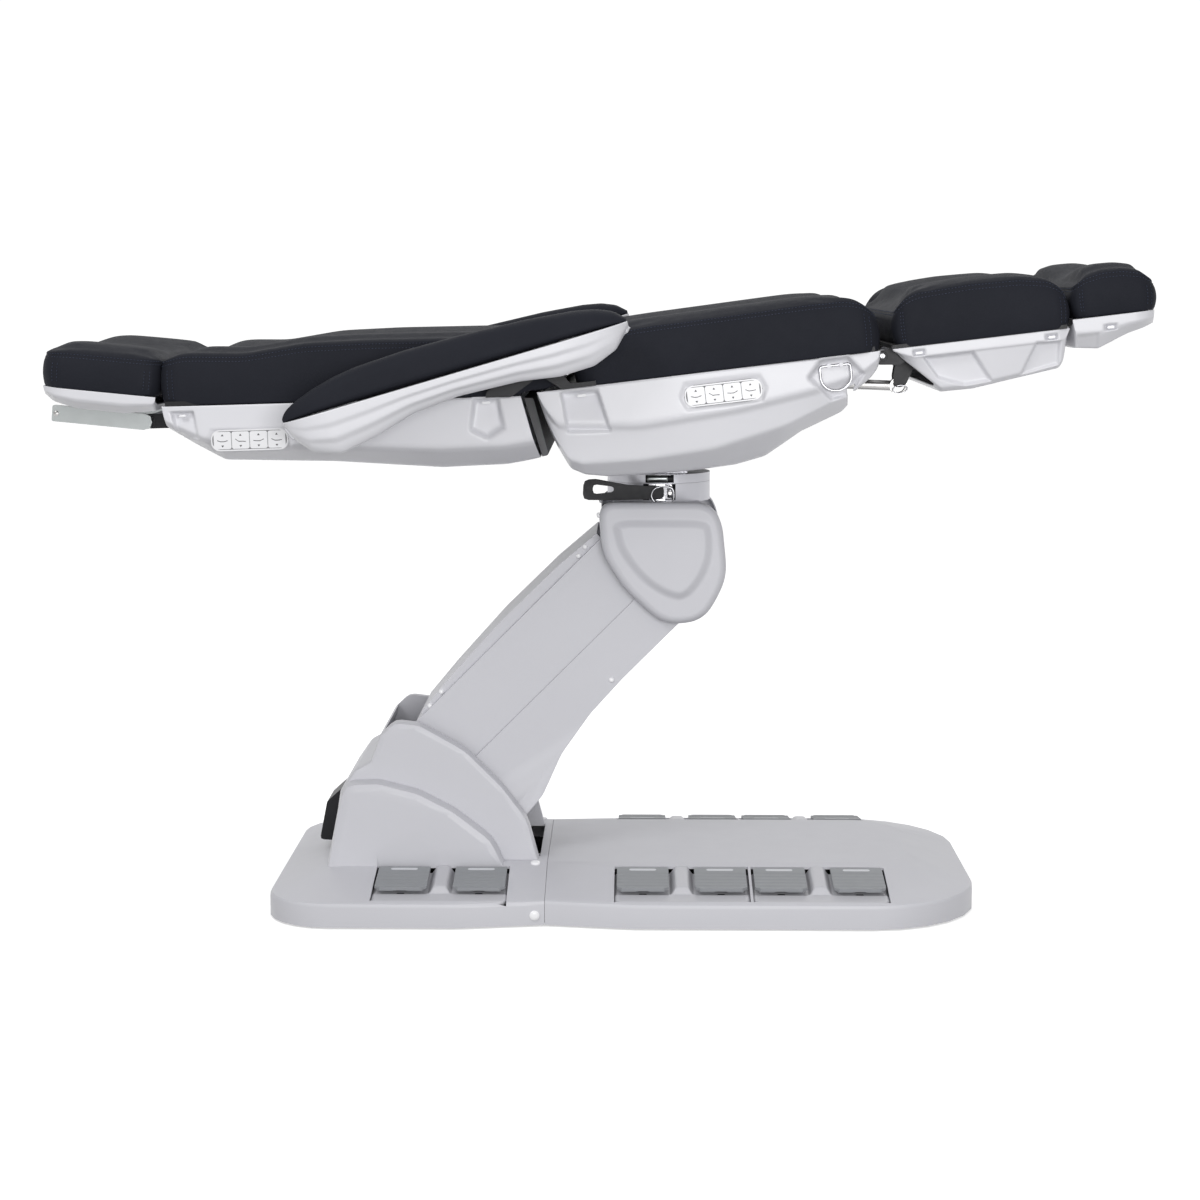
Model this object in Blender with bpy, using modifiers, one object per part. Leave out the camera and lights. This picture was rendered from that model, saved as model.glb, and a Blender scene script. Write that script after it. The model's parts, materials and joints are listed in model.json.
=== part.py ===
"""Electric spa treatment table: base with pedals, lift arm, swivel head, seat, back, arms, headrest, legs.

Metres, +Z up, +X towards the foot end, the near side is -Y. The origin is on the floor under the
middle of the table. The pose is the raised, slightly tilted one, which is rest for every joint.
"""
import math

import bmesh
import bpy
from mathutils import Matrix, Vector

# Fits shared by every piece
CLEAR = 0.0003          # gap between faces that touch on the real product
RUN = 0.0015            # side play beside a turning link
OVER = 0.02             # overrun of a cutter past the face it cuts
SINK = 0.001            # depth by which joined shapes of one piece enter each other
SKIN = 0.004            # wall of the large mouldings

# Base
SEAM_X = -0.090         # joint between the two base covers
HEAD_ROOM = 0.090       # base beyond the tower's rear slope
FOOT_ROOM = 0.1595      # base beyond the last pedal tray
TRAY_MARGIN = 0.0125    # base beside the trays
WAIST_IN = 0.024        # how much narrower the base is on each side at that joint
WAIST_RUN = 0.150       # length over which the waist widens to the full half width
HEAD_CORNER = 0.110     # plan radius of the base corners at the head end
FOOT_CORNER = 0.190     # plan radius of the base corners at the foot end
COVER_FOOT_Z = 0.0035   # lower edge of the covers
RIM_Z = 0.045           # crease between the side wall and the slope
RIM_ROUND = 0.008       # height of the rounded rim
PLATEAU_Z = 0.078       # flat top of the base
SIDE_SLOPE = 0.165      # width of the slope on each side
END_SLOPE = 0.105       # length of the slope at each end
PLATE_Z = 0.006         # underside of the steel floor plate
PLATE_T = 0.006         # thickness of the floor plate
FOOT_R = 0.028          # radius of the levelling feet
FOOT_INSET_X = 0.120    # feet, in from each end
FOOT_INSET_Y = 0.095    # feet, in from each side
CORNER_STEPS = 6        # segments of a plan corner

# Tower and lift arm
PIVOT_X = -0.240        # lower pivot of the arm in the tower
PIVOT_Z = 0.170
ARM_LENGTH = 0.537      # pivot to pivot
ARM_ANGLE = 45.0        # degrees above level at rest
LINK_GAP = 0.105        # between the pivots of the two links
LINK_LEAN = 27.0        # degrees by which the upper pivots lie behind the lower ones
LINK_HALF = 0.118       # half width of the lower link
LINK_WALL = 0.004       # wall of the links
PIN_R = 0.012           # link pins
HUB_R = 0.022           # hub tubes round the pins
UPRIGHT_T = 0.005       # steel side plates of the tower and of the head
CHEEK_T = 0.027         # thickness of a tower cheek
CHEEK_SKIN = 0.0035     # wall of the tower moulding
BULGE_OUT = 0.033       # how far the lower tower stands out past the cheeks
TOWER_REACH = 0.232     # foot of the tower behind the lower pivot
TOWER_CROWN = 0.045     # crown of the tower above the level of both pivots
TOWER_EDGE = 0.012      # rounding of the tower's side faces
SLOT_END = 0.014        # end of the arm's slot before the joint between the covers
INLET_REACH = 0.034     # how far the mains inlet stands out
INLET_HALF = 0.045
LINK_DEPTH = 0.083      # depth of the lower link
LINK_FLARE = 0.053      # extra depth of the lower link near the tower
LINK_LAP = 0.015        # how far the upper link reaches into the lower one
UPPER_RISE = 0.057      # top of the upper link above its pivots
CAP_SHORT = 0.071       # end of the cap strip before the head
CAP_RISE = 0.018        # height of the cap strip over the upper link
CAP_INSET = 0.010       # how much narrower the cap strip is
LEVER_R = 0.130         # lever that the lift actuator pulls
LEVER_T = 0.012         # half thickness of that lever
LIFT_TRAVEL = 35.0      # degrees of lowering

# Lift actuator
ROD_R = 0.009
BODY_R = 0.023
BODY_START = -0.050     # front end of the actuator body, in X
BODY_LENGTH = 0.300
FORK_R = 0.022
FORK_T = 0.005

# Head of the arm
HEAD_TOP = 0.148        # top of the head covers above the arm pivot
HEAD_COVER_T = 0.030    # depth of a head cover
HEAD_SKIN = 0.0035
HEAD_PLATE_T = 0.010    # top plate of the carrier
SWIVEL_BACK = 0.038     # swivel axis behind the arm pivot
RING_R = 0.090          # swivel rings
RING_LOW = 0.028        # height of the fixed ring above the head covers
RING_HIGH = 0.0155      # height of the turning ring
SPIGOT_R = 0.030
BORE_RUN = 0.0004
LEVER_LENGTH = 0.120    # brake lever
LEVER_HEIGHT = 0.036
LEVER_NECK = 0.020
LEVER_THICK = 0.010
CLAMP_WIDTH = 0.040
CLAMP_REACH = 0.026     # how far the clamp stands out from the ring
CLAMP_FACE = 0.006      # front of the clamp's block before the ring
CLAMP_EAR = 0.008       # half width of the clamp's ears
CLAMP_EAR_T = 0.003
LEVER_PIN_R = 0.003
LEVER_HEEL = 0.006      # heel of the lever past its pin

# Seat
SEAT_ANGLE = 6.8        # tilt of the seat at rest
TILT_PIVOT_RISE = 0.0455  # tilt pin above the turning ring
SEAT_PIVOT_S = 0.188    # tilt pin along the seat shell
SEAT_PIVOT_H = 0.129    # tilt pin below the rim
SEAT_LENGTH = 0.564
SEAT_DEPTH = 0.163      # depth of the seat shell
SEAT_HALF = 0.305
SEAT_PAD = 0.086        # height of the seat cushion above its board
BOARD_T = 0.008         # boards under the cushions
PAD_OVER = 0.003        # how far the cushions stand out past the shells
PAD_ROUND = 0.020       # how much a cushion's side turns in towards its ends
PAD_VALLEY = 0.020      # hollow of a cushion between its raised sides
PAD_DRAWN = 0.010       # how far the stitched sides are drawn in
SEAT_BOARD_S = 0.042    # head end of the seat board
SEAT_PAD_S = 0.064      # head end of the seat cushion
TILT_LUG_Y = 0.052
TILT_LUG_T = 0.008
TILT_LUG_R = 0.018
TILT_PIN_R = 0.008
WINDOW_PLAY = 0.026     # room round the turning ring and the brake lever in the floor of the seat shell
WINDOW_HEAD = 0.024     # extra length of that window towards the head end

# Back
BACK_ANGLE = 1.8        # angle of the back at rest
BACK_HINGE_S = 0.011    # hinge pin along the seat
BACK_HINGE_H = 0.051    # hinge pin above the seat rim
BACK_PIN_S = 0.0328     # hinge pin beyond the foot end of the back rim
BACK_PIN_H = 0.057      # hinge pin above the back rim
BACK_LENGTH = 0.590
BACK_DEPTH = 0.118
BACK_HALF = SEAT_HALF
BACK_PAD = 0.100
END_ROUND = 0.048       # round end of the back cushion, about the hinge pin
EAR_ROOM = 0.0055       # between the cushions and the seat's hinge ears
EAR_Y = SEAT_HALF + PAD_OVER + EAR_ROOM
EAR_T = 0.005
EAR_R = 0.014
HINGE_PIN_R = 0.006

# Arms
ARMREST_ANGLE = 16.4
ARMREST_LENGTH = 0.580
ARM_PIVOT_S = 0.0714    # arm pivot from the rear tip of the arm
ARM_PIVOT_H = 0.0335    # arm pivot below the pad line
ARM_PIVOT_BACK = 0.3333  # arm pivot from the back hinge, along the back
ARM_PIVOT_DROP = 0.0996  # arm pivot below the back hinge
ARM_ROOM = 0.019        # between the hinge ears and an arm
ARM_INNER = EAR_Y + EAR_T * 2 + RUN + ARM_ROOM
ARM_WIDTH = 0.074
ARM_PAD = 0.054
ARM_SHELL = 0.073
ARM_SHAFT_R = 0.009
ARM_EDGE = 0.010        # rounding of the arm's side faces

# Headrest
HEAD_ANGLE = -5.5
HEAD_PIVOT_OUT = 0.0603   # headrest hinge beyond the head end of the back
HEAD_PIVOT_BACK = BACK_PIN_S + BACK_LENGTH + HEAD_PIVOT_OUT
HEAD_PIVOT_DROP = 0.0886  # headrest hinge below the back hinge
HEAD_LENGTH = 0.190
HEAD_IN = 0.020         # how much narrower the headrest is on each side
HEAD_HALF = BACK_HALF - HEAD_IN
HEAD_BULGE = 0.030      # outward curve of the head end
HEAD_PAD = 0.074
HEAD_SHELL = 0.034
HEAD_PIN_S = 0.0472     # headrest hinge in from the foot end of the head shell
HEAD_PIN_H = 0.0528     # headrest hinge below the rim
RAIL_Y = 0.130
RAIL_W = 0.012
RAIL_H = 0.028
RAIL_LENGTH = 0.157
BRACKET_T = 0.006
HEAD_PIN_R = 0.006

# Legs
LEG_HINGE_OUT = 0.005   # leg hinge beyond the leg end of the seat
LEG_HINGE_S = SEAT_LENGTH + LEG_HINGE_OUT
LEG_HINGE_H = 0.010     # leg hinge below the seat rim
LEG_IN = 0.030          # how much narrower the legs' sections are on each side
LEG_HALF = SEAT_HALF - LEG_IN
LEG_RIM_H = 0.010       # rim of the leg shell above the hinge
LEG_START = 0.016       # start of the leg shell from the hinge
LEG_LENGTH = 0.290
LEG_LIP = 0.010         # rounded lip of the leg shell
LEG_DEPTH = 0.081
LEG_PAD = 0.084
FOOT_GAP = 0.0045       # between the leg shell and the foot shell
FOOT_START = LEG_START + LEG_LENGTH + FOOT_GAP
FOOT_LENGTH = 0.144
FOOT_RIM_H = 0.023      # rim of the foot shell above the hinge
FOOT_DEPTH = 0.054
FOOT_PAD = 0.068
FOOT_BULGE = 0.014
RUNNER_R = 0.009        # foot runners, round tubes
RUNNER_Y = 0.110
RUNNER_H = 0.020        # runners below the leg hinge
RUNNER_LENGTH = 0.215
GUIDE_HALF = 0.020      # half length of a runner guide
LEG_EAR_IN = 0.037      # hinge ears, in from the sides of the legs' sections
LEG_EAR_Y = LEG_HALF - LEG_EAR_IN
LEG_EAR_T = 0.006
LEG_BOLT_R = 0.008

# Leg actuator
PUSH_ROOM = 0.033       # between the push rod and the near ear
PUSH_Y = PUSH_ROOM - LEG_EAR_Y
PUSH_R = 0.0085
PUSH_EYE_R = 0.015
PUSH_EYE_HOLE = 0.0108
PUSH_BODY_R = 0.016
PUSH_BODY_LENGTH = 0.145
PUSH_SLOPE = -9.0       # degrees from the line of the seat, down towards the legs
PUSH_PIN_S = 0.0264     # pin of the push rod from the leg hinge
PUSH_PIN_H = 0.0485     # and below it
PUSH_PIN_R = 0.004
PUSH_OFFSET = 0.0057    # the rod runs this far below its pin's chord
PUSH_STROKE = 0.0672

# Pedals
PEDAL_PITCH = 0.132
PEDAL_W = 0.088
PEDAL_L = 0.092
PEDAL_T = 0.0055
PEDAL_TILT = 8.4        # slope of a pedal, down and outward
PEDAL_ROOM = 0.006      # between the tower and the hinge edge of a pedal
PEDAL_TOP = 0.0035      # hinge edge of a pedal below the flat top of the base
RIB_COUNT = 5
RIB_H = 0.0008
TRAY_W = 0.226
TRAY_L = 0.134
TRAY_RIM = 0.003        # tray rim below the pedal faces
TRAY_FLOOR = 0.017      # well floor below the pedal faces
TRAY_SKIN = 0.003
TRAY_PLAY = 0.0012      # gap round a tray in its cover
WELL_PLAY = 0.0035      # gap round a pedal in its well
TRAY_ROUND = 0.018      # plan radius of a tray's outer corners
TRAY_BACK = 0.028       # middle of the head tray behind the lower pivot
TRAY_AHEAD = 0.2305     # middle of the first foot tray beyond the joint between the covers
TRAY_STEP = 0.233       # to the next tray

# Small sub-parts of the mouldings
KEYPAD_W = 0.128
KEYPAD_H = 0.036
KEYPAD_T = 0.004
KEYPAD_SINK = 0.0025    # depth of the keypads' recesses
D_RING_W = 0.052
D_RING_H = 0.042
D_WIRE_R = 0.0022
D_RING_DROP = 0.014     # top of a D-ring below the seat rim
POCKET_DEPTH = 0.013
HOOK_POCKET = 0.034     # half length of the seat's hook pocket
BACK_POCKET = 0.020     # half length of the back's pockets
GAP_TOP = 0.006         # top of the gap cover below the back rim
GAP_T = 0.016           # thickness of the gap cover

QUARTER_TURN = 90.0
FLAT = 0.2              # degrees below which two faces count as one
SHARP = 32.0            # degrees from which an edge is shaded sharp
SIDES = ((-1.0, "near"), (1.0, "far"))


def clear_scene():
    for item in list(bpy.data.objects):
        bpy.data.objects.remove(item)


def new_collection(name):
    group = bpy.data.collections.new(name)
    bpy.context.scene.collection.children.link(group)
    return group


clear_scene()
TABLE = new_collection("spa_treatment_table")
CURVED = []             # names of pieces whose faces are only merged once they are complete
MATERIALS = {}


def material(name, colour, roughness, metallic=0.0):
    """A Principled material, made once for each name."""
    if name not in MATERIALS:
        made = bpy.data.materials.new(name)
        made.use_nodes = True
        shader = made.node_tree.nodes["Principled BSDF"]
        shader.inputs["Base Color"].default_value = (*colour, 1.0)
        shader.inputs["Roughness"].default_value = roughness
        shader.inputs["Metallic"].default_value = metallic
        MATERIALS[name] = made
    return MATERIALS[name]


WHITE = material("white_moulding", (0.76, 0.76, 0.79), 0.35)
GREY = material("grey_moulding", (0.62, 0.62, 0.65), 0.4)
PEDAL_GREY = material("pedal_plastic", (0.30, 0.31, 0.33), 0.45)
HIDE = material("black_upholstery", (0.022, 0.023, 0.027), 0.5)
BLACK = material("black_steel", (0.02, 0.02, 0.022), 0.45, 0.3)
DARK = material("dark_grey_plastic", (0.11, 0.11, 0.115), 0.5)
ZINC = material("zinc_steel", (0.55, 0.55, 0.56), 0.35, 1.0)
CHROME = material("chrome", (0.75, 0.75, 0.77), 0.12, 1.0)
SILVER = material("silver_paint", (0.52, 0.53, 0.56), 0.35, 0.6)


def section_frame(x, z, degrees):
    """A frame whose +X runs along a section tilted up by degrees, and whose +Z stands square to it."""
    return Matrix.Translation((x, 0.0, z)) @ Matrix.Rotation(-math.radians(degrees), 4, "Y")


def turned_vector(x, z, degrees):
    """The X and Z parts of a vector turned up by degrees in the side view."""
    c = math.cos(math.radians(degrees))
    s = math.sin(math.radians(degrees))
    return x * c - z * s, x * s + z * c


def add_object(name, mesh, finish, matrix=None):
    thing = bpy.data.objects.new(name, mesh)
    TABLE.objects.link(thing)
    mesh.materials.clear()
    mesh.materials.append(finish)
    if matrix is not None:
        thing.matrix_world = matrix
    return thing


def from_bmesh(name, bm, finish, matrix=None):
    bmesh.ops.recalc_face_normals(bm, faces=bm.faces)
    mesh = bpy.data.meshes.new(name)
    bm.to_mesh(mesh)
    bm.free()
    return add_object(name, mesh, finish, matrix)


def baked(thing):
    """Replaces an object's mesh by what its modifiers or its curve give."""
    graph = bpy.context.evaluated_depsgraph_get()
    mesh = bpy.data.meshes.new_from_object(thing.evaluated_get(graph))
    return mesh


def loft(name, rings, finish, matrix=None, caps=True):
    """A skin through rings of equal point counts, closed by a flat face at each end where caps is set."""
    bm = bmesh.new()
    rows = [[bm.verts.new(point) for point in ring] for ring in rings]
    count = len(rows[0])
    for low, high in zip(rows, rows[1:]):
        for i in range(count):
            j = (i + 1) % count
            bm.faces.new((low[i], low[j], high[j], high[i]))
    if caps:
        bm.faces.new(list(reversed(rows[0])))
        bm.faces.new(rows[-1])
    return from_bmesh(name, bm, finish, matrix)


def sheet_shell(name, rows, thickness, finish, matrix=None):
    """An open sheet through rows of points, thickened inward."""
    CURVED.append(name)
    bm = bmesh.new()
    grid = [[bm.verts.new(point) for point in row] for row in rows]
    for low, high in zip(grid, grid[1:]):
        for i in range(len(low) - 1):
            bm.faces.new((low[i], low[i + 1], high[i + 1], high[i]))
    thing = from_bmesh(name, bm, finish, matrix)
    centre = sum((v.co for v in thing.data.vertices), Vector()) / len(thing.data.vertices)
    inward = sum(face.normal.dot(centre - face.center) * face.area for face in thing.data.polygons)
    solid = thing.modifiers.new("wall", "SOLIDIFY")
    solid.thickness = thickness
    solid.offset = 1.0 if inward > 0 else -1.0
    solid.use_even_offset = True
    return replace_mesh(thing)


def replace_mesh(thing):
    mesh = baked(thing)
    finish = thing.data.materials[0]
    thing.modifiers.clear()
    thing.data = mesh
    mesh.materials.clear()
    mesh.materials.append(finish)
    return thing


def tidy(thing):
    """Merges the flat faces that a cut or a union leaves in pieces."""
    bm = bmesh.new()
    bm.from_mesh(thing.data)
    bmesh.ops.dissolve_limit(bm, angle_limit=math.radians(FLAT), verts=bm.verts, edges=bm.edges)
    bm.to_mesh(thing.data)
    bm.free()
    return thing


def boolean(target, tool, operation):
    """Joins or cuts target by tool with the exact solver, and removes the tool."""
    step = target.modifiers.new(operation.lower(), "BOOLEAN")
    step.operation = operation
    step.solver = "EXACT"
    step.object = tool
    replace_mesh(target)
    if target.name not in CURVED:
        tidy(target)
    bpy.data.objects.remove(tool)
    return target


def join(target, *tools):
    for tool in tools:
        boolean(target, tool, "UNION")
    return target


def cut(target, *tools):
    for tool in tools:
        boolean(target, tool, "DIFFERENCE")
    return target


def rounded(corners, steps=2):
    """Points of an outline whose corners, given as (x, z, radius), are rounded by arcs."""
    points = []
    total = len(corners)
    for i, (x, z, radius) in enumerate(corners):
        here = Vector((x, z))
        before = Vector(corners[i - 1][:2]) - here
        after = Vector(corners[(i + 1) % total][:2]) - here
        if radius <= 0.0:
            points.append(here)
            continue
        angle = before.angle(after)
        reach = radius / math.tan(angle / 2)
        reach = min(reach, before.length * 0.49, after.length * 0.49)
        start = here + before.normalized() * reach
        end = here + after.normalized() * reach
        for k in range(steps + 1):
            t = k / steps
            points.append(start.lerp(here, t).lerp(here.lerp(end, t), t))
    return points


def inset(corners, depth):
    """The outline moved inward by depth; a negative depth moves it outward. Corners keep their radii."""
    total = len(corners)
    area = sum(corners[i - 1][0] * corners[i][1] - corners[i][0] * corners[i - 1][1] for i in range(total))
    side = 1.0 if area > 0 else -1.0
    moved = []
    for i, (x, z, radius) in enumerate(corners):
        before = (Vector((x, z)) - Vector(corners[i - 1][:2])).normalized()
        after = (Vector(corners[(i + 1) % total][:2]) - Vector((x, z))).normalized()
        in_before = Vector((-before.y, before.x)) * side
        in_after = Vector((-after.y, after.x)) * side
        push = (in_before + in_after) / (1.0 + in_before.dot(in_after))
        moved.append((x + push.x * depth, z + push.y * depth, radius))
    return moved


def slab(name, outline, y_low, y_high, finish, matrix=None):
    """A side-view outline of (x, z) points made solid between two distances across the table."""
    curve = bpy.data.curves.new(name, "CURVE")
    curve.dimensions = "2D"
    curve.fill_mode = "BOTH"
    curve.extrude = (y_high - y_low) / 2
    spline = curve.splines.new("POLY")
    spline.points.add(len(outline) - 1)
    for point, place in zip(spline.points, outline):
        point.co = (place[0], place[1], 0.0, 1.0)
    spline.use_cyclic_u = True
    flat = bpy.data.objects.new(name + "_outline", curve)
    TABLE.objects.link(flat)
    mesh = baked(flat)
    bpy.data.objects.remove(flat)
    bm = bmesh.new()
    bm.from_mesh(mesh)
    bmesh.ops.remove_doubles(bm, verts=bm.verts, dist=CLEAR / 10)
    upright = Matrix.Translation((0.0, (y_low + y_high) / 2, 0.0)) @ Matrix.Rotation(math.pi / 2, 4, "X")
    bmesh.ops.transform(bm, matrix=upright, verts=bm.verts)
    return from_bmesh(name, bm, finish, matrix)


def block(name, low, high, finish, matrix=None):
    bm = bmesh.new()
    bmesh.ops.create_cube(bm, size=1.0)
    size = [b - a for a, b in zip(low, high)]
    middle = [(a + b) / 2 for a, b in zip(low, high)]
    bmesh.ops.scale(bm, vec=size, verts=bm.verts)
    bmesh.ops.translate(bm, vec=middle, verts=bm.verts)
    return from_bmesh(name, bm, finish, matrix)


def rod(name, radius, start, end, finish, matrix=None, sides=20, end_radius=None):
    """A cylinder or cone between two points."""
    start = Vector(start)
    end = Vector(end)
    bm = bmesh.new()
    bmesh.ops.create_cone(
        bm, cap_ends=True, segments=sides, radius1=radius,
        radius2=radius if end_radius is None else end_radius, depth=(end - start).length)
    aim = (end - start).to_track_quat("Z", "Y").to_matrix().to_4x4()
    aim.translation = (start + end) / 2
    bmesh.ops.transform(bm, matrix=aim, verts=bm.verts)
    return from_bmesh(name, bm, finish, matrix)


def hang(axis_name, location, names, under=None):
    """Puts an empty on a joint's axis and hangs the moving pieces on it."""
    axis = bpy.data.objects.new(axis_name, None)
    TABLE.objects.link(axis)
    axis.location = location
    bpy.context.view_layer.update()
    inverse = axis.matrix_world.inverted()
    if under is not None:
        axis.parent = under
        axis.matrix_parent_inverse = under.matrix_world.inverted()
    for name in names:
        thing = bpy.data.objects[name]
        thing.parent = axis
        thing.matrix_parent_inverse = inverse
    return axis


def shade(thing):
    """Shades the round faces smooth and keeps the corners sharp."""
    thing.data.shade_smooth()
    thing.data.set_sharp_from_angle(angle=math.radians(SHARP))


CHEEK_IN = LINK_HALF + RUN + UPRIGHT_T + RUN
CHEEK_OUT = CHEEK_IN + CHEEK_T
BULGE_HALF = CHEEK_OUT + BULGE_OUT
PEDAL_IN_Y = BULGE_HALF + PEDAL_ROOM
TRAY_START = -(TRAY_L - PEDAL_L) * 0.175
TRAY_XS = (PIVOT_X - TRAY_BACK, SEAM_X + TRAY_AHEAD, SEAM_X + TRAY_AHEAD + TRAY_STEP)
BASE_HEAD_X = PIVOT_X - TOWER_REACH - HEAD_ROOM
BASE_FOOT_X = TRAY_XS[-1] + TRAY_W / 2 + FOOT_ROOM
BASE_HALF = PEDAL_IN_Y + (TRAY_START + TRAY_L) * math.cos(math.radians(PEDAL_TILT)) + TRAY_MARGIN
WAIST_HALF = BASE_HALF - WAIST_IN
PLATEAU_HALF = BASE_HALF - SIDE_SLOPE
FOOT_Y = BASE_HALF - FOOT_INSET_Y


# Base


def cover_plan(direction, end_x, half, waist, corner, seam_x):
    """Plan outline of one base cover, from its joint round its rounded end, as (x, y)."""
    points = [(seam_x, -waist), (seam_x + direction * WAIST_RUN, -half)]
    centre_x = end_x - direction * corner
    centre_y = half - corner
    for k in range(CORNER_STEPS + 1):
        turn = math.radians(QUARTER_TURN * k / CORNER_STEPS)
        points.append((centre_x + direction * corner * math.sin(turn), -centre_y - corner * math.cos(turn)))
    return points + [(x, -y) for x, y in reversed(points)]


def cover_rings(direction, end_x, corner, depth, seam_x, foot_z):
    """Rings of a base cover from its foot to its flat top, drawn in by depth."""
    plateau_corner = max(corner - END_SLOPE, corner / 4)
    levels = (
        (foot_z, 0.0, BASE_HALF, WAIST_HALF, corner),
        (RIM_Z - RIM_ROUND - depth, 0.0, BASE_HALF, WAIST_HALF, corner),
        (RIM_Z - RIM_ROUND / 4 - depth, RIM_ROUND / 3, BASE_HALF - RIM_ROUND / 3, WAIST_HALF - RIM_ROUND / 3,
         corner),
        (RIM_Z + RIM_ROUND / 8 - depth, RIM_ROUND, BASE_HALF - RIM_ROUND, WAIST_HALF - RIM_ROUND, corner),
        (PLATEAU_Z - depth, END_SLOPE, PLATEAU_HALF, PLATEAU_HALF, plateau_corner),
    )
    rings = []
    for z, back, half, waist, radius in levels:
        plan = cover_plan(
            direction, end_x - direction * (back + depth), half - depth, waist - depth,
            max(radius - depth, radius / 2), seam_x)
        rings.append([(x, y, z) for x, y in plan])
    return rings


def base_solid(name, direction, end_x, corner, finish):
    CURVED.append(name)
    seam = SEAM_X + direction * CLEAR
    return loft(name, cover_rings(direction, end_x, corner, 0.0, seam, COVER_FOOT_Z), finish)


def base_hollow(direction, end_x, corner, finish):
    seam = SEAM_X - direction * OVER
    return loft("base_hollow", cover_rings(direction, end_x, corner, SKIN, seam, COVER_FOOT_Z - OVER), finish)


# Corners of the tower in shares of its reach: (along, up, radius), first from the lower pivot
TOWER_REAR_SHARES = ((-0.901, 0.121, 0.065), (-0.793, 0.276, 0.065), (-0.672, 0.345, 0.043))
# and then from the crown, above the same pivot
TOWER_CROWN_SHARES = (
    (-0.603, -0.108, 0.086), (-0.487, 0.0, 0.095), (-0.302, -0.022, 0.172), (0.034, -0.211, 0.517),
    (0.310, -0.487, 0.517), (0.496, -0.733, 0.345),
)
# The wider lower part, from the lower pivot
BULGE_SHARES = (
    (-0.866, 0.207, 0.108), (-0.603, 0.216, 0.172), (-0.310, 0.142, 0.345), (-0.043, 0.004, 0.345),
    (0.241, -0.216, 0.259),
)
BULGE_FOOT_SHARES = (-1.017, 0.388)


def placed(shares, size, x=0.0, z=0.0):
    """Outline corners set out from a point by their shares of a size."""
    return [(x + size * along, z + size * up, size * bend) for along, up, bend in shares]


def tower_outline():
    """Side view of the tower's cheeks and back wall, standing on the flat top."""
    rear = placed(TOWER_REAR_SHARES, TOWER_REACH, PIVOT_X, PIVOT_Z)
    crown = placed(TOWER_CROWN_SHARES, TOWER_REACH, PIVOT_X, PIVOT_Z + LINK_GAP + TOWER_CROWN)
    return [(PIVOT_X - TOWER_REACH, RIM_Z, 0.0)] + rear + crown + [(SEAM_X - CHEEK_SKIN * 2, RIM_Z, 0.0)]


def bulge_outline():
    """Side view of the wider lower part of the tower."""
    rear, front = (PIVOT_X + TOWER_REACH * share for share in BULGE_FOOT_SHARES)
    return [(rear, RIM_Z, 0.0)] + placed(BULGE_SHARES, TOWER_REACH, PIVOT_X, PIVOT_Z) + [(front, RIM_Z, 0.0)]


def soft_slab(name, corners, half, edge, finish, soft=True):
    """A slab across the table whose two side faces are drawn in by edge all round."""
    levels = [(edge * 0.8, 0.0), (edge * 0.22, edge * 0.22), (0.0, edge)]
    if not soft:
        levels = [levels[0], levels[-1]]
    rings = [[(p[0], -half + back, p[1]) for p in rounded(inset(corners, drawn))] for drawn, back in levels]
    rings += [[(p[0], half - back, p[1]) for p in rounded(inset(corners, drawn))]
              for drawn, back in reversed(levels)]
    return loft(name, rings, finish)


def base_cover():
    """Head half of the base with the tower that the arm stands in."""
    cover = base_solid("base_cover", -1.0, BASE_HEAD_X, HEAD_CORNER, GREY)
    tower = tower_outline()
    bulge = bulge_outline()
    edge = TOWER_EDGE
    join(
        cover,
        soft_slab("tower_cheeks", tower, CHEEK_OUT, edge, GREY),
        soft_slab("tower_bulge", bulge, BULGE_HALF, edge * 1.4, GREY))
    cut(cover, base_hollow(-1.0, BASE_HEAD_X, HEAD_CORNER, GREY))
    for side in (-1.0, 1.0):
        for corners, inner, outer in (
                (tower, CHEEK_IN + CHEEK_SKIN, CHEEK_OUT - edge),
                (bulge, CHEEK_IN + CHEEK_SKIN + SINK, BULGE_HALF - edge * 1.4)):
            low, high = sorted((side * inner, side * outer))
            cut(cover, slab("cheek_hollow", rounded(inset(corners, CHEEK_SKIN)), low, high, GREY))
    rear = [(x, z) for x, z, _ in inset(tower, CHEEK_SKIN * 2)[:5]]
    top = PIVOT_Z + LINK_GAP + LINK_DEPTH
    slot = [(rear[0][0], COVER_FOOT_Z - OVER)] + rear + [
        (rear[-1][0] + CHEEK_SKIN * 3, top),
        (SEAM_X + OVER * 2, top),
        (SEAM_X + OVER * 2, PLATEAU_Z + SINK),
        (SEAM_X - SLOT_END, PLATEAU_Z + SINK),
        (SEAM_X - SLOT_END, COVER_FOOT_Z - OVER),
    ]
    cut(cover, slab("arm_slot", slot, -CHEEK_IN, CHEEK_IN, GREY))
    return cover


def platform_cover():
    cover = base_solid("platform_cover", 1.0, BASE_FOOT_X, FOOT_CORNER, GREY)
    return cut(cover, base_hollow(1.0, BASE_FOOT_X, FOOT_CORNER, GREY))


def upright_outline(pivots):
    """Outline of a steel side plate of the tower, from the floor plate round both pivots."""
    (low_x, low_z), (high_x, high_z) = pivots
    foot = PLATE_Z + PLATE_T - SINK
    return [
        (high_x - HUB_R * 1.6, foot, 0.0),
        (high_x - HUB_R * 1.25, high_z + HUB_R * 0.5, HUB_R),
        (high_x + HUB_R * 0.4, high_z + HUB_R * 1.25, HUB_R),
        (low_x + HUB_R * 1.3, low_z + HUB_R * 0.7, HUB_R),
        (low_x + HUB_R * 2.6, foot, 0.0),
    ]


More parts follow.
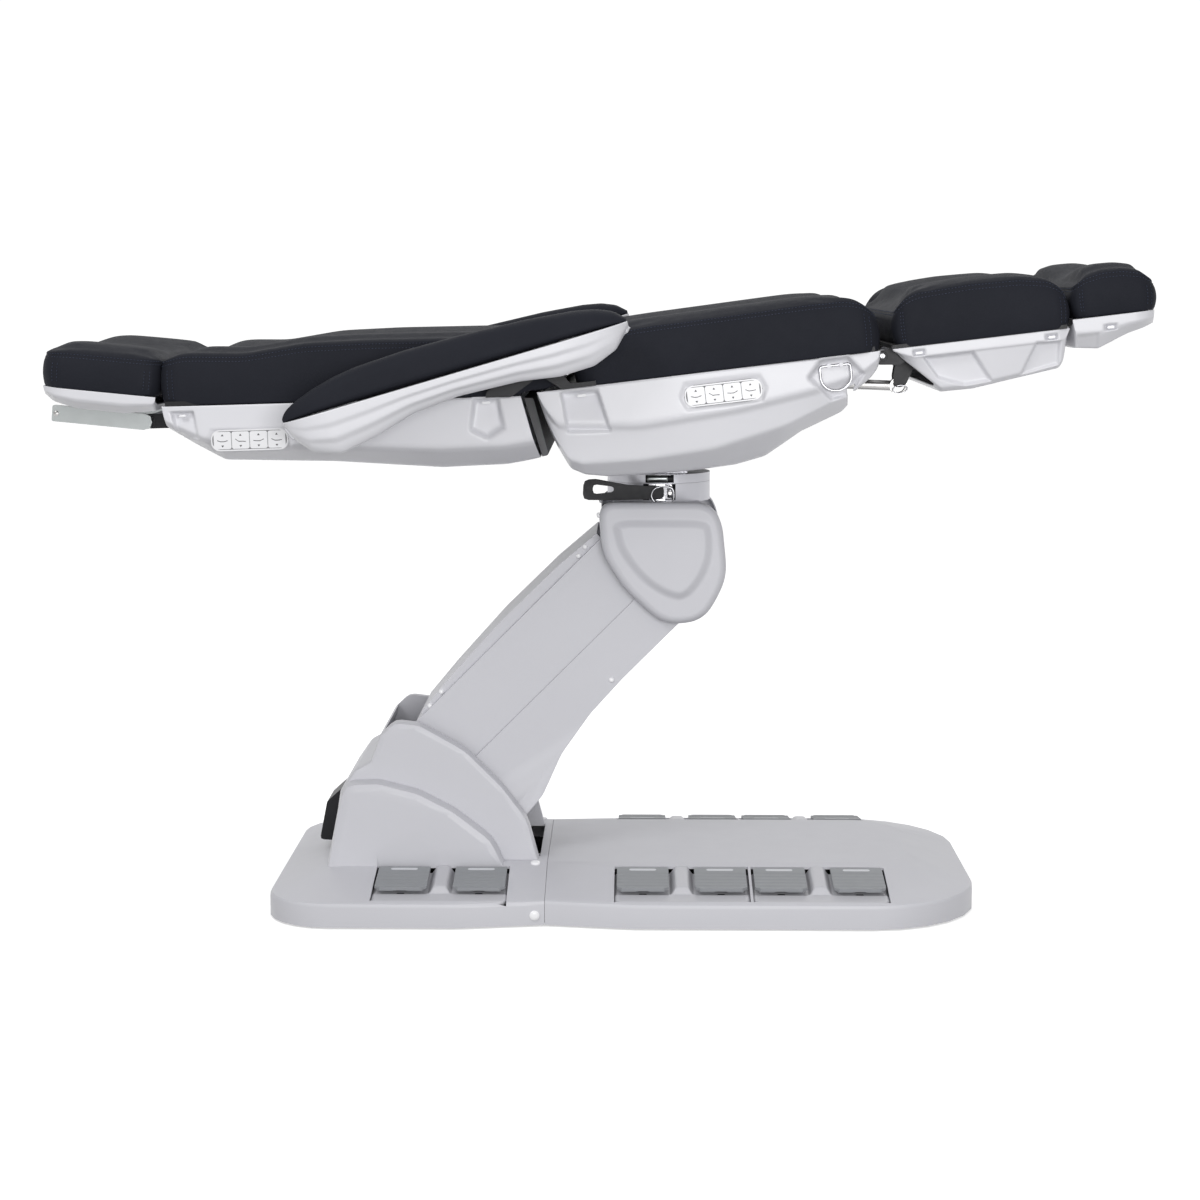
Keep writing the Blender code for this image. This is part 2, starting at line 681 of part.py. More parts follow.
LINK_OFFSET = turned_vector(0.0, LINK_GAP, LINK_LEAN)
TOWER_LOW = (PIVOT_X, PIVOT_Z)
TOWER_HIGH = (PIVOT_X + LINK_OFFSET[0], PIVOT_Z + LINK_OFFSET[1])
REACH = turned_vector(ARM_LENGTH, 0.0, ARM_ANGLE)
HEAD_LOW = (PIVOT_X + REACH[0], PIVOT_Z + REACH[1])
HEAD_HIGH = (HEAD_LOW[0] + LINK_OFFSET[0], HEAD_LOW[1] + LINK_OFFSET[1])
UPRIGHT_IN = LINK_HALF + RUN
LEVER_LEAN = LIFT_TRAVEL / 2
LEVER_TIP = (
    PIVOT_X + LEVER_R * math.sin(math.radians(LEVER_LEAN)),
    PIVOT_Z - LEVER_R * math.cos(math.radians(LEVER_LEAN)))
ROD_Z = PIVOT_Z - LEVER_R * (1.0 + math.cos(math.radians(LEVER_LEAN))) / 2


def base_frame():
    """Steel floor plate with its feet, the tower's side plates and pins, and the actuator's cradle."""
    depth = SKIN + CLEAR
    left = cover_plan(-1.0, BASE_HEAD_X + depth, BASE_HALF - depth, WAIST_HALF - depth,
                      HEAD_CORNER - depth, SEAM_X)
    right = cover_plan(1.0, BASE_FOOT_X - depth, BASE_HALF - depth, WAIST_HALF - depth,
                       FOOT_CORNER - depth, SEAM_X)
    plan = right + list(reversed(left))[1:-1]
    rings = [[(x, y, z) for x, y in plan] for z in (PLATE_Z, PLATE_Z + PLATE_T)]
    frame = loft("base_frame", rings, BLACK)
    for x in (BASE_HEAD_X + FOOT_INSET_X, BASE_FOOT_X - FOOT_INSET_X):
        for side in (-1.0, 1.0):
            join(frame, rod("foot", FOOT_R, (x, side * FOOT_Y, 0.0), (x, side * FOOT_Y, PLATE_Z + SINK),
                            BLACK, sides=16))
    for side in (-1.0, 1.0):
        low, high = sorted((side * UPRIGHT_IN, side * (UPRIGHT_IN + UPRIGHT_T)))
        join(frame, slab("upright", rounded(upright_outline((TOWER_LOW, TOWER_HIGH))), low, high, BLACK))
    for x, z in (TOWER_LOW, TOWER_HIGH):
        join(frame, rod("pin", PIN_R, (x, -UPRIGHT_IN - SINK, z), (x, UPRIGHT_IN + SINK, z), BLACK, sides=20))
    for share in (0.2, 0.8):
        x = BODY_START + BODY_LENGTH * share
        join(frame, block("cradle", (x - BODY_R / 2, -BODY_R / 2, PLATE_Z + PLATE_T - SINK),
                          (x + BODY_R / 2, BODY_R / 2, ROD_Z - BODY_R - CLEAR), BLACK))
    return frame


def rear_x(z):
    """Where the tower's rear slope lies at a given height."""
    places = []
    for corners in (tower_outline(), bulge_outline()):
        (low_x, low_z, _), (high_x, high_z, _) = corners[:2]
        places.append(low_x + (high_x - low_x) * (z - low_z) / (high_z - low_z))
    return min(places)


def power_inlet():
    """Mains inlet housing on the rear slope of the tower."""
    low = Vector((rear_x(PLATEAU_Z * 1.1) - CLEAR * 2, PLATEAU_Z * 1.1))
    high = Vector((rear_x(PIVOT_Z * 1.1) - CLEAR * 2, PIVOT_Z * 1.1))
    reach = INLET_REACH
    outline = [
        (low.x, low.y, 0.0),
        (low.x - reach * 0.9, low.y + reach * 0.05, reach * 0.18),
        (high.x - reach, high.y - reach * 0.9, reach * 0.29),
        (high.x, high.y, 0.0),
    ]
    inlet = slab("power_inlet", rounded(outline), -INLET_HALF, INLET_HALF, BLACK)
    middle = (low + high) / 2 + Vector((-reach, 0.0))
    pocket = block("socket_pocket", (middle.x - reach, -INLET_HALF * 0.53, middle.y - reach * 0.53),
                   (middle.x + reach * 0.41, INLET_HALF * 0.53, middle.y + reach * 0.41), BLACK)
    return cut(inlet, pocket)


# Pedals and their trays


def pedal_frame(x, side):
    """A frame at the middle of a pedal's hinge edge: +X outward along the pedal, +Z square to its face."""
    outward = Vector((0.0, side * math.cos(math.radians(PEDAL_TILT)), -math.sin(math.radians(PEDAL_TILT))))
    up = Vector((0.0, side * math.sin(math.radians(PEDAL_TILT)), math.cos(math.radians(PEDAL_TILT))))
    across = up.cross(outward)
    frame = Matrix((outward, across, up)).transposed().to_4x4()
    frame.translation = (x, side * PEDAL_IN_Y, PLATEAU_Z - PEDAL_TOP)
    return frame


def pedal_mesh():
    """One pedal: a ribbed plate with clipped outer corners and a hinge bead along its inner edge."""
    flat = PEDAL_L * 0.24
    pitch = (PEDAL_L - flat) / RIB_COUNT
    profile = [(0.0, 0.0), (flat, 0.0)]
    for k in range(RIB_COUNT):
        start = flat + pitch * k
        profile += [
            (start + pitch * 0.15, -RIB_H),
            (start + pitch * 0.70, -RIB_H),
            (start + pitch * 0.85, 0.0),
            (start + pitch * 0.999, 0.0),
        ]
    profile += [(PEDAL_L, -PEDAL_T * 0.3), (PEDAL_L, -PEDAL_T), (0.0, -PEDAL_T)]
    plate = slab("pedal", profile, -PEDAL_W / 2, PEDAL_W / 2, PEDAL_GREY)
    clip = PEDAL_W * 0.10
    for side in (-1.0, 1.0):
        corner = Matrix.Translation((PEDAL_L, side * PEDAL_W / 2, 0.0)) @ Matrix.Rotation(
            math.pi / 4, 4, "Z")
        size = clip / math.sqrt(2)
        cut(plate, block("corner_clip", (-size, -size, -PEDAL_T - OVER), (size, size, OVER), PEDAL_GREY,
                         corner))
    mesh = plate.data.copy()
    bpy.data.objects.remove(plate)
    return mesh


def tray(name, x, side):
    """A pan with a well for each of its two pedals, standing on the floor plate."""
    frame = pedal_frame(x, side)
    edge = (TRAY_L - PEDAL_L) / 2
    bottom = TRAY_FLOOR + TRAY_SKIN
    corners = [
        (TRAY_START, -TRAY_W / 2, TRAY_SKIN),
        (TRAY_START + TRAY_L, -TRAY_W / 2, TRAY_ROUND),
        (TRAY_START + TRAY_L, TRAY_W / 2, TRAY_ROUND),
        (TRAY_START, TRAY_W / 2, TRAY_SKIN),
    ]
    plan = rounded(corners)
    rings = [[(u, v, w) for u, v in plan] for w in (-bottom, -TRAY_RIM)]
    pan = loft(name, rings, WHITE, frame)
    for offset in (-PEDAL_PITCH / 2, PEDAL_PITCH / 2):
        half = PEDAL_W / 2 + WELL_PLAY
        cut(pan, block("well", (-CLEAR * 2, offset - half, -TRAY_FLOOR),
                       (PEDAL_L + WELL_PLAY, offset + half, OVER), WHITE, frame))
        switch = block("switch", (PEDAL_L * 0.86, offset - PEDAL_W * 0.08, -TRAY_FLOOR - SINK),
                       (PEDAL_L * 0.97, offset + PEDAL_W * 0.08, -TRAY_FLOOR * 0.8), WHITE, frame)
        join(pan, switch)
    for along in (edge, TRAY_L - edge * 2):
        for across in (-TRAY_W * 0.40, TRAY_W * 0.40):
            top = frame @ Vector((along, across, -bottom + SINK))
            join(pan, rod("post", TRAY_SKIN * 2, (top.x, top.y, PLATE_Z + PLATE_T + CLEAR), top, WHITE, sides=8))
    return pan


def tray_hole(x, side):
    frame = pedal_frame(x, side)
    return block(
        "tray_hole", (TRAY_START - TRAY_PLAY, -TRAY_W / 2 - TRAY_PLAY, -TRAY_FLOOR * 2),
        (TRAY_START + TRAY_L + TRAY_PLAY, TRAY_W / 2 + TRAY_PLAY, OVER), GREY, frame)


def pedals_and_trays(covers):
    shared = pedal_mesh()
    for side, word in SIDES:
        for number, x in enumerate(TRAY_XS, 1):
            cover = covers[0] if x < SEAM_X else covers[1]
            cut(cover, tray_hole(x, side))
            tray(f"pedal_tray_{word}_{number}", x, side)
            for k, offset in enumerate((-PEDAL_PITCH / 2, PEDAL_PITCH / 2)):
                frame = pedal_frame(x + offset, side)
                pedal = add_object(f"pedal_{word}_{2 * number - 1 + k}", shared, PEDAL_GREY, frame)
                hang(pedal.name + "_axis", frame @ Vector((0.0, 0.0, -PEDAL_T)), [pedal.name])


# Lift arm


def link_frame(pivot):
    return section_frame(pivot[0], pivot[1], ARM_ANGLE)


def lower_link():
    """Lower arm: an open channel with a flared root, hub tubes at both ends and the actuator's lever."""
    half = LINK_DEPTH / 2
    top = half
    corners = [
        (-HUB_R * 2.0, top, LINK_WALL),
        (-HUB_R * 2.2, -half * 0.4, half * 0.7),
        (HUB_R * 0.9, -half - LINK_FLARE * 0.6, half * 0.5),
        (HUB_R * 2.5, -half - LINK_FLARE, half * 0.35),
        (HUB_R * 5.0, -half - LINK_FLARE * 0.9, half),
        (HUB_R * 8.4, -half - LINK_FLARE * 0.36, half * 2.2),
        (HUB_R * 12.3, -half - LINK_FLARE * 0.08, half * 2.9),
        (ARM_LENGTH * 0.66, -half, half * 2.4),
        (ARM_LENGTH + HUB_R * 1.2, -half, half * 0.7),
        (ARM_LENGTH + HUB_R * 1.8, -half * 0.2, half * 0.5),
        (ARM_LENGTH + HUB_R * 1.6, top, LINK_WALL),
    ]
    matrix = link_frame(TOWER_LOW)
    link = slab("lower_link", rounded(corners), -LINK_HALF, LINK_HALF, GREY, matrix)
    inner = inset(corners, LINK_WALL)
    inner[0] = (inner[0][0], top + OVER, 0.0)
    inner[-1] = (inner[-1][0], top + OVER, 0.0)
    wall = LINK_HALF - LINK_WALL
    cut(link, slab("channel", rounded(inner), -wall, wall, GREY, matrix))
    for start in (-HUB_R * 3, ARM_LENGTH):
        cut(link, block("end_notch", (start, SINK - wall, HUB_R * 0.9), (start + HUB_R * 3, wall - SINK, LINK_DEPTH),
                        GREY, matrix))
    for t in (0.0, ARM_LENGTH):
        join(link, rod("hub", HUB_R, (t, -wall - SINK, 0.0), (t, wall + SINK, 0.0), GREY, matrix, 20))
    tip_x, tip_z = turned_vector(LEVER_TIP[0] - PIVOT_X, LEVER_TIP[1] - PIVOT_Z, -ARM_ANGLE)
    along = Vector((tip_x, tip_z)).normalized()
    side = Vector((-along.y, along.x))
    root = HUB_R * 0.9
    lever = [
        (side.x * root, side.y * root, 0.0),
        (tip_x + side.x * FORK_R * 0.8, tip_z + side.y * FORK_R * 0.8, FORK_R * 0.45),
        (tip_x + along.x * FORK_R * 0.9, tip_z + along.y * FORK_R * 0.9, FORK_R * 0.55),
        (tip_x - side.x * FORK_R * 0.8, tip_z - side.y * FORK_R * 0.8, FORK_R * 0.45),
        (-side.x * root, -side.y * root, 0.0),
    ]
    join(link, slab("lever", rounded(lever), -LEVER_T, LEVER_T, GREY, matrix))
    reach = LEVER_T + RUN + FORK_T + RUN
    join(link, rod("lever_pin", ROD_R * 0.6, (tip_x, -reach, tip_z), (tip_x, reach, tip_z), GREY, matrix, 16))
    for t in (0.0, ARM_LENGTH):
        cut(link, rod("bore", PIN_R + BORE_RUN, (t, -LINK_HALF - OVER, 0.0), (t, LINK_HALF + OVER, 0.0),
                      GREY, matrix, 20))
    return link


def upper_link():
    """Upper arm: a channel open below, which laps inside the lower one, with a raised cap strip."""
    half = LINK_HALF - LINK_WALL - RUN
    lean = ARM_ANGLE - LINK_LEAN
    apart = LINK_GAP * math.cos(math.radians(lean))
    low = LINK_DEPTH / 2 - LINK_LAP - apart
    high = UPPER_RISE
    cap_end = ARM_LENGTH - CAP_SHORT
    body = [
        (-HUB_R * 1.4, low, LINK_WALL),
        (ARM_LENGTH + HUB_R * 0.2, low, HUB_R * 0.9),
        (ARM_LENGTH + HUB_R * 1.3, -HUB_R * 0.5, HUB_R * 0.9),
        (ARM_LENGTH + HUB_R * 0.6, HUB_R * 1.2, HUB_R * 0.7),
        (ARM_LENGTH - HUB_R * 1.5, HUB_R * 1.4, HUB_R * 0.45),
        (cap_end, high, 0.0),
        (HUB_R * 0.45, high, HUB_R * 0.45),
        (-HUB_R * 1.4, high * 0.5, HUB_R * 0.9),
    ]
    cap = [
        (HUB_R * 1.15, high - SINK * 3, 0.0),
        (cap_end, high - SINK * 3, 0.0),
        (cap_end, high + CAP_RISE * 0.6, 0.0),
        (ARM_LENGTH * 0.70, high + CAP_RISE, high * 2.6),
        (ARM_LENGTH * 0.45, high + CAP_RISE * 1.1, high * 2.6),
        (ARM_LENGTH * 0.20, high + CAP_RISE * 0.7, high * 1.4),
        (HUB_R * 1.35, high + CAP_RISE * 0.3, 0.0),
    ]
    matrix = link_frame(TOWER_HIGH)
    link = slab("upper_link", rounded(body), -half, half, GREY, matrix)
    join(link, slab("cap_strip", rounded(cap), -half + CAP_INSET, half - CAP_INSET, GREY, matrix))
    hollow = inset(body, LINK_WALL)
    hollow[0] = (hollow[0][0], low - OVER, 0.0)
    hollow[1] = (hollow[1][0], low - OVER, 0.0)
    wall = half - LINK_WALL
    cut(link, slab("channel", rounded(hollow), -wall, wall, GREY, matrix))
    for t in (0.0, ARM_LENGTH):
        join(link, rod("hub", HUB_R, (t, -wall - SINK, 0.0), (t, wall + SINK, 0.0), GREY, matrix, 20))
        cut(link, rod("bore", PIN_R + BORE_RUN, (t, -half - OVER, 0.0), (t, half + OVER, 0.0),
                      GREY, matrix, 20))
    return link


def lift_actuator():
    """Actuator tube and motor block in the platform, and the rod whose fork takes the arm's lever."""
    bore = ROD_R + CLEAR
    end = BODY_START + BODY_LENGTH
    body = rod("lift_actuator_body", BODY_R, (BODY_START, 0.0, ROD_Z), (end, 0.0, ROD_Z), BLACK, sides=20)
    motor = block("motor", (end - BODY_LENGTH * 0.3, -BODY_R * 2.4, ROD_Z - BODY_R * 0.95),
                  (end, BODY_R * 0.4, ROD_Z + BODY_R * 0.9), BLACK)
    join(body, motor)
    cut(body, rod("bore", bore, (BODY_START - OVER, 0.0, ROD_Z), (end - OVER, 0.0, ROD_Z), BLACK, sides=20))
    tip_x = LEVER_TIP[0]
    inner_end = BODY_START + BODY_LENGTH * 0.72
    neck = tip_x + FORK_R + LEVER_T
    piston = rod("lift_actuator_rod", ROD_R, (neck, 0.0, ROD_Z), (inner_end, 0.0, ROD_Z), CHROME, sides=20)
    fork_in = LEVER_T + RUN
    fork_out = fork_in + FORK_T
    high = FORK_R
    cheek = [
        (tip_x - high, ROD_Z - high, high * 0.8),
        (neck + SINK, ROD_Z - high, FORK_T * 0.8),
        (neck + SINK, ROD_Z + high, FORK_T * 0.8),
        (tip_x - high, ROD_Z + high, high * 0.8),
    ]
    for side in (-1.0, 1.0):
        low, top = sorted((side * fork_in, side * fork_out))
        join(piston, slab("fork_cheek", rounded(cheek), low, top, CHROME))
    join(piston, block("fork_root", (neck - FORK_T, -fork_out, ROD_Z - high), (neck + FORK_T, fork_out, ROD_Z + high),
                       CHROME))
    hole = ROD_R * 0.6 + LEVER_R * (1.0 - math.cos(math.radians(LEVER_LEAN))) / 2 + RUN
    cut(piston, rod("fork_eye", hole, (tip_x, -fork_out - OVER, ROD_Z), (tip_x, fork_out + OVER, ROD_Z), CHROME))
    return body, piston


# Head of the arm

HEAD_TOP_Z = HEAD_LOW[1] + HEAD_TOP
SWIVEL_X = HEAD_LOW[0] - SWIVEL_BACK
RING_BASE_Z = HEAD_TOP_Z + RING_LOW
RING_TOP_Z = RING_BASE_Z + CLEAR + RING_HIGH
HEAD_PLATE_TOP = HEAD_TOP_Z - HEAD_SKIN - CLEAR


# Side view of a head cover about the arm pivot, in shares of its height above that pivot
HEAD_SHARES = (
    (-0.966, 1.0, 0.081), (0.324, 1.0, 0.135), (0.466, 0.797, 0.203), (0.534, 0.135, 0.405),
    (0.270, -0.392, 0.304), (-0.216, -0.419, 0.270), (-0.662, 0.0, 0.541), (-0.919, 0.405, 0.405),
)


def head_cover(name, side):
    """A cover of the arm's head: flat on top and rounded to a point below the arm pivot."""
    corners = placed(HEAD_SHARES, HEAD_TOP, *HEAD_LOW)
    base = LINK_HALF + RUN
    steps = (
        (0.0, 0.0), (0.58, 0.0), (0.88, 0.26), (1.0, 0.70),
    )
    depth = HEAD_COVER_T * 0.75

    def rings(shrink, y_from, cut_depth):
        made = []
        for height_share, inset_share in steps:
            outline = rounded(inset(corners, shrink + inset_share * depth))
            y = side * (y_from + height_share * (HEAD_COVER_T - cut_depth))
            made.append([(p[0], y, p[1]) for p in outline])
        return made

    cover = loft(name, rings(0.0, base, 0.0), WHITE)
    hollow_rings = rings(HEAD_SKIN, base, HEAD_SKIN)
    mouth = [(x, side * (base - OVER), z) for x, _, z in hollow_rings[0]]
    hollow = loft("head_hollow", [mouth] + hollow_rings[1:], WHITE)
    return cut(cover, hollow)


def head_carrier():
    """Steel yoke inside the head covers, with the link pins and the fixed swivel ring on top."""
    inner = LINK_HALF + RUN
    outer = inner + UPRIGHT_T
    low_x, low_z = HEAD_LOW
    high_x, high_z = HEAD_HIGH
    left = SWIVEL_X - RING_R * 0.88
    right = SWIVEL_X + RING_R * 0.78
    bottom = HEAD_PLATE_TOP - HEAD_PLATE_T
    plate = block("head_carrier", (left, -outer, bottom), (right, outer, HEAD_PLATE_TOP), BLACK)
    cheek = [
        (left + HUB_R * 0.3, HEAD_PLATE_TOP - SINK, 0.0),
        (right, HEAD_PLATE_TOP - SINK, 0.0),
        (right, high_z - HUB_R * 0.8, HUB_R * 0.9),
        (low_x + HUB_R * 0.9, low_z - HUB_R * 1.1, HUB_R * 0.9),
        (low_x - HUB_R * 1.1, low_z - HUB_R * 1.0, HUB_R * 0.9),
        (high_x - HUB_R * 1.3, high_z - HUB_R * 0.8, HUB_R * 0.9),
    ]
    for side in (-1.0, 1.0):
        low, high = sorted((side * inner, side * outer))
        join(plate, slab("cheek", rounded(cheek), low, high, BLACK))
    for x, z in (HEAD_LOW, HEAD_HIGH):
        join(plate, rod("pin", PIN_R, (x, -inner - SINK, z), (x, inner + SINK, z), BLACK, sides=20))
    centre = Vector((SWIVEL_X, 0.0, 0.0))
    join(plate, rod("fixed_ring", RING_R, centre + Vector((0.0, 0.0, HEAD_PLATE_TOP - SINK)),
                    centre + Vector((0.0, 0.0, RING_BASE_Z)), BLACK, sides=36))
    cut(plate, rod("ring_bore", SPIGOT_R + CLEAR, centre + Vector((0.0, 0.0, bottom - OVER)),
                   centre + Vector((0.0, 0.0, RING_BASE_Z + OVER)), BLACK, sides=24))
    return plate


CLAMP_X = SWIVEL_X + CLAMP_WIDTH * 0.05
CLAMP_Y = -RING_R - CLAMP_REACH * 0.55


def brake_clamp():
    """Over-centre clamp on the front of the fixed ring, with the lever's upright pin."""
    low = HEAD_TOP_Z + CLEAR * 3
    high = RING_BASE_Z - CLEAR
    face = -math.sqrt(RING_R ** 2 - (CLAMP_WIDTH / 2) ** 2)
    clamp = block("brake_clamp", (CLAMP_X - CLAMP_WIDTH / 2, face - CLAMP_FACE, low),
                  (CLAMP_X + CLAMP_WIDTH / 2, face + CLAMP_FACE * 1.3, high), CHROME)
    cut(clamp, rod("ring_seat", RING_R + CLEAR, (SWIVEL_X, 0.0, low - OVER), (SWIVEL_X, 0.0, high + OVER),
                   CHROME, sides=72))
    gap = LEVER_NECK / 2 + RUN
    middle = (low + high) / 2
    for z in (middle - gap - CLAMP_EAR_T, middle + gap):
        join(clamp, block("ear", (CLAMP_X - CLAMP_EAR, CLAMP_Y - CLAMP_EAR, z),
                          (CLAMP_X + CLAMP_EAR, -RING_R - SINK * 2, z + CLAMP_EAR_T), CHROME))
    join(clamp, rod("lever_pin", LEVER_PIN_R, (CLAMP_X, CLAMP_Y, middle - gap - SINK),
                    (CLAMP_X, CLAMP_Y, middle + gap + SINK), CHROME, sides=12))
    return clamp


def brake_lever():
    """Flat lever with a finger slot, hinged on the clamp's pin."""
    low = HEAD_TOP_Z + CLEAR * 3
    high = RING_BASE_Z - CLEAR
    middle = (low + high) / 2
    neck = LEVER_NECK / 2
    tip = CLAMP_X - LEVER_LENGTH * 1.1
    bottom = HEAD_TOP_Z + RUN
    corners = [
        (CLAMP_X + LEVER_HEEL, middle - neck, LEVER_HEEL),
        (CLAMP_X + LEVER_HEEL, middle + neck, LEVER_HEEL),
        (CLAMP_X - LEVER_LENGTH * 0.45, middle + neck * 1.25, LEVER_HEIGHT * 0.8),
        (tip + LEVER_LENGTH * 0.17, bottom + LEVER_HEIGHT, LEVER_HEIGHT * 0.8),
        (tip, bottom + LEVER_HEIGHT * 0.95, LEVER_HEIGHT * 0.28),
        (tip - LEVER_HEIGHT * 0.05, bottom, LEVER_HEIGHT * 0.28),
        (CLAMP_X - LEVER_LENGTH * 0.5, bottom, LEVER_HEIGHT * 0.55),
    ]
    y = CLAMP_Y
    lever = slab("brake_lever", rounded(corners), y - LEVER_THICK / 2, y + LEVER_THICK / 2, BLACK)
    slot_low = bottom + LEVER_HEIGHT * 0.26
    slot_high = bottom + LEVER_HEIGHT * 0.76
    slot_start = tip + LEVER_LENGTH * 0.133
    slot_end = tip + LEVER_LENGTH * 0.433
    slot = [
        (slot_start, slot_low, LEVER_HEIGHT * 0.17),
        (slot_end, slot_low + LEVER_HEIGHT * 0.12, LEVER_HEIGHT * 0.17),
        (slot_end, slot_high - LEVER_HEIGHT * 0.12, LEVER_HEIGHT * 0.17),
        (slot_start, slot_high, LEVER_HEIGHT * 0.17),
    ]
    cut(lever, slab("finger_slot", rounded(slot), y - LEVER_THICK / 2 - OVER, y + LEVER_THICK / 2 + OVER, BLACK))
    cut(lever, rod("pin_hole", LEVER_PIN_R + CLEAR, (CLAMP_X, y, middle - OVER), (CLAMP_X, y, middle + OVER), BLACK,
                   sides=12))
    return lever


TILT_Z = RING_TOP_Z + TILT_PIVOT_RISE


def turntable():
    """Turning ring with its spigot in the carrier, and the two lugs that hold the tilt pin."""
    low = RING_BASE_Z + CLEAR
    ring = rod("turntable", RING_R, (SWIVEL_X, 0.0, low), (SWIVEL_X, 0.0, RING_TOP_Z), SILVER, sides=36)
    join(ring, rod("spigot", SPIGOT_R, (SWIVEL_X, 0.0, HEAD_PLATE_TOP - HEAD_PLATE_T),
                   (SWIVEL_X, 0.0, low + SINK), SILVER, sides=24))
    lug = [
        (SWIVEL_X - TILT_LUG_R * 2.8, RING_TOP_Z - SINK, 0.0),
        (SWIVEL_X - TILT_LUG_R * 0.9, TILT_Z + TILT_LUG_R * 0.67, TILT_LUG_R * 0.67),
        (SWIVEL_X + TILT_LUG_R * 0.9, TILT_Z + TILT_LUG_R * 0.67, TILT_LUG_R * 0.67),
        (SWIVEL_X + TILT_LUG_R * 2.8, RING_TOP_Z - SINK, 0.0),
    ]
    inner = TILT_LUG_Y - RUN - TILT_LUG_T
    for side in (-1.0, 1.0):
        y_low, y_high = sorted((side * inner, side * (inner + TILT_LUG_T)))
        join(ring, slab("tilt_lug", rounded(lug), y_low, y_high, SILVER))
    reach = TILT_LUG_Y + TILT_LUG_T + RUN
    join(ring, rod("tilt_pin", TILT_PIN_R, (SWIVEL_X, -reach, TILT_Z), (SWIVEL_X, reach, TILT_Z), SILVER))
    return ring


# Seat, back, headrest and legs share these makers of tubs, boards and cushions


TUB_LEVELS = ((0.0, 0.0, 0.0), (0.42, 0.020, 0.30), (0.50, 0.060, 0.42), (0.82, 0.62, 0.80), (1.0, 1.0, 1.0))


def tub(name, stations, half_at, rim_h, finish, matrix, thickness=SKIN, tuck=0.60, levels=TUB_LEVELS):
    """A moulded tub below a rim. A station is (s at the rim, s at the floor, depth)."""
    rows = []
    for s_rim, s_floor, depth in stations:
        half = half_at(s_rim)
        side = []
        for level_share, tuck_share, s_share in levels:
            s = s_rim + (s_floor - s_rim) * s_share
            side.append((s, half - depth * tuck * tuck_share, rim_h - depth * level_share))
        row = [(s, -y, h) for s, y, h in side]
        row += [(s, y, h) for s, y, h in reversed(side)]
        rows.append(row)
    return sheet_shell(name, rows, thickness, finish, matrix)


# Cross-section of a cushion from its lower edge to the centre line: (drawn-in share, height share)
SIDE_SHARES = ((1.0, 0.0), (0.25, 0.20), (0.0, 0.50), (0.45, 0.80), (2.0, 0.95), (4.6, 1.0))
# and over the top, as (share of the half width, share of the valley)
TOP_SHARES = ((0.62, 0.30), (0.34, 0.80), (0.0, 1.0))


def pad_profile(half, height, valley, drawn):
    """Half of a cushion's cross-section, from its lower edge up its drawn-in side to the centre line."""
    side = [(half - drawn * inward, height * share) for inward, share in SIDE_SHARES]
    return side + [(half * across, height - valley * dip) for across, dip in TOP_SHARES]


def cushion(name, stations, finish, matrix, valley, drawn):
    """A crowned cushion with raised sides. A station is (s low, s high, half width, height, base)."""
    rings = []
    for s_low, s_high, half, height, base in stations:
        near = []
        for y, h in pad_profile(half, height, valley, drawn):
            s = s_low + (s_high - s_low) * h / height
            near.append((s, -y, base + h))
        rings.append(near + [(s, -y, h) for s, y, h in reversed(near[:-1])])
    return loft(name, rings, finish, matrix)


def recess(cover, matrix, corners, face, depth, finish):
    """A flat-bottomed recess of a given side-view outline in both side walls of a tub."""
    left, right = min(c[0] for c in corners) - SKIN, max(c[0] for c in corners) + SKIN
    bottom, top = min(c[1] for c in corners) - SKIN, min(max(c[1] for c in corners) + SKIN, -SINK)
    for side in (-1.0, 1.0):
        low, high = sorted((side * (face - depth - SKIN), side * (face - SKIN * 0.5)))
        backing = block("recess_back", (left, low, bottom), (right, high, top), finish, matrix)
        low, high = sorted((side * (face - depth), side * (face + OVER)))
        cutter = slab("recess_cut", rounded(corners), low, high, finish, matrix)
        join(cover, backing)
        cut(cover, cutter)
    return cover


def racetrack(s, h, width, height, tilt=0.0):
    """Outline of a lozenge with round ends about (s, h)."""
    corners = []
    for across, up in ((-0.5, -0.5), (0.5, -0.5), (0.5, 0.5), (-0.5, 0.5)):
        ds, dh = turned_vector(width * across, height * up, tilt)
        corners.append((s + ds, h + dh, height / 2))
    return corners


def keypad(name, s, h, side, face, matrix, tilt=0.0):
    inner = face - KEYPAD_SINK + CLEAR
    low, high = sorted((side * inner, side * (inner + KEYPAD_T)))
    return slab(name, rounded(racetrack(s, h, KEYPAD_W, KEYPAD_H, tilt)), low, high, DARK, matrix)


def both_sides(maker):
    return [maker(side, word) for side, word in SIDES]


SEAT_ORIGIN = turned_vector(SEAT_PIVOT_S, -SEAT_PIVOT_H, SEAT_ANGLE)
SEAT_X = SWIVEL_X - SEAT_ORIGIN[0]
SEAT_Z = TILT_Z - SEAT_ORIGIN[1]
SEAT_FRAME = section_frame(SEAT_X, SEAT_Z, SEAT_ANGLE)


def on_seat(s, h):
    place = turned_vector(s, h, SEAT_ANGLE)
    return SEAT_X + place[0], SEAT_Z + place[1]


def offset_frame(origin, back, drop, angle):
    """The frame whose point (back, drop) lies on origin."""
    place = turned_vector(back, drop, angle)
    return section_frame(origin[0] - place[0], origin[1] - place[1], angle)


BACK_HINGE = on_seat(BACK_HINGE_S, BACK_HINGE_H)
BACK_FRAME = offset_frame(BACK_HINGE, BACK_PIN_S, BACK_PIN_H, BACK_ANGLE)


def on_back(back, drop):
    place = turned_vector(-back, -drop, BACK_ANGLE)
    return BACK_HINGE[0] + place[0], BACK_HINGE[1] + place[1]


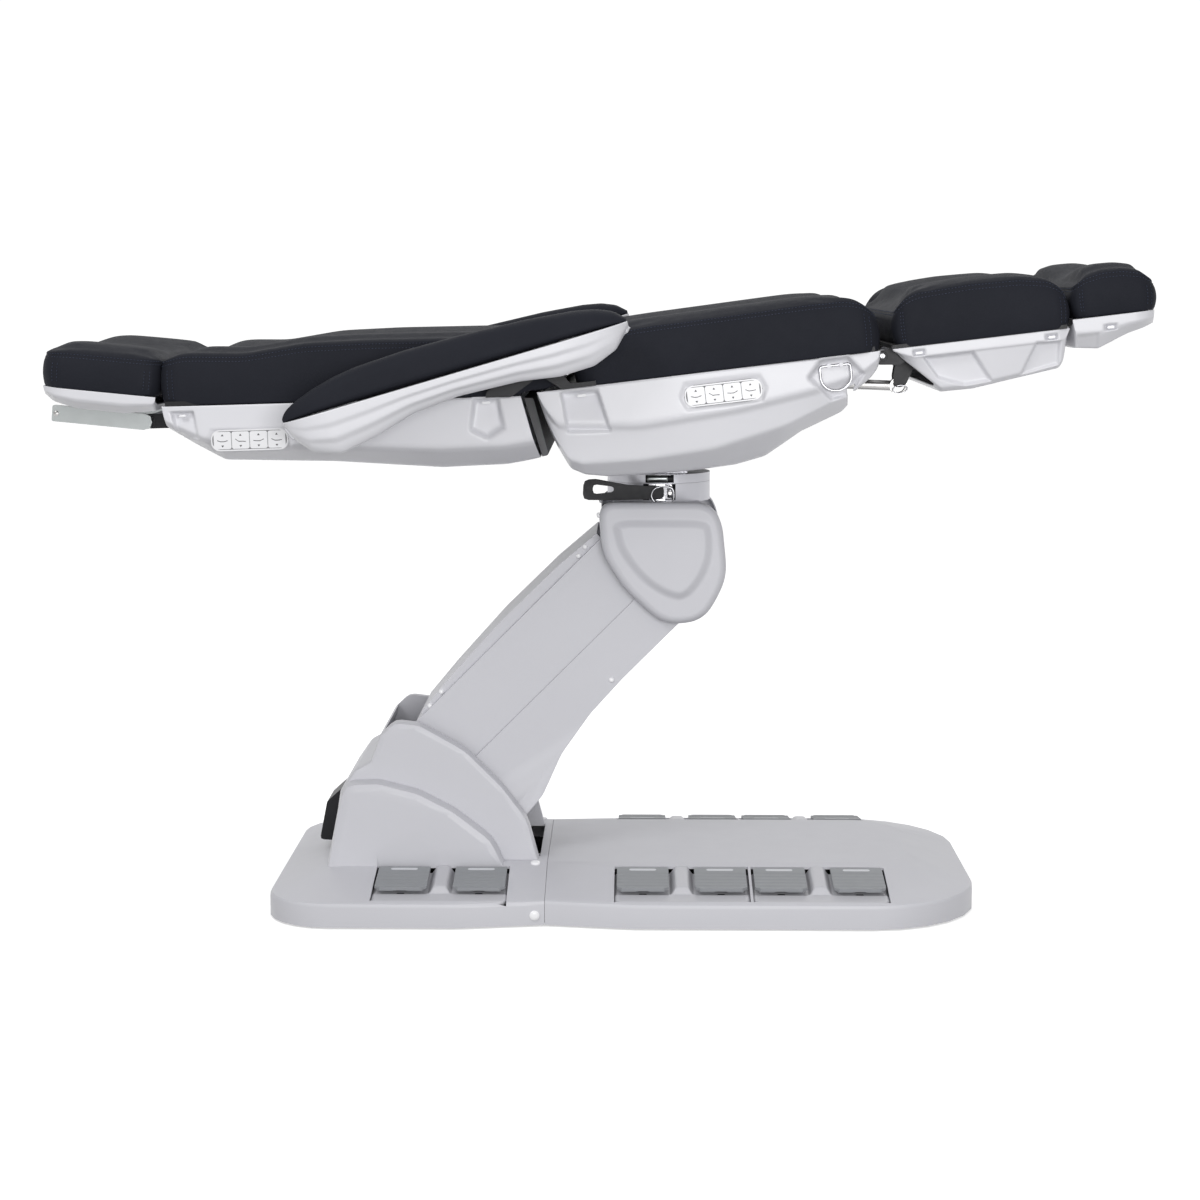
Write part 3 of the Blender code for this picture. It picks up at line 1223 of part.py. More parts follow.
ARM_PIVOT = on_back(ARM_PIVOT_BACK, ARM_PIVOT_DROP)
ARM_FRAME = offset_frame(ARM_PIVOT, ARM_PIVOT_S, -ARM_PIVOT_H, ARMREST_ANGLE)
HEAD_PIVOT = on_back(HEAD_PIVOT_BACK, HEAD_PIVOT_DROP)
HEAD_FRAME = offset_frame(HEAD_PIVOT, -HEAD_PIN_S, -HEAD_PIN_H, HEAD_ANGLE)
LEG_HINGE = on_seat(LEG_HINGE_S, -LEG_HINGE_H)
LEG_FRAME = section_frame(LEG_HINGE[0], LEG_HINGE[1], SEAT_ANGLE)

# Depth of the seat shell along its length, as (share of the length, share of the depth)
SEAT_SHARES = (
    (0.000, 0.03), (0.011, 0.26), (0.035, 0.56), (0.067, 0.82), (0.108, 0.90), (0.170, 0.95),
    (0.400, 1.00), (0.551, 1.00), (0.640, 0.950), (0.752, 0.73), (0.876, 0.589),
    (0.952, 0.350), (0.995, 0.17), (1.000, 0.03),
)
# The same for the back, from its head end
BACK_SHARES = (
    (0.000, 0.03), (0.002, 0.30), (0.080, 0.56), (0.158, 0.80), (0.466, 0.864), (0.770, 1.00),
    (0.936, 0.985), (1.000, 0.90),
)


def seat_half(s):
    """Half width of the seat shell, a little waisted and drawn in at the leg end."""
    share = min(max(s / SEAT_LENGTH, 0.0), 1.0)
    waist = SEAT_HALF * 0.026 * math.sin(math.pi * share)
    end = SEAT_HALF * 0.07 * max(0.0, share - 0.75) / 0.25
    return SEAT_HALF - waist - end


def back_half(s):
    """Half width of the back shell, which narrows towards the headrest."""
    share = min(max(-s / BACK_LENGTH, 0.0), 1.0)
    return BACK_HALF - BACK_HALF * 0.04 * share ** 3


# Corners of the pockets in the seat's sides: round a D-ring in shares of the ring's width,
# and at the head end in shares of the pocket's half length
D_POCKET_SHARES = (
    (-0.865, -0.577, 0.115), (-0.192, -1.346, 0.192), (0.385, -1.269, 0.192), (0.846, -0.654, 0.115),
    (0.423, -0.077, 0.115), (-0.423, -0.077, 0.115),
)
HOOK_POCKET_SHARES = ((-0.765, -2.0, 0.353), (0.882, -2.294, 0.353), (1.0, -0.529, 0.353), (-1.0, -0.294, 0.353))


def d_ring_place(side):
    """Middle of a D-ring's top wire, along, across and above the seat."""
    s = SEAT_LENGTH * 0.865
    floor = seat_half(s + D_RING_W * 0.77) - POCKET_DEPTH
    return Vector((s, side * (floor + D_WIRE_R * 2.4), -D_RING_DROP))


def seat_parts():
    """Moulded shell, frame with its hinge ears, cushion and keypads of the seat."""
    profile = [(s * SEAT_LENGTH, s * SEAT_LENGTH, d * SEAT_DEPTH) for s, d in SEAT_SHARES]
    cover = tub("seat_cover", profile, seat_half, 0.0, WHITE, SEAT_FRAME)
    window = RING_R + WINDOW_PLAY
    cut(cover, block("turntable_window", (SEAT_PIVOT_S - window - WINDOW_HEAD, -window, -SEAT_DEPTH - OVER),
                     (SEAT_PIVOT_S + window, window, -SEAT_DEPTH * 0.75), WHITE, SEAT_FRAME))
    mouth = LEG_EAR_Y + LEG_EAR_T * 3
    cut(cover, block("leg_mouth", (SEAT_LENGTH * 0.90, -mouth, -SEAT_DEPTH),
                     (SEAT_LENGTH + OVER, mouth, OVER), WHITE, SEAT_FRAME))
    s = d_ring_place(1.0).x
    recess(cover, SEAT_FRAME, placed(D_POCKET_SHARES, D_RING_W, s), seat_half(s + D_RING_W * 0.77), POCKET_DEPTH, WHITE)
    s = SEAT_LENGTH * 0.127
    recess(cover, SEAT_FRAME, placed(HOOK_POCKET_SHARES, HOOK_POCKET, s), seat_half(s + HOOK_POCKET),
           POCKET_DEPTH * 0.7, WHITE)
    key_s = SEAT_LENGTH * 0.535
    key_h = -SEAT_DEPTH * 0.225
    face = seat_half(key_s) - KEYPAD_SINK * 0.3
    recess(cover, SEAT_FRAME, inset(racetrack(key_s, key_h, KEYPAD_W, KEYPAD_H), -CLEAR * 3), face,
           KEYPAD_SINK, WHITE)
    both_sides(lambda side, word: keypad(f"seat_keypad_{word}", key_s, key_h, side, face, SEAT_FRAME))

    half = seat_half(SEAT_LENGTH) - SINK
    low = CLEAR
    high = CLEAR + BOARD_T
    frame = block("seat_frame", (SEAT_BOARD_S, -half, low), (SEAT_LENGTH * 0.985, half, high), BLACK, SEAT_FRAME)
    lug = [
        (SEAT_PIVOT_S - TILT_LUG_R * 2, low + SINK, 0.0),
        (SEAT_PIVOT_S - TILT_LUG_R, -SEAT_PIVOT_H - TILT_LUG_R, TILT_LUG_R),
        (SEAT_PIVOT_S + TILT_LUG_R, -SEAT_PIVOT_H - TILT_LUG_R, TILT_LUG_R),
        (SEAT_PIVOT_S + TILT_LUG_R * 2, low + SINK, 0.0),
    ]
    ear = [
        (BACK_HINGE_S - EAR_R, BACK_HINGE_H + EAR_R, EAR_R),
        (BACK_HINGE_S - EAR_R, BACK_HINGE_H - EAR_R, EAR_R),
        (SEAT_BOARD_S + SINK, low, EAR_T * 0.6),
        (SEAT_BOARD_S + EAR_R * 4, low, 0.0),
        (SEAT_BOARD_S + EAR_R * 4, high, 0.0),
        (SEAT_BOARD_S + EAR_R, high, EAR_R * 0.7),
        (BACK_HINGE_S + EAR_R, BACK_HINGE_H + EAR_R, EAR_R),
    ]
    hinge_s = LEG_HINGE_S
    hinge_h = -LEG_HINGE_H
    leg_ear = [
        (SEAT_LENGTH * 0.87, low + SINK, 0.0),
        (SEAT_LENGTH * 0.89, hinge_h - LEG_BOLT_R, LEG_BOLT_R * 1.25),
        (hinge_s + LEG_BOLT_R, hinge_h - LEG_BOLT_R * 1.5, LEG_BOLT_R * 1.3),
        (hinge_s + LEG_BOLT_R * 1.5, hinge_h + LEG_BOLT_R, LEG_BOLT_R * 1.2),
        (SEAT_LENGTH * 0.98, low + SINK, 0.0),
    ]
    for side in (-1.0, 1.0):
        y_low, y_high = sorted((side * TILT_LUG_Y, side * (TILT_LUG_Y + TILT_LUG_T)))
        join(frame, slab("tilt_lug", rounded(lug), y_low, y_high, BLACK, SEAT_FRAME))
        y_low, y_high = sorted((side * EAR_Y, side * (EAR_Y + EAR_T)))
        join(frame, slab("back_ear", rounded(ear), y_low, y_high, BLACK, SEAT_FRAME))
        y_low, y_high = sorted((side * (half - SINK * 4), side * (EAR_Y + SINK)))
        join(frame, block("ear_tab", (SEAT_BOARD_S + SINK * 2, y_low, low + SINK / 2),
                          (SEAT_BOARD_S + EAR_R * 3.6, y_high, high - SINK / 2), BLACK, SEAT_FRAME))
        join(frame, rod("back_pin", HINGE_PIN_R, (BACK_HINGE_S, side * (EAR_Y + EAR_T / 2), BACK_HINGE_H),
                        (BACK_HINGE_S, side * (EAR_Y + EAR_T * 2 + RUN), BACK_HINGE_H), BLACK, SEAT_FRAME, 16))
        y_low, y_high = sorted((side * LEG_EAR_Y, side * (LEG_EAR_Y + LEG_EAR_T)))
        join(frame, slab("leg_ear", rounded(leg_ear), y_low, y_high, BLACK, SEAT_FRAME))
        join(frame, rod("leg_bolt", LEG_BOLT_R, (hinge_s, side * (LEG_EAR_Y + LEG_EAR_T / 2), hinge_h),
                        (hinge_s, side * (LEG_EAR_Y + LEG_EAR_T * 2 + RUN * 2), hinge_h), BLACK, SEAT_FRAME, 16))
    cut(frame, rod("tilt_bore", TILT_PIN_R + BORE_RUN, (SEAT_PIVOT_S, -TILT_LUG_Y - OVER * 2, -SEAT_PIVOT_H),
                   (SEAT_PIVOT_S, TILT_LUG_Y + OVER * 2, -SEAT_PIVOT_H), BLACK, SEAT_FRAME, 20))

    base = high + CLEAR
    wide = SEAT_HALF + PAD_OVER
    cushion("seat_cushion", [
        (SEAT_PAD_S, SEAT_PAD_S, wide - PAD_ROUND * 0.8, SEAT_PAD * 0.70, base),
        (SEAT_PAD_S + PAD_ROUND * 0.2, SEAT_PAD_S + PAD_ROUND * 0.2, wide - PAD_ROUND * 0.3, SEAT_PAD * 0.90, base),
        (SEAT_PAD_S + PAD_ROUND * 1.5, SEAT_PAD_S + PAD_ROUND * 1.1, wide, SEAT_PAD * 0.99, base),
        (SEAT_LENGTH * 0.30, SEAT_LENGTH * 0.28, wide - PAD_ROUND * 0.25, SEAT_PAD, base),
        (SEAT_LENGTH * 0.48, SEAT_LENGTH * 0.47, wide - PAD_ROUND * 0.5, SEAT_PAD * 0.97, base),
        (SEAT_LENGTH * 0.70, SEAT_LENGTH * 0.69, wide - PAD_ROUND * 0.5, SEAT_PAD, base),
        (SEAT_LENGTH * 0.86, SEAT_LENGTH * 0.86, wide - PAD_ROUND * 0.7, SEAT_PAD, base),
        (SEAT_LENGTH * 0.965, SEAT_LENGTH * 0.955, wide - PAD_ROUND, SEAT_PAD * 0.90, base),
        (SEAT_LENGTH * 0.998, SEAT_LENGTH * 0.990, wide - PAD_ROUND * 1.4, SEAT_PAD * 0.66, base),
    ], HIDE, SEAT_FRAME, PAD_VALLEY, PAD_DRAWN)
    return cover


def d_ring(side, word):
    """A D-shaped wire loop that hangs from a staple in the seat's side recess."""
    s, y, top = d_ring_place(side)
    half = D_RING_W / 2
    bend = D_RING_H * 0.45
    outline = rounded([
        (s - half, top, D_WIRE_R * 2), (s - half * 0.92, top - D_RING_H * 0.55, bend),
        (s - half * 0.25, top - D_RING_H, bend), (s + half * 0.25, top - D_RING_H, bend),
        (s + half * 0.92, top - D_RING_H * 0.55, bend), (s + half, top, D_WIRE_R * 2),
    ])
    curve = bpy.data.curves.new("d_ring", "CURVE")
    curve.dimensions = "3D"
    curve.bevel_depth = D_WIRE_R
    curve.bevel_resolution = 1
    spline = curve.splines.new("POLY")
    spline.points.add(len(outline) - 1)
    for point, place in zip(spline.points, outline):
        point.co = (place[0], y, place[1], 1.0)
    spline.use_cyclic_u = True
    wire = bpy.data.objects.new("d_ring_curve", curve)
    TABLE.objects.link(wire)
    mesh = baked(wire)
    bpy.data.objects.remove(wire)
    return add_object(f"d_ring_{word}", mesh, CHROME, SEAT_FRAME)


def d_ring_staples(cover):
    """Eyes in the seat's side recesses that the D-rings hang in."""
    hole = D_WIRE_R + RUN / 3
    reach = D_RING_W * 0.19
    for side, _ in SIDES:
        s, y, top = d_ring_place(side)
        low, high = sorted((y - side * (D_WIRE_R * 2.4 + SINK), y + side * (hole + D_WIRE_R)))
        staple = block("staple", (s - reach, low, top - hole - D_WIRE_R), (s + reach, high, top + hole + D_WIRE_R),
                       WHITE, SEAT_FRAME)
        cut(staple, rod("eye", hole, (s - OVER, y, top), (s + OVER, y, top), WHITE, SEAT_FRAME, 12))
        join(cover, staple)


# Corners of the pockets near the head end and the seat end of the back, in shares of their half length
HEAD_POCKET_SHARES = ((-0.8, -2.6, 0.3), (1.0, -2.7, 0.3), (1.0, -0.6, 0.3), (-0.8, -0.6, 0.3))
SEAT_POCKET_SHARES = ((-1.0, -3.0, 0.3), (1.1, -3.0, 0.3), (1.1, -0.2, 0.15), (-1.0, -0.2, 0.15))
# Height and place of the back cushion's stations from its head end, as (share of the length, share of the
# height, share of the rounding by which it is narrower)
BACK_PAD_SHARES = (
    (0.0, 0.62, 1.5), (0.01, 0.80, 1.0), (0.054, 0.88, 0.6), (0.127, 0.88, 0.5), (0.232, 0.80, 0.4),
    (0.398, 0.94, 0.2), (0.54, 0.98, 0.1), (0.80, 1.02, 0.0), (0.94, 1.00, 0.0),
)


def back_parts():
    """Moulded shell, frame with its hinge ears and arm shaft, cushion, keypads and gap cover of the back."""
    profile = [(-BACK_LENGTH * (1.0 - s), -BACK_LENGTH * (1.0 - s), d * BACK_DEPTH) for s, d in BACK_SHARES]
    profile[-1] = (0.0, BACK_PIN_S * 0.9, profile[-1][2])
    profile[-2] = (profile[-2][0], profile[-2][0] * 0.8, profile[-2][2])
    cover = tub("back_cover", profile, back_half, 0.0, WHITE, BACK_FRAME, levels=(
        (0.0, 0.0, 0.0), (0.40, 0.02, 0.35), (0.48, 0.06, 0.45), (0.84, 0.55, 0.82), (1.0, 1.0, 1.0)))
    arm_s = BACK_PIN_S - ARM_PIVOT_BACK
    arm_h = BACK_PIN_H - ARM_PIVOT_DROP
    cut(cover, rod("shaft_hole", ARM_SHAFT_R + RUN, (arm_s, -ARM_INNER, arm_h), (arm_s, ARM_INNER, arm_h), WHITE,
                   BACK_FRAME, 16))
    key_s = -BACK_LENGTH * 0.757
    key_h = -BACK_DEPTH * 0.49
    face = back_half(key_s) - KEYPAD_SINK * 2.2
    recess(cover, BACK_FRAME, inset(racetrack(key_s, key_h, KEYPAD_W, KEYPAD_H * 0.9), -CLEAR * 3), face,
           KEYPAD_SINK, WHITE)
    both_sides(lambda side, word: slab(
        f"back_keypad_{word}", rounded(racetrack(key_s, key_h, KEYPAD_W, KEYPAD_H * 0.9)),
        *sorted((side * (face - KEYPAD_SINK + CLEAR), side * (face - KEYPAD_SINK + CLEAR + KEYPAD_T * 1.6))),
        DARK, BACK_FRAME))
    for place_share, shares, depth_share in ((0.943, HEAD_POCKET_SHARES, 0.6), (0.094, SEAT_POCKET_SHARES, 1.0)):
        s = -BACK_LENGTH * place_share
        recess(cover, BACK_FRAME, placed(shares, BACK_POCKET, s), back_half(s - BACK_POCKET),
               POCKET_DEPTH * depth_share, WHITE)
    pin_s = BACK_PIN_S - HEAD_PIVOT_BACK
    pin_h = BACK_PIN_H - HEAD_PIVOT_DROP
    bar = RAIL_H * 0.45
    for side in (-1.0, 1.0):
        low, high = sorted((side * (RAIL_Y - BRACKET_T - RUN * 2), side * (RAIL_Y + RUN)))
        cut(cover, block("bracket_slot", (-BACK_LENGTH - OVER, low, pin_h - bar - RUN),
                         (-BACK_LENGTH * 0.93, high, pin_h + bar + RUN), WHITE, BACK_FRAME))

    half = back_half(-BACK_LENGTH) - SINK
    low = CLEAR
    high = CLEAR + BOARD_T
    frame = block("back_frame", (-BACK_LENGTH * 0.99, -half, low), (-CLEAR, half, high), BLACK, BACK_FRAME)
    ear = [
        (-EAR_R * 4, low, 0.0),
        (-EAR_R, low, EAR_R * 0.7),
        (BACK_PIN_S + EAR_R, BACK_PIN_H - EAR_R, EAR_R),
        (BACK_PIN_S + EAR_R, BACK_PIN_H + EAR_R, EAR_R),
        (BACK_PIN_S - EAR_R, BACK_PIN_H + EAR_R, EAR_R),
        (-EAR_R * 4, high, EAR_R * 0.7),
    ]
    y_in = EAR_Y + EAR_T + RUN
    strut = [
        (arm_s - ARM_SHAFT_R * 3, low + SINK, 0.0),
        (arm_s - ARM_SHAFT_R * 1.4, arm_h - ARM_SHAFT_R * 1.4, ARM_SHAFT_R),
        (arm_s + ARM_SHAFT_R * 1.4, arm_h - ARM_SHAFT_R * 1.4, ARM_SHAFT_R),
        (arm_s + ARM_SHAFT_R * 3, low + SINK, 0.0),
    ]
    inner = BACK_HALF * 0.86
    for side in (-1.0, 1.0):
        y_low, y_high = sorted((side * y_in, side * (y_in + EAR_T)))
        join(frame, slab("seat_ear", rounded(ear), y_low, y_high, BLACK, BACK_FRAME))
        y_low, y_high = sorted((side * (half - SINK * 4), side * (y_in + SINK)))
        join(frame, block("ear_tab", (-EAR_R * 3.6, y_low, low + SINK / 2), (-EAR_R * 1.4, y_high, high - SINK / 2),
                          BLACK, BACK_FRAME))
        y_low, y_high = sorted((side * inner, side * (inner + EAR_T)))
        join(frame, slab("arm_strut", rounded(strut), y_low, y_high, BLACK, BACK_FRAME))
    join(frame, rod("arm_shaft", ARM_SHAFT_R, (arm_s, -ARM_INNER - ARM_WIDTH * 0.45, arm_h),
                    (arm_s, ARM_INNER + ARM_WIDTH * 0.45, arm_h), BLACK, BACK_FRAME, 16))
    cut(frame, rod("pin_bore", HINGE_PIN_R + BORE_RUN, (BACK_PIN_S, -ARM_INNER, BACK_PIN_H),
                   (BACK_PIN_S, ARM_INNER, BACK_PIN_H), BLACK, BACK_FRAME, 16))

    base = high + CLEAR
    wide = BACK_HALF + PAD_OVER
    stations = []
    for along_share, height_share, round_share in BACK_PAD_SHARES:
        s = -BACK_LENGTH * (1.0 - along_share)
        stations.append((s, s, wide - PAD_ROUND * round_share, BACK_PAD * height_share, base))
    for share in (0.0, 0.45, 0.78, 0.95):
        s = BACK_PIN_S + END_ROUND * share
        reach = END_ROUND * math.sqrt(1.0 - share ** 2)
        stations.append((s, s, wide - PAD_ROUND * 0.6 * share, reach * 2, BACK_PIN_H - reach))
    cushion("back_cushion", stations, HIDE, BACK_FRAME, PAD_VALLEY * 0.7, PAD_DRAWN * 0.9)

    slant = BACK_PIN_S / BACK_DEPTH
    cap = [
        (CLEAR * 2 + slant * GAP_TOP, -GAP_TOP, 0.0), (GAP_T + slant * GAP_TOP, -GAP_TOP, GAP_T * 0.2),
        (GAP_T * 0.75 + slant * BACK_DEPTH * 0.86, -BACK_DEPTH * 0.86, GAP_T * 0.2),
        (CLEAR * 2 + slant * BACK_DEPTH * 0.88, -BACK_DEPTH * 0.88, 0.0),
    ]
    slab("gap_cover", rounded(cap), -BACK_HALF * 0.8, BACK_HALF * 0.8, DARK, BACK_FRAME)


# Side view of an arm's shell and of its pad: (share of the length, share of the depth, radius in depths)
ARM_SHELL_SHARES = (
    (0.004, 0.0, 0.0), (0.007, -0.18, 0.055), (0.059, -0.77, 0.205), (0.134, -1.0, 0.247), (0.250, -0.82, 0.82),
    (0.380, -0.54, 0.82), (0.540, -0.51, 1.10), (0.760, -0.73, 0.68), (0.880, -0.73, 0.41), (0.975, -0.30, 0.137),
    (1.0, -0.12, 0.055), (0.990, 0.0, 0.0),
)
ARM_PAD_SHARES = (
    (0.990, 0.08, 0.074), (0.948, 0.50, 0.37), (0.855, 0.80, 1.1), (0.534, 1.0, 1.85), (0.236, 1.0, 1.1),
    (0.083, 0.60, 0.56), (0.002, 0.10, 0.074),
)


def armrest(side, word):
    """An arm: a moulded shell with a padded top, on the back's cross shaft."""
    length = ARMREST_LENGTH
    under = [(length * along, ARM_SHELL * up, ARM_SHELL * bend) for along, up, bend in ARM_SHELL_SHARES]
    over = [(length * along, ARM_PAD * up, ARM_PAD * bend) for along, up, bend in ARM_PAD_SHARES]
    over = [(under[0][0], CLEAR, 0.0), (under[-1][0], CLEAR, 0.0)] + over
    middle = Matrix.Translation((0.0, side * (ARM_INNER + ARM_WIDTH / 2), 0.0))
    frame = ARM_FRAME @ middle
    half = ARM_WIDTH / 2
    shell = soft_slab(f"armrest_shell_{word}", under, half, ARM_EDGE, WHITE, soft=False)
    shell.matrix_world = frame
    hollow = [(x, z if z < 0.0 else z + OVER, r) for x, z, r in inset(under, SKIN)]
    hollow[0] = (hollow[0][0], OVER, 0.0)
    hollow[-1] = (hollow[-1][0], OVER, 0.0)
    room = half - ARM_EDGE * 0.8
    cut(shell, slab("arm_hollow", rounded(hollow, 2), -room, room, WHITE, frame))
    join(shell, rod("boss", ARM_SHAFT_R * 1.7, (ARM_PIVOT_S, -room - SINK, -ARM_PIVOT_H),
                    (ARM_PIVOT_S, room + SINK, -ARM_PIVOT_H), WHITE, frame, 16))
    depth = ARM_WIDTH * 0.45 + CLEAR
    low, high = sorted((-side * half - side * OVER, -side * half + side * depth))
    cut(shell, rod("shaft_bore", ARM_SHAFT_R + BORE_RUN, (ARM_PIVOT_S, low, -ARM_PIVOT_H),
                   (ARM_PIVOT_S, high, -ARM_PIVOT_H), WHITE, frame, 16))
    pad = soft_slab(f"armrest_pad_{word}", over, half - SINK, ARM_EDGE * 1.4, HIDE)
    pad.matrix_world = frame
    return shell


def head_plan(s_share, y_share):
    """Distance along the headrest at a share of the half width, with the curved outer end."""
    return -HEAD_LENGTH * s_share - HEAD_BULGE * s_share * (1.0 - y_share ** 2)


def headrest_parts():
    """Shell, cushion, sliding bars and bracket of the headrest."""
    half = HEAD_HALF
    # Rows run across, from the foot end to the curved head end
    rows = []
    across = (-1.0, -0.97, -0.7, -0.35, 0.0, 0.35, 0.7, 0.97, 1.0)
    shares = ((0.02, 0.04), (0.03, 0.62), (0.35, 1.0), (0.80, 0.86), (0.965, 0.62), (1.0, 0.04))
    for s_share, depth_share in shares:
        row = []
        for y_share in across:
            edge = 1.0 if abs(y_share) < 0.99 else 0.0
            s = head_plan(s_share, y_share)
            depth = HEAD_SHELL * (depth_share * edge + 0.04 * (1.0 - edge))
            if abs(y_share) == 0.97:
                depth = HEAD_SHELL * depth_share * 0.7
            row.append((s, y_share * half, -depth))
        rows.append(row)
    cover = sheet_shell("headrest_cover", rows, SKIN * 0.8, WHITE, HEAD_FRAME)
    rail_low = -HEAD_PIN_H - RAIL_H * 0.5
    rail_top = -HEAD_PIN_H + RAIL_H * 0.5
    for side in (-1.0, 1.0):
        low, high = sorted((side * (RAIL_Y - RAIL_W / 2), side * (RAIL_Y + RAIL_W * 1.5)))
        for s in (-HEAD_LENGTH * 0.42, -HEAD_LENGTH * 0.66):
            join(cover, block("guide", (s - RAIL_H * 0.57, low, rail_top + CLEAR),
                              (s + RAIL_H * 0.57, high, -HEAD_SHELL * 0.80), WHITE, HEAD_FRAME))

    rings = []
    base = SINK
    for s_share, height_share, round_share in (
            (0.015, 0.70, 0.9), (0.035, 0.93, 0.4), (0.16, 1.0, 0.0), (0.50, 0.98, 0.0), (0.84, 0.98, 0.2),
            (0.96, 0.90, 0.7), (1.0, 0.60, 1.3)):
        near = [(head_plan(s_share, y / half), -y, base + h) for y, h in pad_profile(
            half + PAD_OVER - PAD_ROUND * round_share, HEAD_PAD * height_share, PAD_VALLEY * 0.4, PAD_DRAWN * 0.8)]
        rings.append(near + [(s, -y, h) for s, y, h in reversed(near[:-1])])
    loft("headrest_cushion", rings, HIDE, HEAD_FRAME)

    start = -HEAD_PIN_S - RAIL_LENGTH
    profile = [
        (start, rail_low, RAIL_W / 4), (-HEAD_PIN_S + RAIL_H * 0.5, rail_low, RAIL_H * 0.5),
        (-HEAD_PIN_S + RAIL_H * 0.5, rail_top, RAIL_H * 0.5), (start, rail_top, RAIL_W / 4),
    ]
    rail = rod("headrest_rail", HEAD_PIN_R * 1.6, (-HEAD_PIN_S, -RAIL_Y - SINK, -HEAD_PIN_H),
               (-HEAD_PIN_S, RAIL_Y + SINK, -HEAD_PIN_H), ZINC, HEAD_FRAME, 16)
    for side in (-1.0, 1.0):
        low, high = sorted((side * RAIL_Y, side * (RAIL_Y + RAIL_W)))
        join(rail, slab("rail_bar", rounded(profile), low, high, ZINC, HEAD_FRAME))

    pin_s = BACK_PIN_S - HEAD_PIVOT_BACK
    pin_h = BACK_PIN_H - HEAD_PIVOT_DROP
    bar = RAIL_H * 0.45
    inside = -BACK_LENGTH * 0.90
    arm = [
        (pin_s - bar * 1.3, pin_h - bar, bar), (inside, pin_h - bar, BRACKET_T * 0.67), (inside, -CLEAR, 0.0),
        (inside - RAIL_H * 1.07, -CLEAR, 0.0), (inside - RAIL_H * 1.14, pin_h + bar, BRACKET_T / 3),
        (pin_s - bar * 1.3, pin_h + bar, bar),
    ]
    span = RAIL_Y - RUN - BRACKET_T / 2
    bracket = block("headrest_bracket", (inside - RAIL_H * 0.93, -span, -BRACKET_T),
                    (inside - SINK * 2, span, -CLEAR * 2), BLACK, BACK_FRAME)
    hole = HEAD_PIN_R * 1.6 + BORE_RUN
    for side in (-1.0, 1.0):
        low, high = sorted((side * (RAIL_Y - RUN), side * (RAIL_Y - RUN - BRACKET_T)))
        join(bracket, slab("bracket_arm", rounded(arm), low, high, BLACK, BACK_FRAME))
    cut(bracket, rod("pin_bore", hole, (pin_s, -RAIL_Y, pin_h), (pin_s, RAIL_Y, pin_h), BLACK, BACK_FRAME, 16))


# Stations of the leg cushion, written as the back cushion's
LEG_PAD_SHARES = (
    (0.0, 0.74, 1.0), (0.029, 0.93, 0.5), (0.122, 0.985, 0.1), (0.436, 1.0, 0.0), (0.727, 0.98, 0.1),
    (0.935, 0.88, 0.3), (0.989, 0.70, 0.7), (1.0, 0.52, 1.1),
)


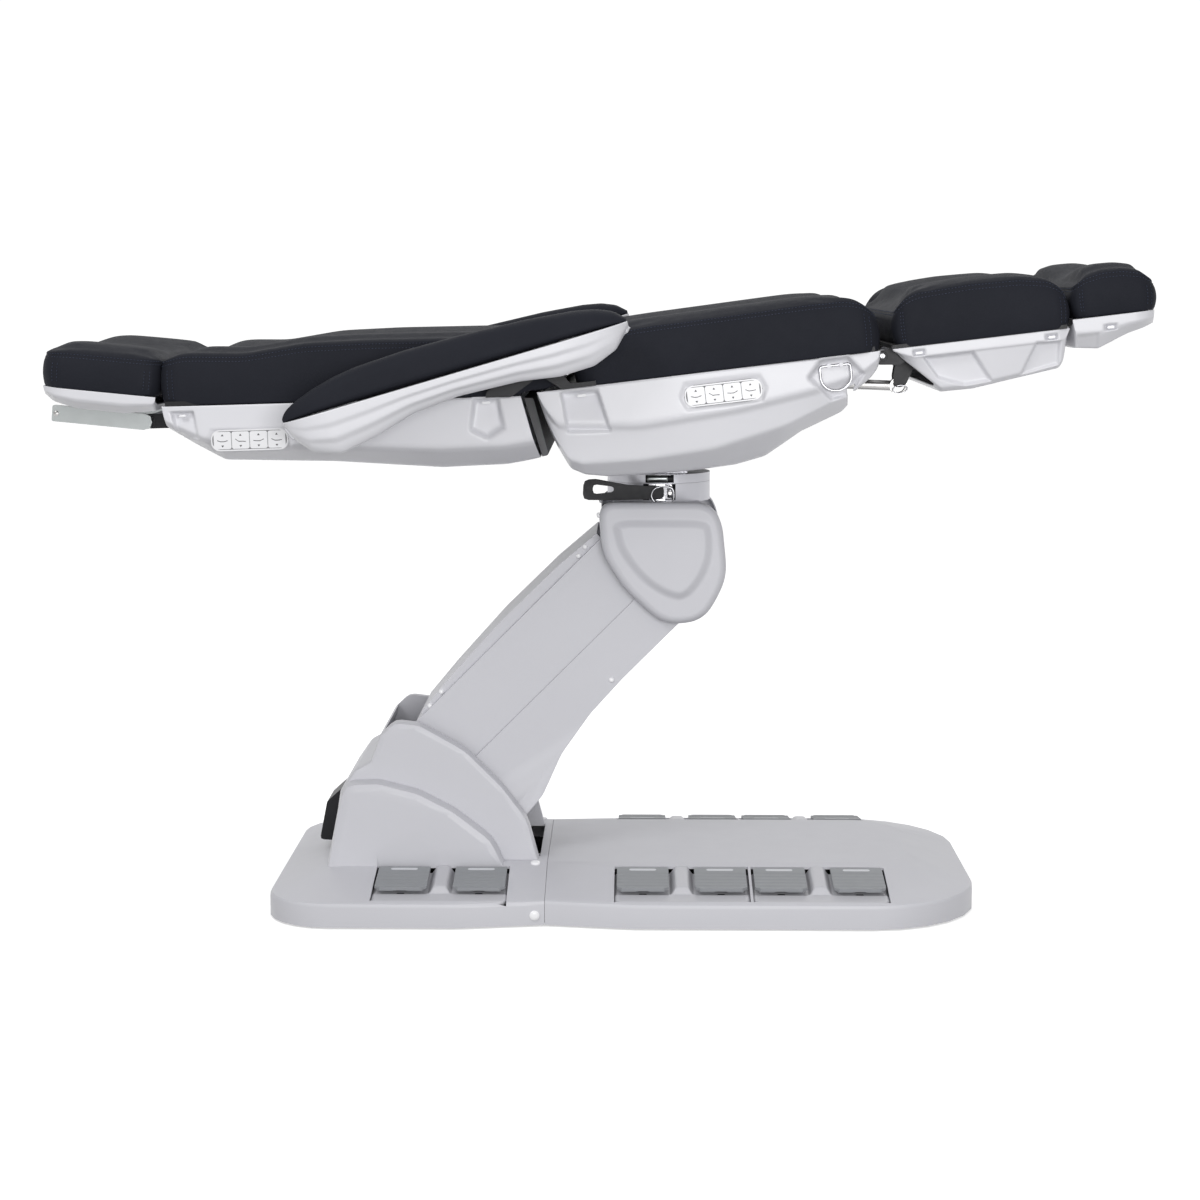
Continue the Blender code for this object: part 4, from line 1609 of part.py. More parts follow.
def leg_parts():
    """Shell, frame with its hinge ears and runner guides, and cushion of the leg section."""
    rim = LEG_RIM_H
    length = LEG_LENGTH
    profile = [
        (LEG_START, LEG_START, LEG_DEPTH * 0.05),
        (LEG_START + LEG_LIP, LEG_START + LEG_LIP * 1.4, LEG_DEPTH * 0.30),
        (LEG_START + length * 0.25, LEG_START + length * 0.25, LEG_DEPTH),
        (LEG_START + length * 0.45, LEG_START + length * 0.45, LEG_DEPTH),
        (LEG_START + length * 0.94, LEG_START + length * 0.94, LEG_DEPTH * 0.78),
        (LEG_START + length * 0.97, LEG_START + length * 0.97, LEG_DEPTH * 0.62),
        (LEG_START + length, LEG_START + length, LEG_DEPTH * 0.05),
    ]
    cover = tub("leg_cover", profile, lambda s: LEG_HALF, rim, WHITE, LEG_FRAME, tuck=0.5)
    mouth = LEG_EAR_Y + LEG_EAR_T * 3
    cut(cover, block("seat_mouth", (-OVER, -mouth, -LEG_DEPTH), (LEG_START + length * 0.22, mouth, rim + OVER), WHITE,
                     LEG_FRAME))
    low = rim + CLEAR
    high = low + BOARD_T * 0.8
    end = LEG_START + length * 0.985
    half = LEG_HALF - SINK
    frame = block("leg_frame", (LEG_START + CLEAR, -half, low), (end, half, high), BLACK, LEG_FRAME)
    y_in = LEG_EAR_Y + LEG_EAR_T + RUN
    bolt = LEG_BOLT_R
    ear = [
        (-bolt * 1.6, bolt * 1.0, bolt), (-bolt * 1.6, -bolt * 1.6, bolt), (bolt * 3.5, -bolt * 2.2, bolt),
        (bolt * 10, low + SINK, 0.0), (bolt * 3.0, low + SINK, 0.0),
    ]
    lug_y = PUSH_R + RUN
    lug = [
        (PUSH_PIN_S - PUSH_PIN_R * 2.2, -PUSH_PIN_H - PUSH_PIN_R * 2.2, PUSH_PIN_R * 2),
        (PUSH_PIN_S + PUSH_PIN_R * 2.4, -PUSH_PIN_H - PUSH_PIN_R * 1.5, PUSH_PIN_R * 2),
        (PUSH_PIN_S + PUSH_PIN_R * 12, low + SINK, 0.0),
        (PUSH_PIN_S + PUSH_PIN_R, low + SINK, 0.0),
        (PUSH_PIN_S - PUSH_PIN_R * 2.2, -PUSH_PIN_H + PUSH_PIN_R * 3.0, PUSH_PIN_R * 2),
    ]
    for side in (-1.0, 1.0):
        y_low, y_high = sorted((side * y_in, side * (y_in + LEG_EAR_T)))
        join(frame, slab("hinge_ear", rounded(ear), y_low, y_high, BLACK, LEG_FRAME))
        y_low, y_high = sorted((side * lug_y, side * (lug_y + BRACKET_T * 0.7)))
        join(frame, slab("push_lug", rounded(lug), PUSH_Y + y_low, PUSH_Y + y_high, BLACK, LEG_FRAME))
    join(frame, rod("push_pin", PUSH_PIN_R, (PUSH_PIN_S, PUSH_Y - lug_y - SINK, -PUSH_PIN_H),
                    (PUSH_PIN_S, PUSH_Y + lug_y + SINK, -PUSH_PIN_H), BLACK, LEG_FRAME, 12))
    cut(frame, rod("bolt_bore", bolt + BORE_RUN, (0.0, -mouth - OVER, 0.0), (0.0, mouth + OVER, 0.0), BLACK,
                   LEG_FRAME, 16))
    reach = RUNNER_Y + RUNNER_R * 2.4
    for place_share, half_length in ((0.80, GUIDE_HALF), (0.40, GUIDE_HALF * 0.6)):
        s = LEG_START + length * place_share
        join(frame, block("runner_guide", (s - half_length, -reach, -RUNNER_H - RUNNER_R * 1.6),
                          (s + half_length, reach, low + SINK), BLACK, LEG_FRAME))
    for side in (-1.0, 1.0):
        y = side * RUNNER_Y
        cut(frame, rod("runner_bore", RUNNER_R + BORE_RUN, (0.0, y, -RUNNER_H), (end + OVER, y, -RUNNER_H), BLACK,
                       LEG_FRAME, 16))
        cut(cover, rod("runner_hole", RUNNER_R + RUN, (end - OVER * 2, y, -RUNNER_H), (end + OVER * 2, y, -RUNNER_H),
                       WHITE, LEG_FRAME, 16))
    base = high + CLEAR
    wide = LEG_HALF + PAD_OVER
    start = LEG_START + LEG_LIP * 0.8
    stations = []
    for along_share, height_share, round_share in LEG_PAD_SHARES:
        s = start + (LEG_LENGTH * 0.99 - LEG_LIP * 0.8) * along_share
        stations.append((s, s, wide - PAD_ROUND * round_share, LEG_PAD * height_share, base))
    cushion("leg_cushion", stations, HIDE, LEG_FRAME, PAD_VALLEY * 0.7, PAD_DRAWN * 0.8)


def foot_parts():
    """Shell with its runners, and cushion of the foot extension."""
    rim = FOOT_RIM_H
    start = FOOT_START
    length = FOOT_LENGTH

    def bulged(s_share, y_share):
        return start + length * s_share + FOOT_BULGE * s_share * (1.0 - y_share ** 2)

    rows = []
    across = (-1.0, -0.97, -0.80, -0.40, 0.0, 0.40, 0.80, 0.97, 1.0)
    for s_share, depth_share in ((0.005, 0.04), (0.02, 0.90), (0.30, 1.0), (0.68, 0.62), (0.90, 0.42), (1.0, 0.05)):
        row = []
        for y_share in across:
            depth = FOOT_DEPTH * depth_share
            if abs(y_share) > 0.99:
                depth = FOOT_DEPTH * 0.04
            elif abs(y_share) > 0.9:
                depth *= 0.62
            row.append((bulged(s_share, y_share), y_share * LEG_HALF, rim - depth))
        rows.append(row)
    cover = sheet_shell("foot_cover", rows, SKIN * 0.8, WHITE, LEG_FRAME)
    for side in (-1.0, 1.0):
        y = side * RUNNER_Y
        join(cover, rod("runner", RUNNER_R, (start + SKIN - RUNNER_LENGTH, y, -RUNNER_H), (start + SKIN, y, -RUNNER_H),
                        WHITE, LEG_FRAME, 16))
    rings = []
    base = rim + CLEAR
    for s_share, height_share, round_share in (
            (0.01, 0.62, 1.0), (0.06, 0.80, 0.5), (0.24, 0.97, 0.1), (0.50, 1.03, 0.0), (0.74, 1.05, 0.2),
            (0.92, 0.88, 0.7), (1.0, 0.52, 1.3)):
        near = [(bulged(s_share, y / LEG_HALF), -y, base + h) for y, h in pad_profile(
            LEG_HALF + PAD_OVER - PAD_ROUND * round_share, FOOT_PAD * height_share, PAD_VALLEY * 0.5, PAD_DRAWN * 0.8)]
        rings.append(near + [(s, -y, h) for s, y, h in reversed(near[:-1])])
    loft("foot_cushion", rings, HIDE, LEG_FRAME)


PUSH_EYE_S = LEG_HINGE_S + PUSH_PIN_S - math.sin(math.radians(-PUSH_SLOPE)) * PUSH_OFFSET
PUSH_EYE_H = -LEG_HINGE_H - PUSH_PIN_H - math.cos(math.radians(-PUSH_SLOPE)) * PUSH_OFFSET
PUSH_FRAME = SEAT_FRAME @ section_frame(PUSH_EYE_S, PUSH_EYE_H, PUSH_SLOPE)


def leg_actuator():
    """Actuator in the seat shell whose eye pushes the leg section's pin."""
    front = -PUSH_STROKE - PUSH_EYE_R - PUSH_R
    back = front - PUSH_BODY_LENGTH
    body = rod("leg_actuator_body", PUSH_BODY_R, (back, PUSH_Y, 0.0), (front, PUSH_Y, 0.0), SILVER, PUSH_FRAME, 20)
    middle = (front + back) / 2
    along, up = turned_vector(middle, 0.0, PUSH_SLOPE)
    post = block("hanger", (PUSH_EYE_S + along - PUSH_R, PUSH_Y - PUSH_R, PUSH_EYE_H + up),
                 (PUSH_EYE_S + along + PUSH_R, PUSH_Y + PUSH_R, 0.0), SILVER, SEAT_FRAME)
    join(body, post)
    cut(body, rod("bore", PUSH_R + CLEAR, (back + PUSH_R, PUSH_Y, 0.0), (front + OVER, PUSH_Y, 0.0), SILVER, PUSH_FRAME, 16))
    piston = rod("leg_actuator_rod", PUSH_R, (front - PUSH_STROKE * 0.55, PUSH_Y, 0.0), (-PUSH_EYE_R * 0.9, PUSH_Y, 0.0),
                 SILVER, PUSH_FRAME, 16)
    join(piston, rod("eye", PUSH_EYE_R, (0.0, PUSH_Y - PUSH_R, 0.0), (0.0, PUSH_Y + PUSH_R, 0.0), SILVER, PUSH_FRAME, 20))
    cut(piston, rod("eye_hole", PUSH_EYE_HOLE, (0.0, PUSH_Y - OVER, 0.0), (0.0, PUSH_Y + OVER, 0.0), SILVER, PUSH_FRAME, 20))


def hang_all():
    """Hangs every moving piece on its joint's axis, from the arm up to the sections that it carries."""
    lower = hang("lift_axis", (PIVOT_X, 0.0, PIVOT_Z), ["lower_link"])
    hang("upper_arm_axis", (TOWER_HIGH[0], 0.0, TOWER_HIGH[1]), ["upper_link"])
    hang("lift_rod_axis", (LEVER_TIP[0], 0.0, ROD_Z), ["lift_actuator_rod"])
    head = hang("head_axis", (HEAD_LOW[0], 0.0, HEAD_LOW[1]),
                ["head_carrier", "head_cover_near", "head_cover_far", "brake_clamp"], lower)
    hang("brake_axis", (CLAMP_X, CLAMP_Y, (HEAD_TOP_Z + RING_BASE_Z) / 2), ["brake_lever"], head)
    swivel = hang("swivel_axis", (SWIVEL_X, 0.0, RING_TOP_Z), ["turntable"], head)
    seat = hang("tilt_axis", (SWIVEL_X, 0.0, TILT_Z),
                ["seat_frame", "seat_cover", "seat_cushion", "seat_keypad_near", "seat_keypad_far",
                 "leg_actuator_body"], swivel)
    for side, word in SIDES:
        hang(f"d_ring_{word}_axis", SEAT_FRAME @ d_ring_place(side), [f"d_ring_{word}"], seat)
    back = hang("recline_axis", (BACK_HINGE[0], 0.0, BACK_HINGE[1]),
                ["back_frame", "back_cover", "back_cushion", "back_keypad_near", "back_keypad_far", "gap_cover",
                 "headrest_bracket"], seat)
    for side, word in SIDES:
        hang(f"armrest_{word}_axis", (ARM_PIVOT[0], side * (ARM_INNER + ARM_WIDTH / 2), ARM_PIVOT[1]),
             [f"armrest_shell_{word}", f"armrest_pad_{word}"], back)
    rail = hang("headrest_tilt_axis", (HEAD_PIVOT[0], 0.0, HEAD_PIVOT[1]), ["headrest_rail"], back)
    hang("headrest_slide_axis", (HEAD_PIVOT[0], 0.0, HEAD_PIVOT[1]), ["headrest_cover", "headrest_cushion"], rail)
    leg = hang("leg_axis", (LEG_HINGE[0], 0.0, LEG_HINGE[1]), ["leg_frame", "leg_cover", "leg_cushion"], seat)
    hang("foot_slide_axis", (LEG_HINGE[0], 0.0, LEG_HINGE[1]), ["foot_cover", "foot_cushion"], leg)
    hang("leg_rod_axis", PUSH_FRAME.translation, ["leg_actuator_rod"], seat)


def build():
    covers = (base_cover(), platform_cover())
    base_frame()
    power_inlet()
    pedals_and_trays(covers)
    lower_link()
    upper_link()
    lift_actuator()
    head_carrier()
    head_cover("head_cover_near", -1.0)
    head_cover("head_cover_far", 1.0)
    brake_clamp()
    brake_lever()
    turntable()
    seat_cover = seat_parts()
    d_ring_staples(seat_cover)
    both_sides(d_ring)
    leg_actuator()
    back_parts()
    both_sides(armrest)
    headrest_parts()
    leg_parts()
    foot_parts()
    for name in CURVED:
        tidy(bpy.data.objects[name])
    for thing in TABLE.objects:
        if thing.type == "MESH":
            shade(thing)
    hang_all()


build()
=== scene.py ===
"""Looks of the electric spa treatment table: studio, finishes, upholstery, mouldings and small parts."""
import json
import math

import bmesh
import bpy
import numpy as np
from mathutils import Matrix, Vector
from mathutils.geometry import convex_hull_2d
from mathutils.bvhtree import BVHTree

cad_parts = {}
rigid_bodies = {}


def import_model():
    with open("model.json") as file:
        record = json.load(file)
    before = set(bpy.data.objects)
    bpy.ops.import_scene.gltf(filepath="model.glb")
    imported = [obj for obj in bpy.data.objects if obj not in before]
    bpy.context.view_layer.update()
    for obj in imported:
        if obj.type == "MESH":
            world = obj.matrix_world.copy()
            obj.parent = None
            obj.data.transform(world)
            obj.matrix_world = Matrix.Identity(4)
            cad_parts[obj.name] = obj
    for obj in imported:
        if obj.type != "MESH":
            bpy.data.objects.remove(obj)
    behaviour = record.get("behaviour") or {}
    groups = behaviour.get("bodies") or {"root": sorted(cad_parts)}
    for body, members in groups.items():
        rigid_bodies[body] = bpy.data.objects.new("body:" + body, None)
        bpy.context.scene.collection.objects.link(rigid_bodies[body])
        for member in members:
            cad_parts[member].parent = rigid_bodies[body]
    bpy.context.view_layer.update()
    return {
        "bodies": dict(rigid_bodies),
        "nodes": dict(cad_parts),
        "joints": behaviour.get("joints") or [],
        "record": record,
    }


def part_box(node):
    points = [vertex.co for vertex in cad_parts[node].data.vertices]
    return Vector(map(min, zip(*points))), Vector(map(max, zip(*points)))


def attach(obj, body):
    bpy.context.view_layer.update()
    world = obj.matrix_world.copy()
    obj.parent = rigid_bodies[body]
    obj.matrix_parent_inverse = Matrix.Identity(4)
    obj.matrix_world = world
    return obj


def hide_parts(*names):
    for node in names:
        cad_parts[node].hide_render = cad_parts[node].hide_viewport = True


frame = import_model()
NODES = frame["nodes"]
JOINTS = {joint["name"]: joint for joint in frame["joints"]}
RNG = np.random.default_rng(7)

# Camera, as the photograph was taken
CAMERA_PLACE = (0.06, -4.3, 1.0855)
CAMERA_TURN = (82.4, 0.0, 0.82)
CAMERA_LENS = 73.5

# Light of the room round the table, of the wall behind it, of the floor and of the lamps
ROOM_LIGHT = 0.56
LOW_LIGHT = 0.40
WALL_LIGHT = 1.06
FLOOR_GLOW = 0.5
KEY_POWER = 46.0
FRONT_POWER = 92.0
TOP_POWER = 26.0

# Sizes that the dressed pieces share with the frame, in metres
SEAT_LENGTH = 0.564
BACK_LENGTH = 0.590
BACK_HALF = 0.305
BACK_DEPTH = 0.118
BACK_PIN = (0.0328, 0.057)
LEG_HINGE = (0.569, -0.010)
LEG_HALF = 0.275
ARM_PIVOT = (0.0714, -0.0335)
ARM_MIDDLE = 0.381
ARM_HALF = 0.037
HEAD_PIN = (-0.0472, -0.0528)
BACK_ANGLE = 1.8
ARM_ANGLE = 16.4

# The sign of Y and the word of each side
SIDES = ((-1.0, "near"), (1.0, "far"))


# Frames of the sections, worked out from the joints


def section_frame(place, along):
    """A frame at place whose +X runs along a section in the side view."""
    angle = math.atan2(along[2], along[0])
    return Matrix.Translation(Vector(place)) @ Matrix.Rotation(-angle, 4, "Y")


def along_angle(degrees):
    return math.cos(math.radians(degrees)), 0.0, math.sin(math.radians(degrees))


def frame_on(joint, along, point):
    """The frame of a section in which a joint's place has the side-view coordinates point."""
    turned = section_frame((0.0, 0.0, 0.0), along)
    place = Vector(JOINTS[joint]["pos_m"])
    place.y = 0.0
    turned.translation = place - turned @ Vector((point[0], 0.0, point[1]))
    return turned


SEAT_AXIS = JOINTS["foot_slide"]["axis"]
HEAD_AXIS = [-x for x in JOINTS["headrest_slide"]["axis"]]
LEG_FRAME = frame_on("leg_drop", SEAT_AXIS, (0.0, 0.0))
SEAT_FRAME = frame_on("leg_drop", SEAT_AXIS, LEG_HINGE)
BACK_FRAME = frame_on("recline", along_angle(BACK_ANGLE), BACK_PIN)
ARM_FRAME = frame_on("armrest_near_turn", along_angle(ARM_ANGLE), ARM_PIVOT)
HEAD_FRAME = frame_on("headrest_tilt", HEAD_AXIS, HEAD_PIN)


# Studio


def placed(name, data, place, turn):
    thing = bpy.data.objects.new(name, data)
    thing.location = place
    thing.rotation_euler = turn
    bpy.context.scene.collection.objects.link(thing)
    return thing


def camera():
    data = bpy.data.cameras.new("camera")
    data.lens = CAMERA_LENS
    data.sensor_width = 36.0
    bpy.context.scene.camera = placed("camera", data, CAMERA_PLACE, [math.radians(a) for a in CAMERA_TURN])


def area_light(name, place, aim, size, power):
    data = bpy.data.lights.new(name, "AREA")
    data.shape = "RECTANGLE"
    data.size, data.size_y = size
    data.energy = power
    placed(name, data, place, (Vector(aim) - Vector(place)).to_track_quat("-Z", "Y").to_euler())


def studio():
    """A white floor that meets a white surround, and large soft lights."""
    bpy.ops.mesh.primitive_circle_add(vertices=96, radius=40.0, fill_type="NGON")
    floor = bpy.context.object
    floor.name = "studio_floor"
    made = bpy.data.materials.new("studio_floor")
    made.use_nodes = True
    fill(made.node_tree.nodes["Principled BSDF"], Base_Color=(0.88, 0.88, 0.88, 1.0), Roughness=0.9,
         Specular_IOR_Level=0.0, Emission_Color=(1.0, 1.0, 1.0, 1.0), Emission_Strength=FLOOR_GLOW)
    floor.data.materials.append(made)
    floor.visible_diffuse = False
    world = bpy.data.worlds.new("studio_surround")
    bpy.context.scene.world = world
    world.use_nodes = True
    tree = world.node_tree
    ground = tree.nodes["Background"]
    fill(ground, Color=(1.0, 1.0, 1.0, 1.0))
    places = node(tree, "TexCoord")
    parts = node(tree, "SeparateXYZ")
    both = node(tree, "Math", operation="MULTIPLY")
    wire(places, "Generated", parts, "Vector")
    for number, (axis, start, end, low, high) in enumerate((("Y", 0.3, 0.85, ROOM_LIGHT, WALL_LIGHT),
                                                            ("Z", -0.5, 0.0, LOW_LIGHT, 1.0))):
        side = node(tree, "MapRange", interpolation_type="SMOOTHSTEP", From_Min=start, From_Max=end, To_Min=low,
                    To_Max=high)
        wire(parts, axis, side, "Value")
        wire(side, "Result", both, number)
    wire(both, 0, ground, "Strength")
    area_light("key_light", (-2.2, -2.8, 3.4), (0.0, 0.0, 0.6), (1.5, 1.2), KEY_POWER)
    area_light("front_light", (0.9, -4.6, 1.2), (0.1, 0.0, 0.5), (2.6, 1.4), FRONT_POWER)
    area_light("top_light", (0.3, 0.2, 3.8), (0.0, 0.0, 0.5), (3.6, 2.2), TOP_POWER)
    bpy.context.scene.view_settings.view_transform = "Standard"


# Finishes


def fill(made, **values):
    """Sets a node's sockets by name, with _ for a space."""
    for key, value in values.items():
        made.inputs[key.replace("_", " ")].default_value = value


def node(tree, kind, **values):
    """A shader node with its settings and sockets."""
    made = tree.nodes.new("ShaderNode" + kind)
    for key, value in values.items():
        if key.replace("_", " ") in made.inputs:
            fill(made, **{key: value})
        else:
            setattr(made, key, value)
    return made


def wire(start, out, end, into):
    start.id_data.links.new(start.outputs[out], end.inputs[into])


def opened(made):
    """A finish's tree, its shader and its coordinates."""
    tree = made.node_tree
    return tree, tree.nodes["Principled BSDF"], tree.nodes["Texture Coordinate"]


def finish(name, colour, rough, metallic=0.0, grain=(900.0, 0.02), mottle=(6.0, 0.04), **more):
    """A Principled finish. Grain is (scale, bump depth in mm), mottle is (scale, share of the colour)."""
    made = bpy.data.materials.new(name)
    made.use_nodes = True
    tree = made.node_tree
    places = node(tree, "TexCoord")
    shader = tree.nodes["Principled BSDF"]
    fill(shader, Metallic=metallic, **more)
    low, high = ((*[min(c * (1.0 + share), 1.0) for c in colour], 1.0) for share in (-mottle[1], mottle[1]))
    cloud = node(tree, "TexNoise", Scale=mottle[0], Detail=5.0, Roughness=0.6)
    tint = node(tree, "Mix", data_type="RGBA", A=low, B=high)
    fine = node(tree, "TexNoise", Scale=mottle[0] * 7.0, Detail=4.0)
    gloss = node(tree, "MapRange", To_Min=rough * 0.86, To_Max=rough * 1.14)
    skin = node(tree, "TexNoise", Scale=grain[0], Detail=2.0)
    bump = node(tree, "Bump", Strength=0.6, Distance=grain[1] / 1000.0)
    for noise in (cloud, fine, skin):
        wire(places, "Object", noise, "Vector")
    wire(cloud, "Fac", tint, "Factor")
    wire(tint, "Result", shader, "Base Color")
    wire(fine, "Fac", gloss, "Value")
    wire(gloss, "Result", shader, "Roughness")
    wire(skin, "Fac", bump, "Height")
    wire(bump, "Normal", shader, "Normal")
    return made


def leatherette(name, colour, rough):
    """Artificial leather: pebbled grain from two cell sizes, soft sheen and slow tone changes."""
    made = finish(name, colour, rough, mottle=(9.0, 0.16), Specular_IOR_Level=0.05)
    tree, shader, places = opened(made)
    parts = []
    for scale, weight in ((620.0, 0.65), (1350.0, 0.35)):
        cells = node(tree, "TexVoronoi", feature="SMOOTH_F1", Scale=scale, Smoothness=0.35)
        part = node(tree, "Math", operation="MULTIPLY")
        part.inputs[1].default_value = weight
        wire(places, "Object", cells, "Vector")
        wire(cells, "Distance", part, 0)
        parts.append(part)
    total = node(tree, "Math", operation="ADD")
    for number, part in enumerate(parts):
        wire(part, 0, total, number)
    bump = node(tree, "Bump", Strength=0.5, Distance=0.00045)
    wire(total, 0, bump, "Height")
    wire(bump, "Normal", shader, "Normal")
    return made


def brushed(name, colour, rough):
    """Metal with fine drawn lines along the table."""
    made = finish(name, colour, rough, 1.0, mottle=(25.0, 0.12))
    tree, shader, places = opened(made)
    squeeze = node(tree, "Mapping", Scale=(0.15, 1.0, 1.0))
    lines = node(tree, "TexNoise", Scale=60.0, Detail=6.0)
    bump = node(tree, "Bump", Strength=0.35, Distance=0.0003)
    wire(places, "Object", squeeze, "Vector")
    wire(squeeze, "Vector", lines, "Vector")
    wire(lines, "Fac", bump, "Height")
    wire(bump, "Normal", shader, "Normal")
    return made


WHITE = finish("white_moulding_satin", (0.70, 0.70, 0.735), 0.34, grain=(1400.0, 0.012), mottle=(3.0, 0.015),
               Specular_IOR_Level=0.5, Coat_Weight=0.12, Coat_Roughness=0.25)
GREY = finish("grey_moulding_grained", (0.55, 0.55, 0.585), 0.42, grain=(1100.0, 0.03), mottle=(4.0, 0.03))
TRAY = finish("tray_plastic", (0.52, 0.52, 0.55), 0.36, grain=(1100.0, 0.02), mottle=(5.0, 0.03))
PEDAL = finish("pedal_plastic_matte", (0.27, 0.28, 0.295), 0.46, grain=(1300.0, 0.03), mottle=(12.0, 0.05))
HIDE = leatherette("black_leatherette", (0.0185, 0.0198, 0.0260), 0.56)
THREAD = finish("navy_thread", (0.030, 0.040, 0.075), 0.7, grain=(4000.0, 0.03))
BLACK = finish("satin_black_paint", (0.010, 0.010, 0.012), 0.42, 0.0, grain=(1600.0, 0.04), mottle=(20.0, 0.2),
               Specular_IOR_Level=0.25)
RUBBER = finish("black_rubber", (0.018, 0.018, 0.020), 0.72, grain=(900.0, 0.08), mottle=(14.0, 0.2))
DARK = finish("dark_grey_plastic_matte", (0.085, 0.085, 0.090), 0.55, grain=(1200.0, 0.03), mottle=(6.0, 0.08))
ZINC = brushed("zinc_plated_steel", (0.40, 0.42, 0.42), 0.34)
CHROME = finish("polished_chrome", (0.44, 0.44, 0.46), 0.12, 1.0, grain=(300.0, 0.002), mottle=(30.0, 0.03))
STEEL = brushed("turned_steel", (0.38, 0.375, 0.37), 0.30)
SILVER = finish("silver_paint_satin", (0.56, 0.56, 0.60), 0.33, 0.55, grain=(2200.0, 0.02), mottle=(8.0, 0.04))
MEMBRANE = finish("keypad_membrane", (0.16, 0.16, 0.17), 0.5, grain=(1500.0, 0.01), mottle=(6.0, 0.02))
KEY = finish("key_membrane", (0.80, 0.80, 0.82), 0.30, grain=(1500.0, 0.008), mottle=(6.0, 0.01),
             Coat_Weight=0.3, Coat_Roughness=0.2)
INK = finish("grey_ink", (0.045, 0.045, 0.05), 0.6, grain=(1500.0, 0.01))
PALE_INK = finish("pale_ink", (0.62, 0.63, 0.66), 0.5, grain=(1500.0, 0.01))
CAP = finish("white_cap_plastic", (0.86, 0.86, 0.88), 0.25, grain=(1500.0, 0.01), mottle=(6.0, 0.01))

# The first row whose word is in a node's name gives its finish
NODE_FINISHES = (
    ("pedal_tray", TRAY), ("pedal_", PEDAL), ("keypad", MEMBRANE), ("cushion", HIDE), ("pad", HIDE),
    ("lift_actuator_rod", CHROME), ("clamp", CHROME), ("d_ring", CHROME), ("leg_actuator_rod", STEEL),
    ("lever", RUBBER), ("carrier", SILVER), ("turntable", SILVER), ("gap_cover", DARK), ("rail", ZINC),
    ("head_cover", GREY), ("base_cover", GREY), ("platform", GREY), ("link", GREY), ("cover", WHITE),
    ("shell", WHITE), ("", BLACK),
)
SMOOTH_ANGLE = 32.0
EDGE_ROUND = 0.0009


def smoothed(mesh, angle=SMOOTH_ANGLE):
    mesh.shade_smooth()
    mesh.set_sharp_from_angle(angle=math.radians(angle))


def dress_node(name, thing):
    """Gives a CAD node its finish, smooth shading over its curves and a small round on its edges."""
    thing.data.materials.clear()
    thing.data.materials.append(next(made for word, made in NODE_FINISHES if word in name))
    smoothed(thing.data)
    weld = thing.modifiers.new("weld", "WELD")
    weld.merge_threshold = 1e-5
    bevel = thing.modifiers.new("edge_round", "BEVEL")
    bevel.width = EDGE_ROUND
    bevel.segments = 2
    bevel.limit_method = "ANGLE"
    bevel.angle_limit = math.radians(SMOOTH_ANGLE)
    flat = thing.modifiers.new("flat_faces", "WEIGHTED_NORMAL")
    flat.keep_sharp = True


# Mesh makers


def linked(name, mesh, material, matrix=None):
    """An object of a mesh that was made in a frame."""
    mesh.materials.append(material)
    if matrix is not None:
        mesh.transform(matrix)
    thing = bpy.data.objects.new(name, mesh)
    bpy.context.scene.collection.objects.link(thing)
    return thing


def new_object(name, verts, faces, material, matrix=None):
    mesh = bpy.data.meshes.new(name)
    mesh.from_pydata([tuple(v) for v in verts], [], [tuple(f) for f in faces])
    mesh.shade_smooth()
    return linked(name, mesh, material, matrix)


def from_bmesh(name, bm, material, matrix=None, smooth=True):
    bmesh.ops.recalc_face_normals(bm, faces=bm.faces)
    mesh = bpy.data.meshes.new(name)
    bm.to_mesh(mesh)
    bm.free()
    if smooth:
        smoothed(mesh)
    return linked(name, mesh, material, matrix)


def thickened(thing, thickness):
    """Gives a sheet its wall, inward."""
    solid = thing.modifiers.new("wall", "SOLIDIFY")
    solid.thickness = thickness
    solid.offset = -1.0
    return thing


def carried(piece, body, slot, *nodes):
    """Attaches a piece to the body that carries it and hides the nodes it stands for; its slot, the finish's name, is
    not used.
    """
    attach(piece, body)
    if nodes:
        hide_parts(*nodes)
    return piece


def padded(piece, body, node_name):
    """Rounds a padded piece off once more, attaches it to its body and hides the node it stands for."""
    smooth = piece.modifiers.new("smooth", "SUBSURF")
    smooth.levels = smooth.render_levels = 1
    carried(piece, body, "black_upholstery", node_name)


def applied(thing):
    """Replaces an object's mesh by what its modifiers give."""
    graph = bpy.context.evaluated_depsgraph_get()
    mesh = bpy.data.meshes.new_from_object(thing.evaluated_get(graph))
    thing.modifiers.clear()
    thing.data = mesh
    return thing


def step(x):
    """A smooth rise from 0 at x 0 to 1 at x 1."""
    t = np.clip(x, 0.0, 1.0)
    return t * t * (3.0 - 2.0 * t)


def curve_through(points, x, reach=31):
    """A smooth line through (x, value) points: straight runs with their corners eased."""
    xs, ys = np.array(points, float).T
    fine = np.linspace(xs[0], xs[-1], 400)
    values = np.interp(fine, xs, ys)
    window = np.hanning(reach)
    window /= window.sum()
    half = len(window) // 2
    padded = np.concatenate((2 * values[0] - values[half:0:-1], values, 2 * values[-1] - values[-2:-half - 2:-1]))
    return np.interp(x, fine, np.convolve(padded, window, "valid"))


def plan_loop(count_s, count_y):
    """Perimeter of the unit square, in order, as (u, v), for a grid of count_s by count_y cells."""
    u = np.linspace(-1.0, 1.0, count_s + 1)
    v = np.linspace(-1.0, 1.0, count_y + 1)
    near = [(a, -1.0) for a in u[:-1]]
    right = [(1.0, b) for b in v[:-1]]
    far = [(a, 1.0) for a in u[:0:-1]]
    left = [(-1.0, b) for b in v[:0:-1]]
    return np.array(near + right + far + left)


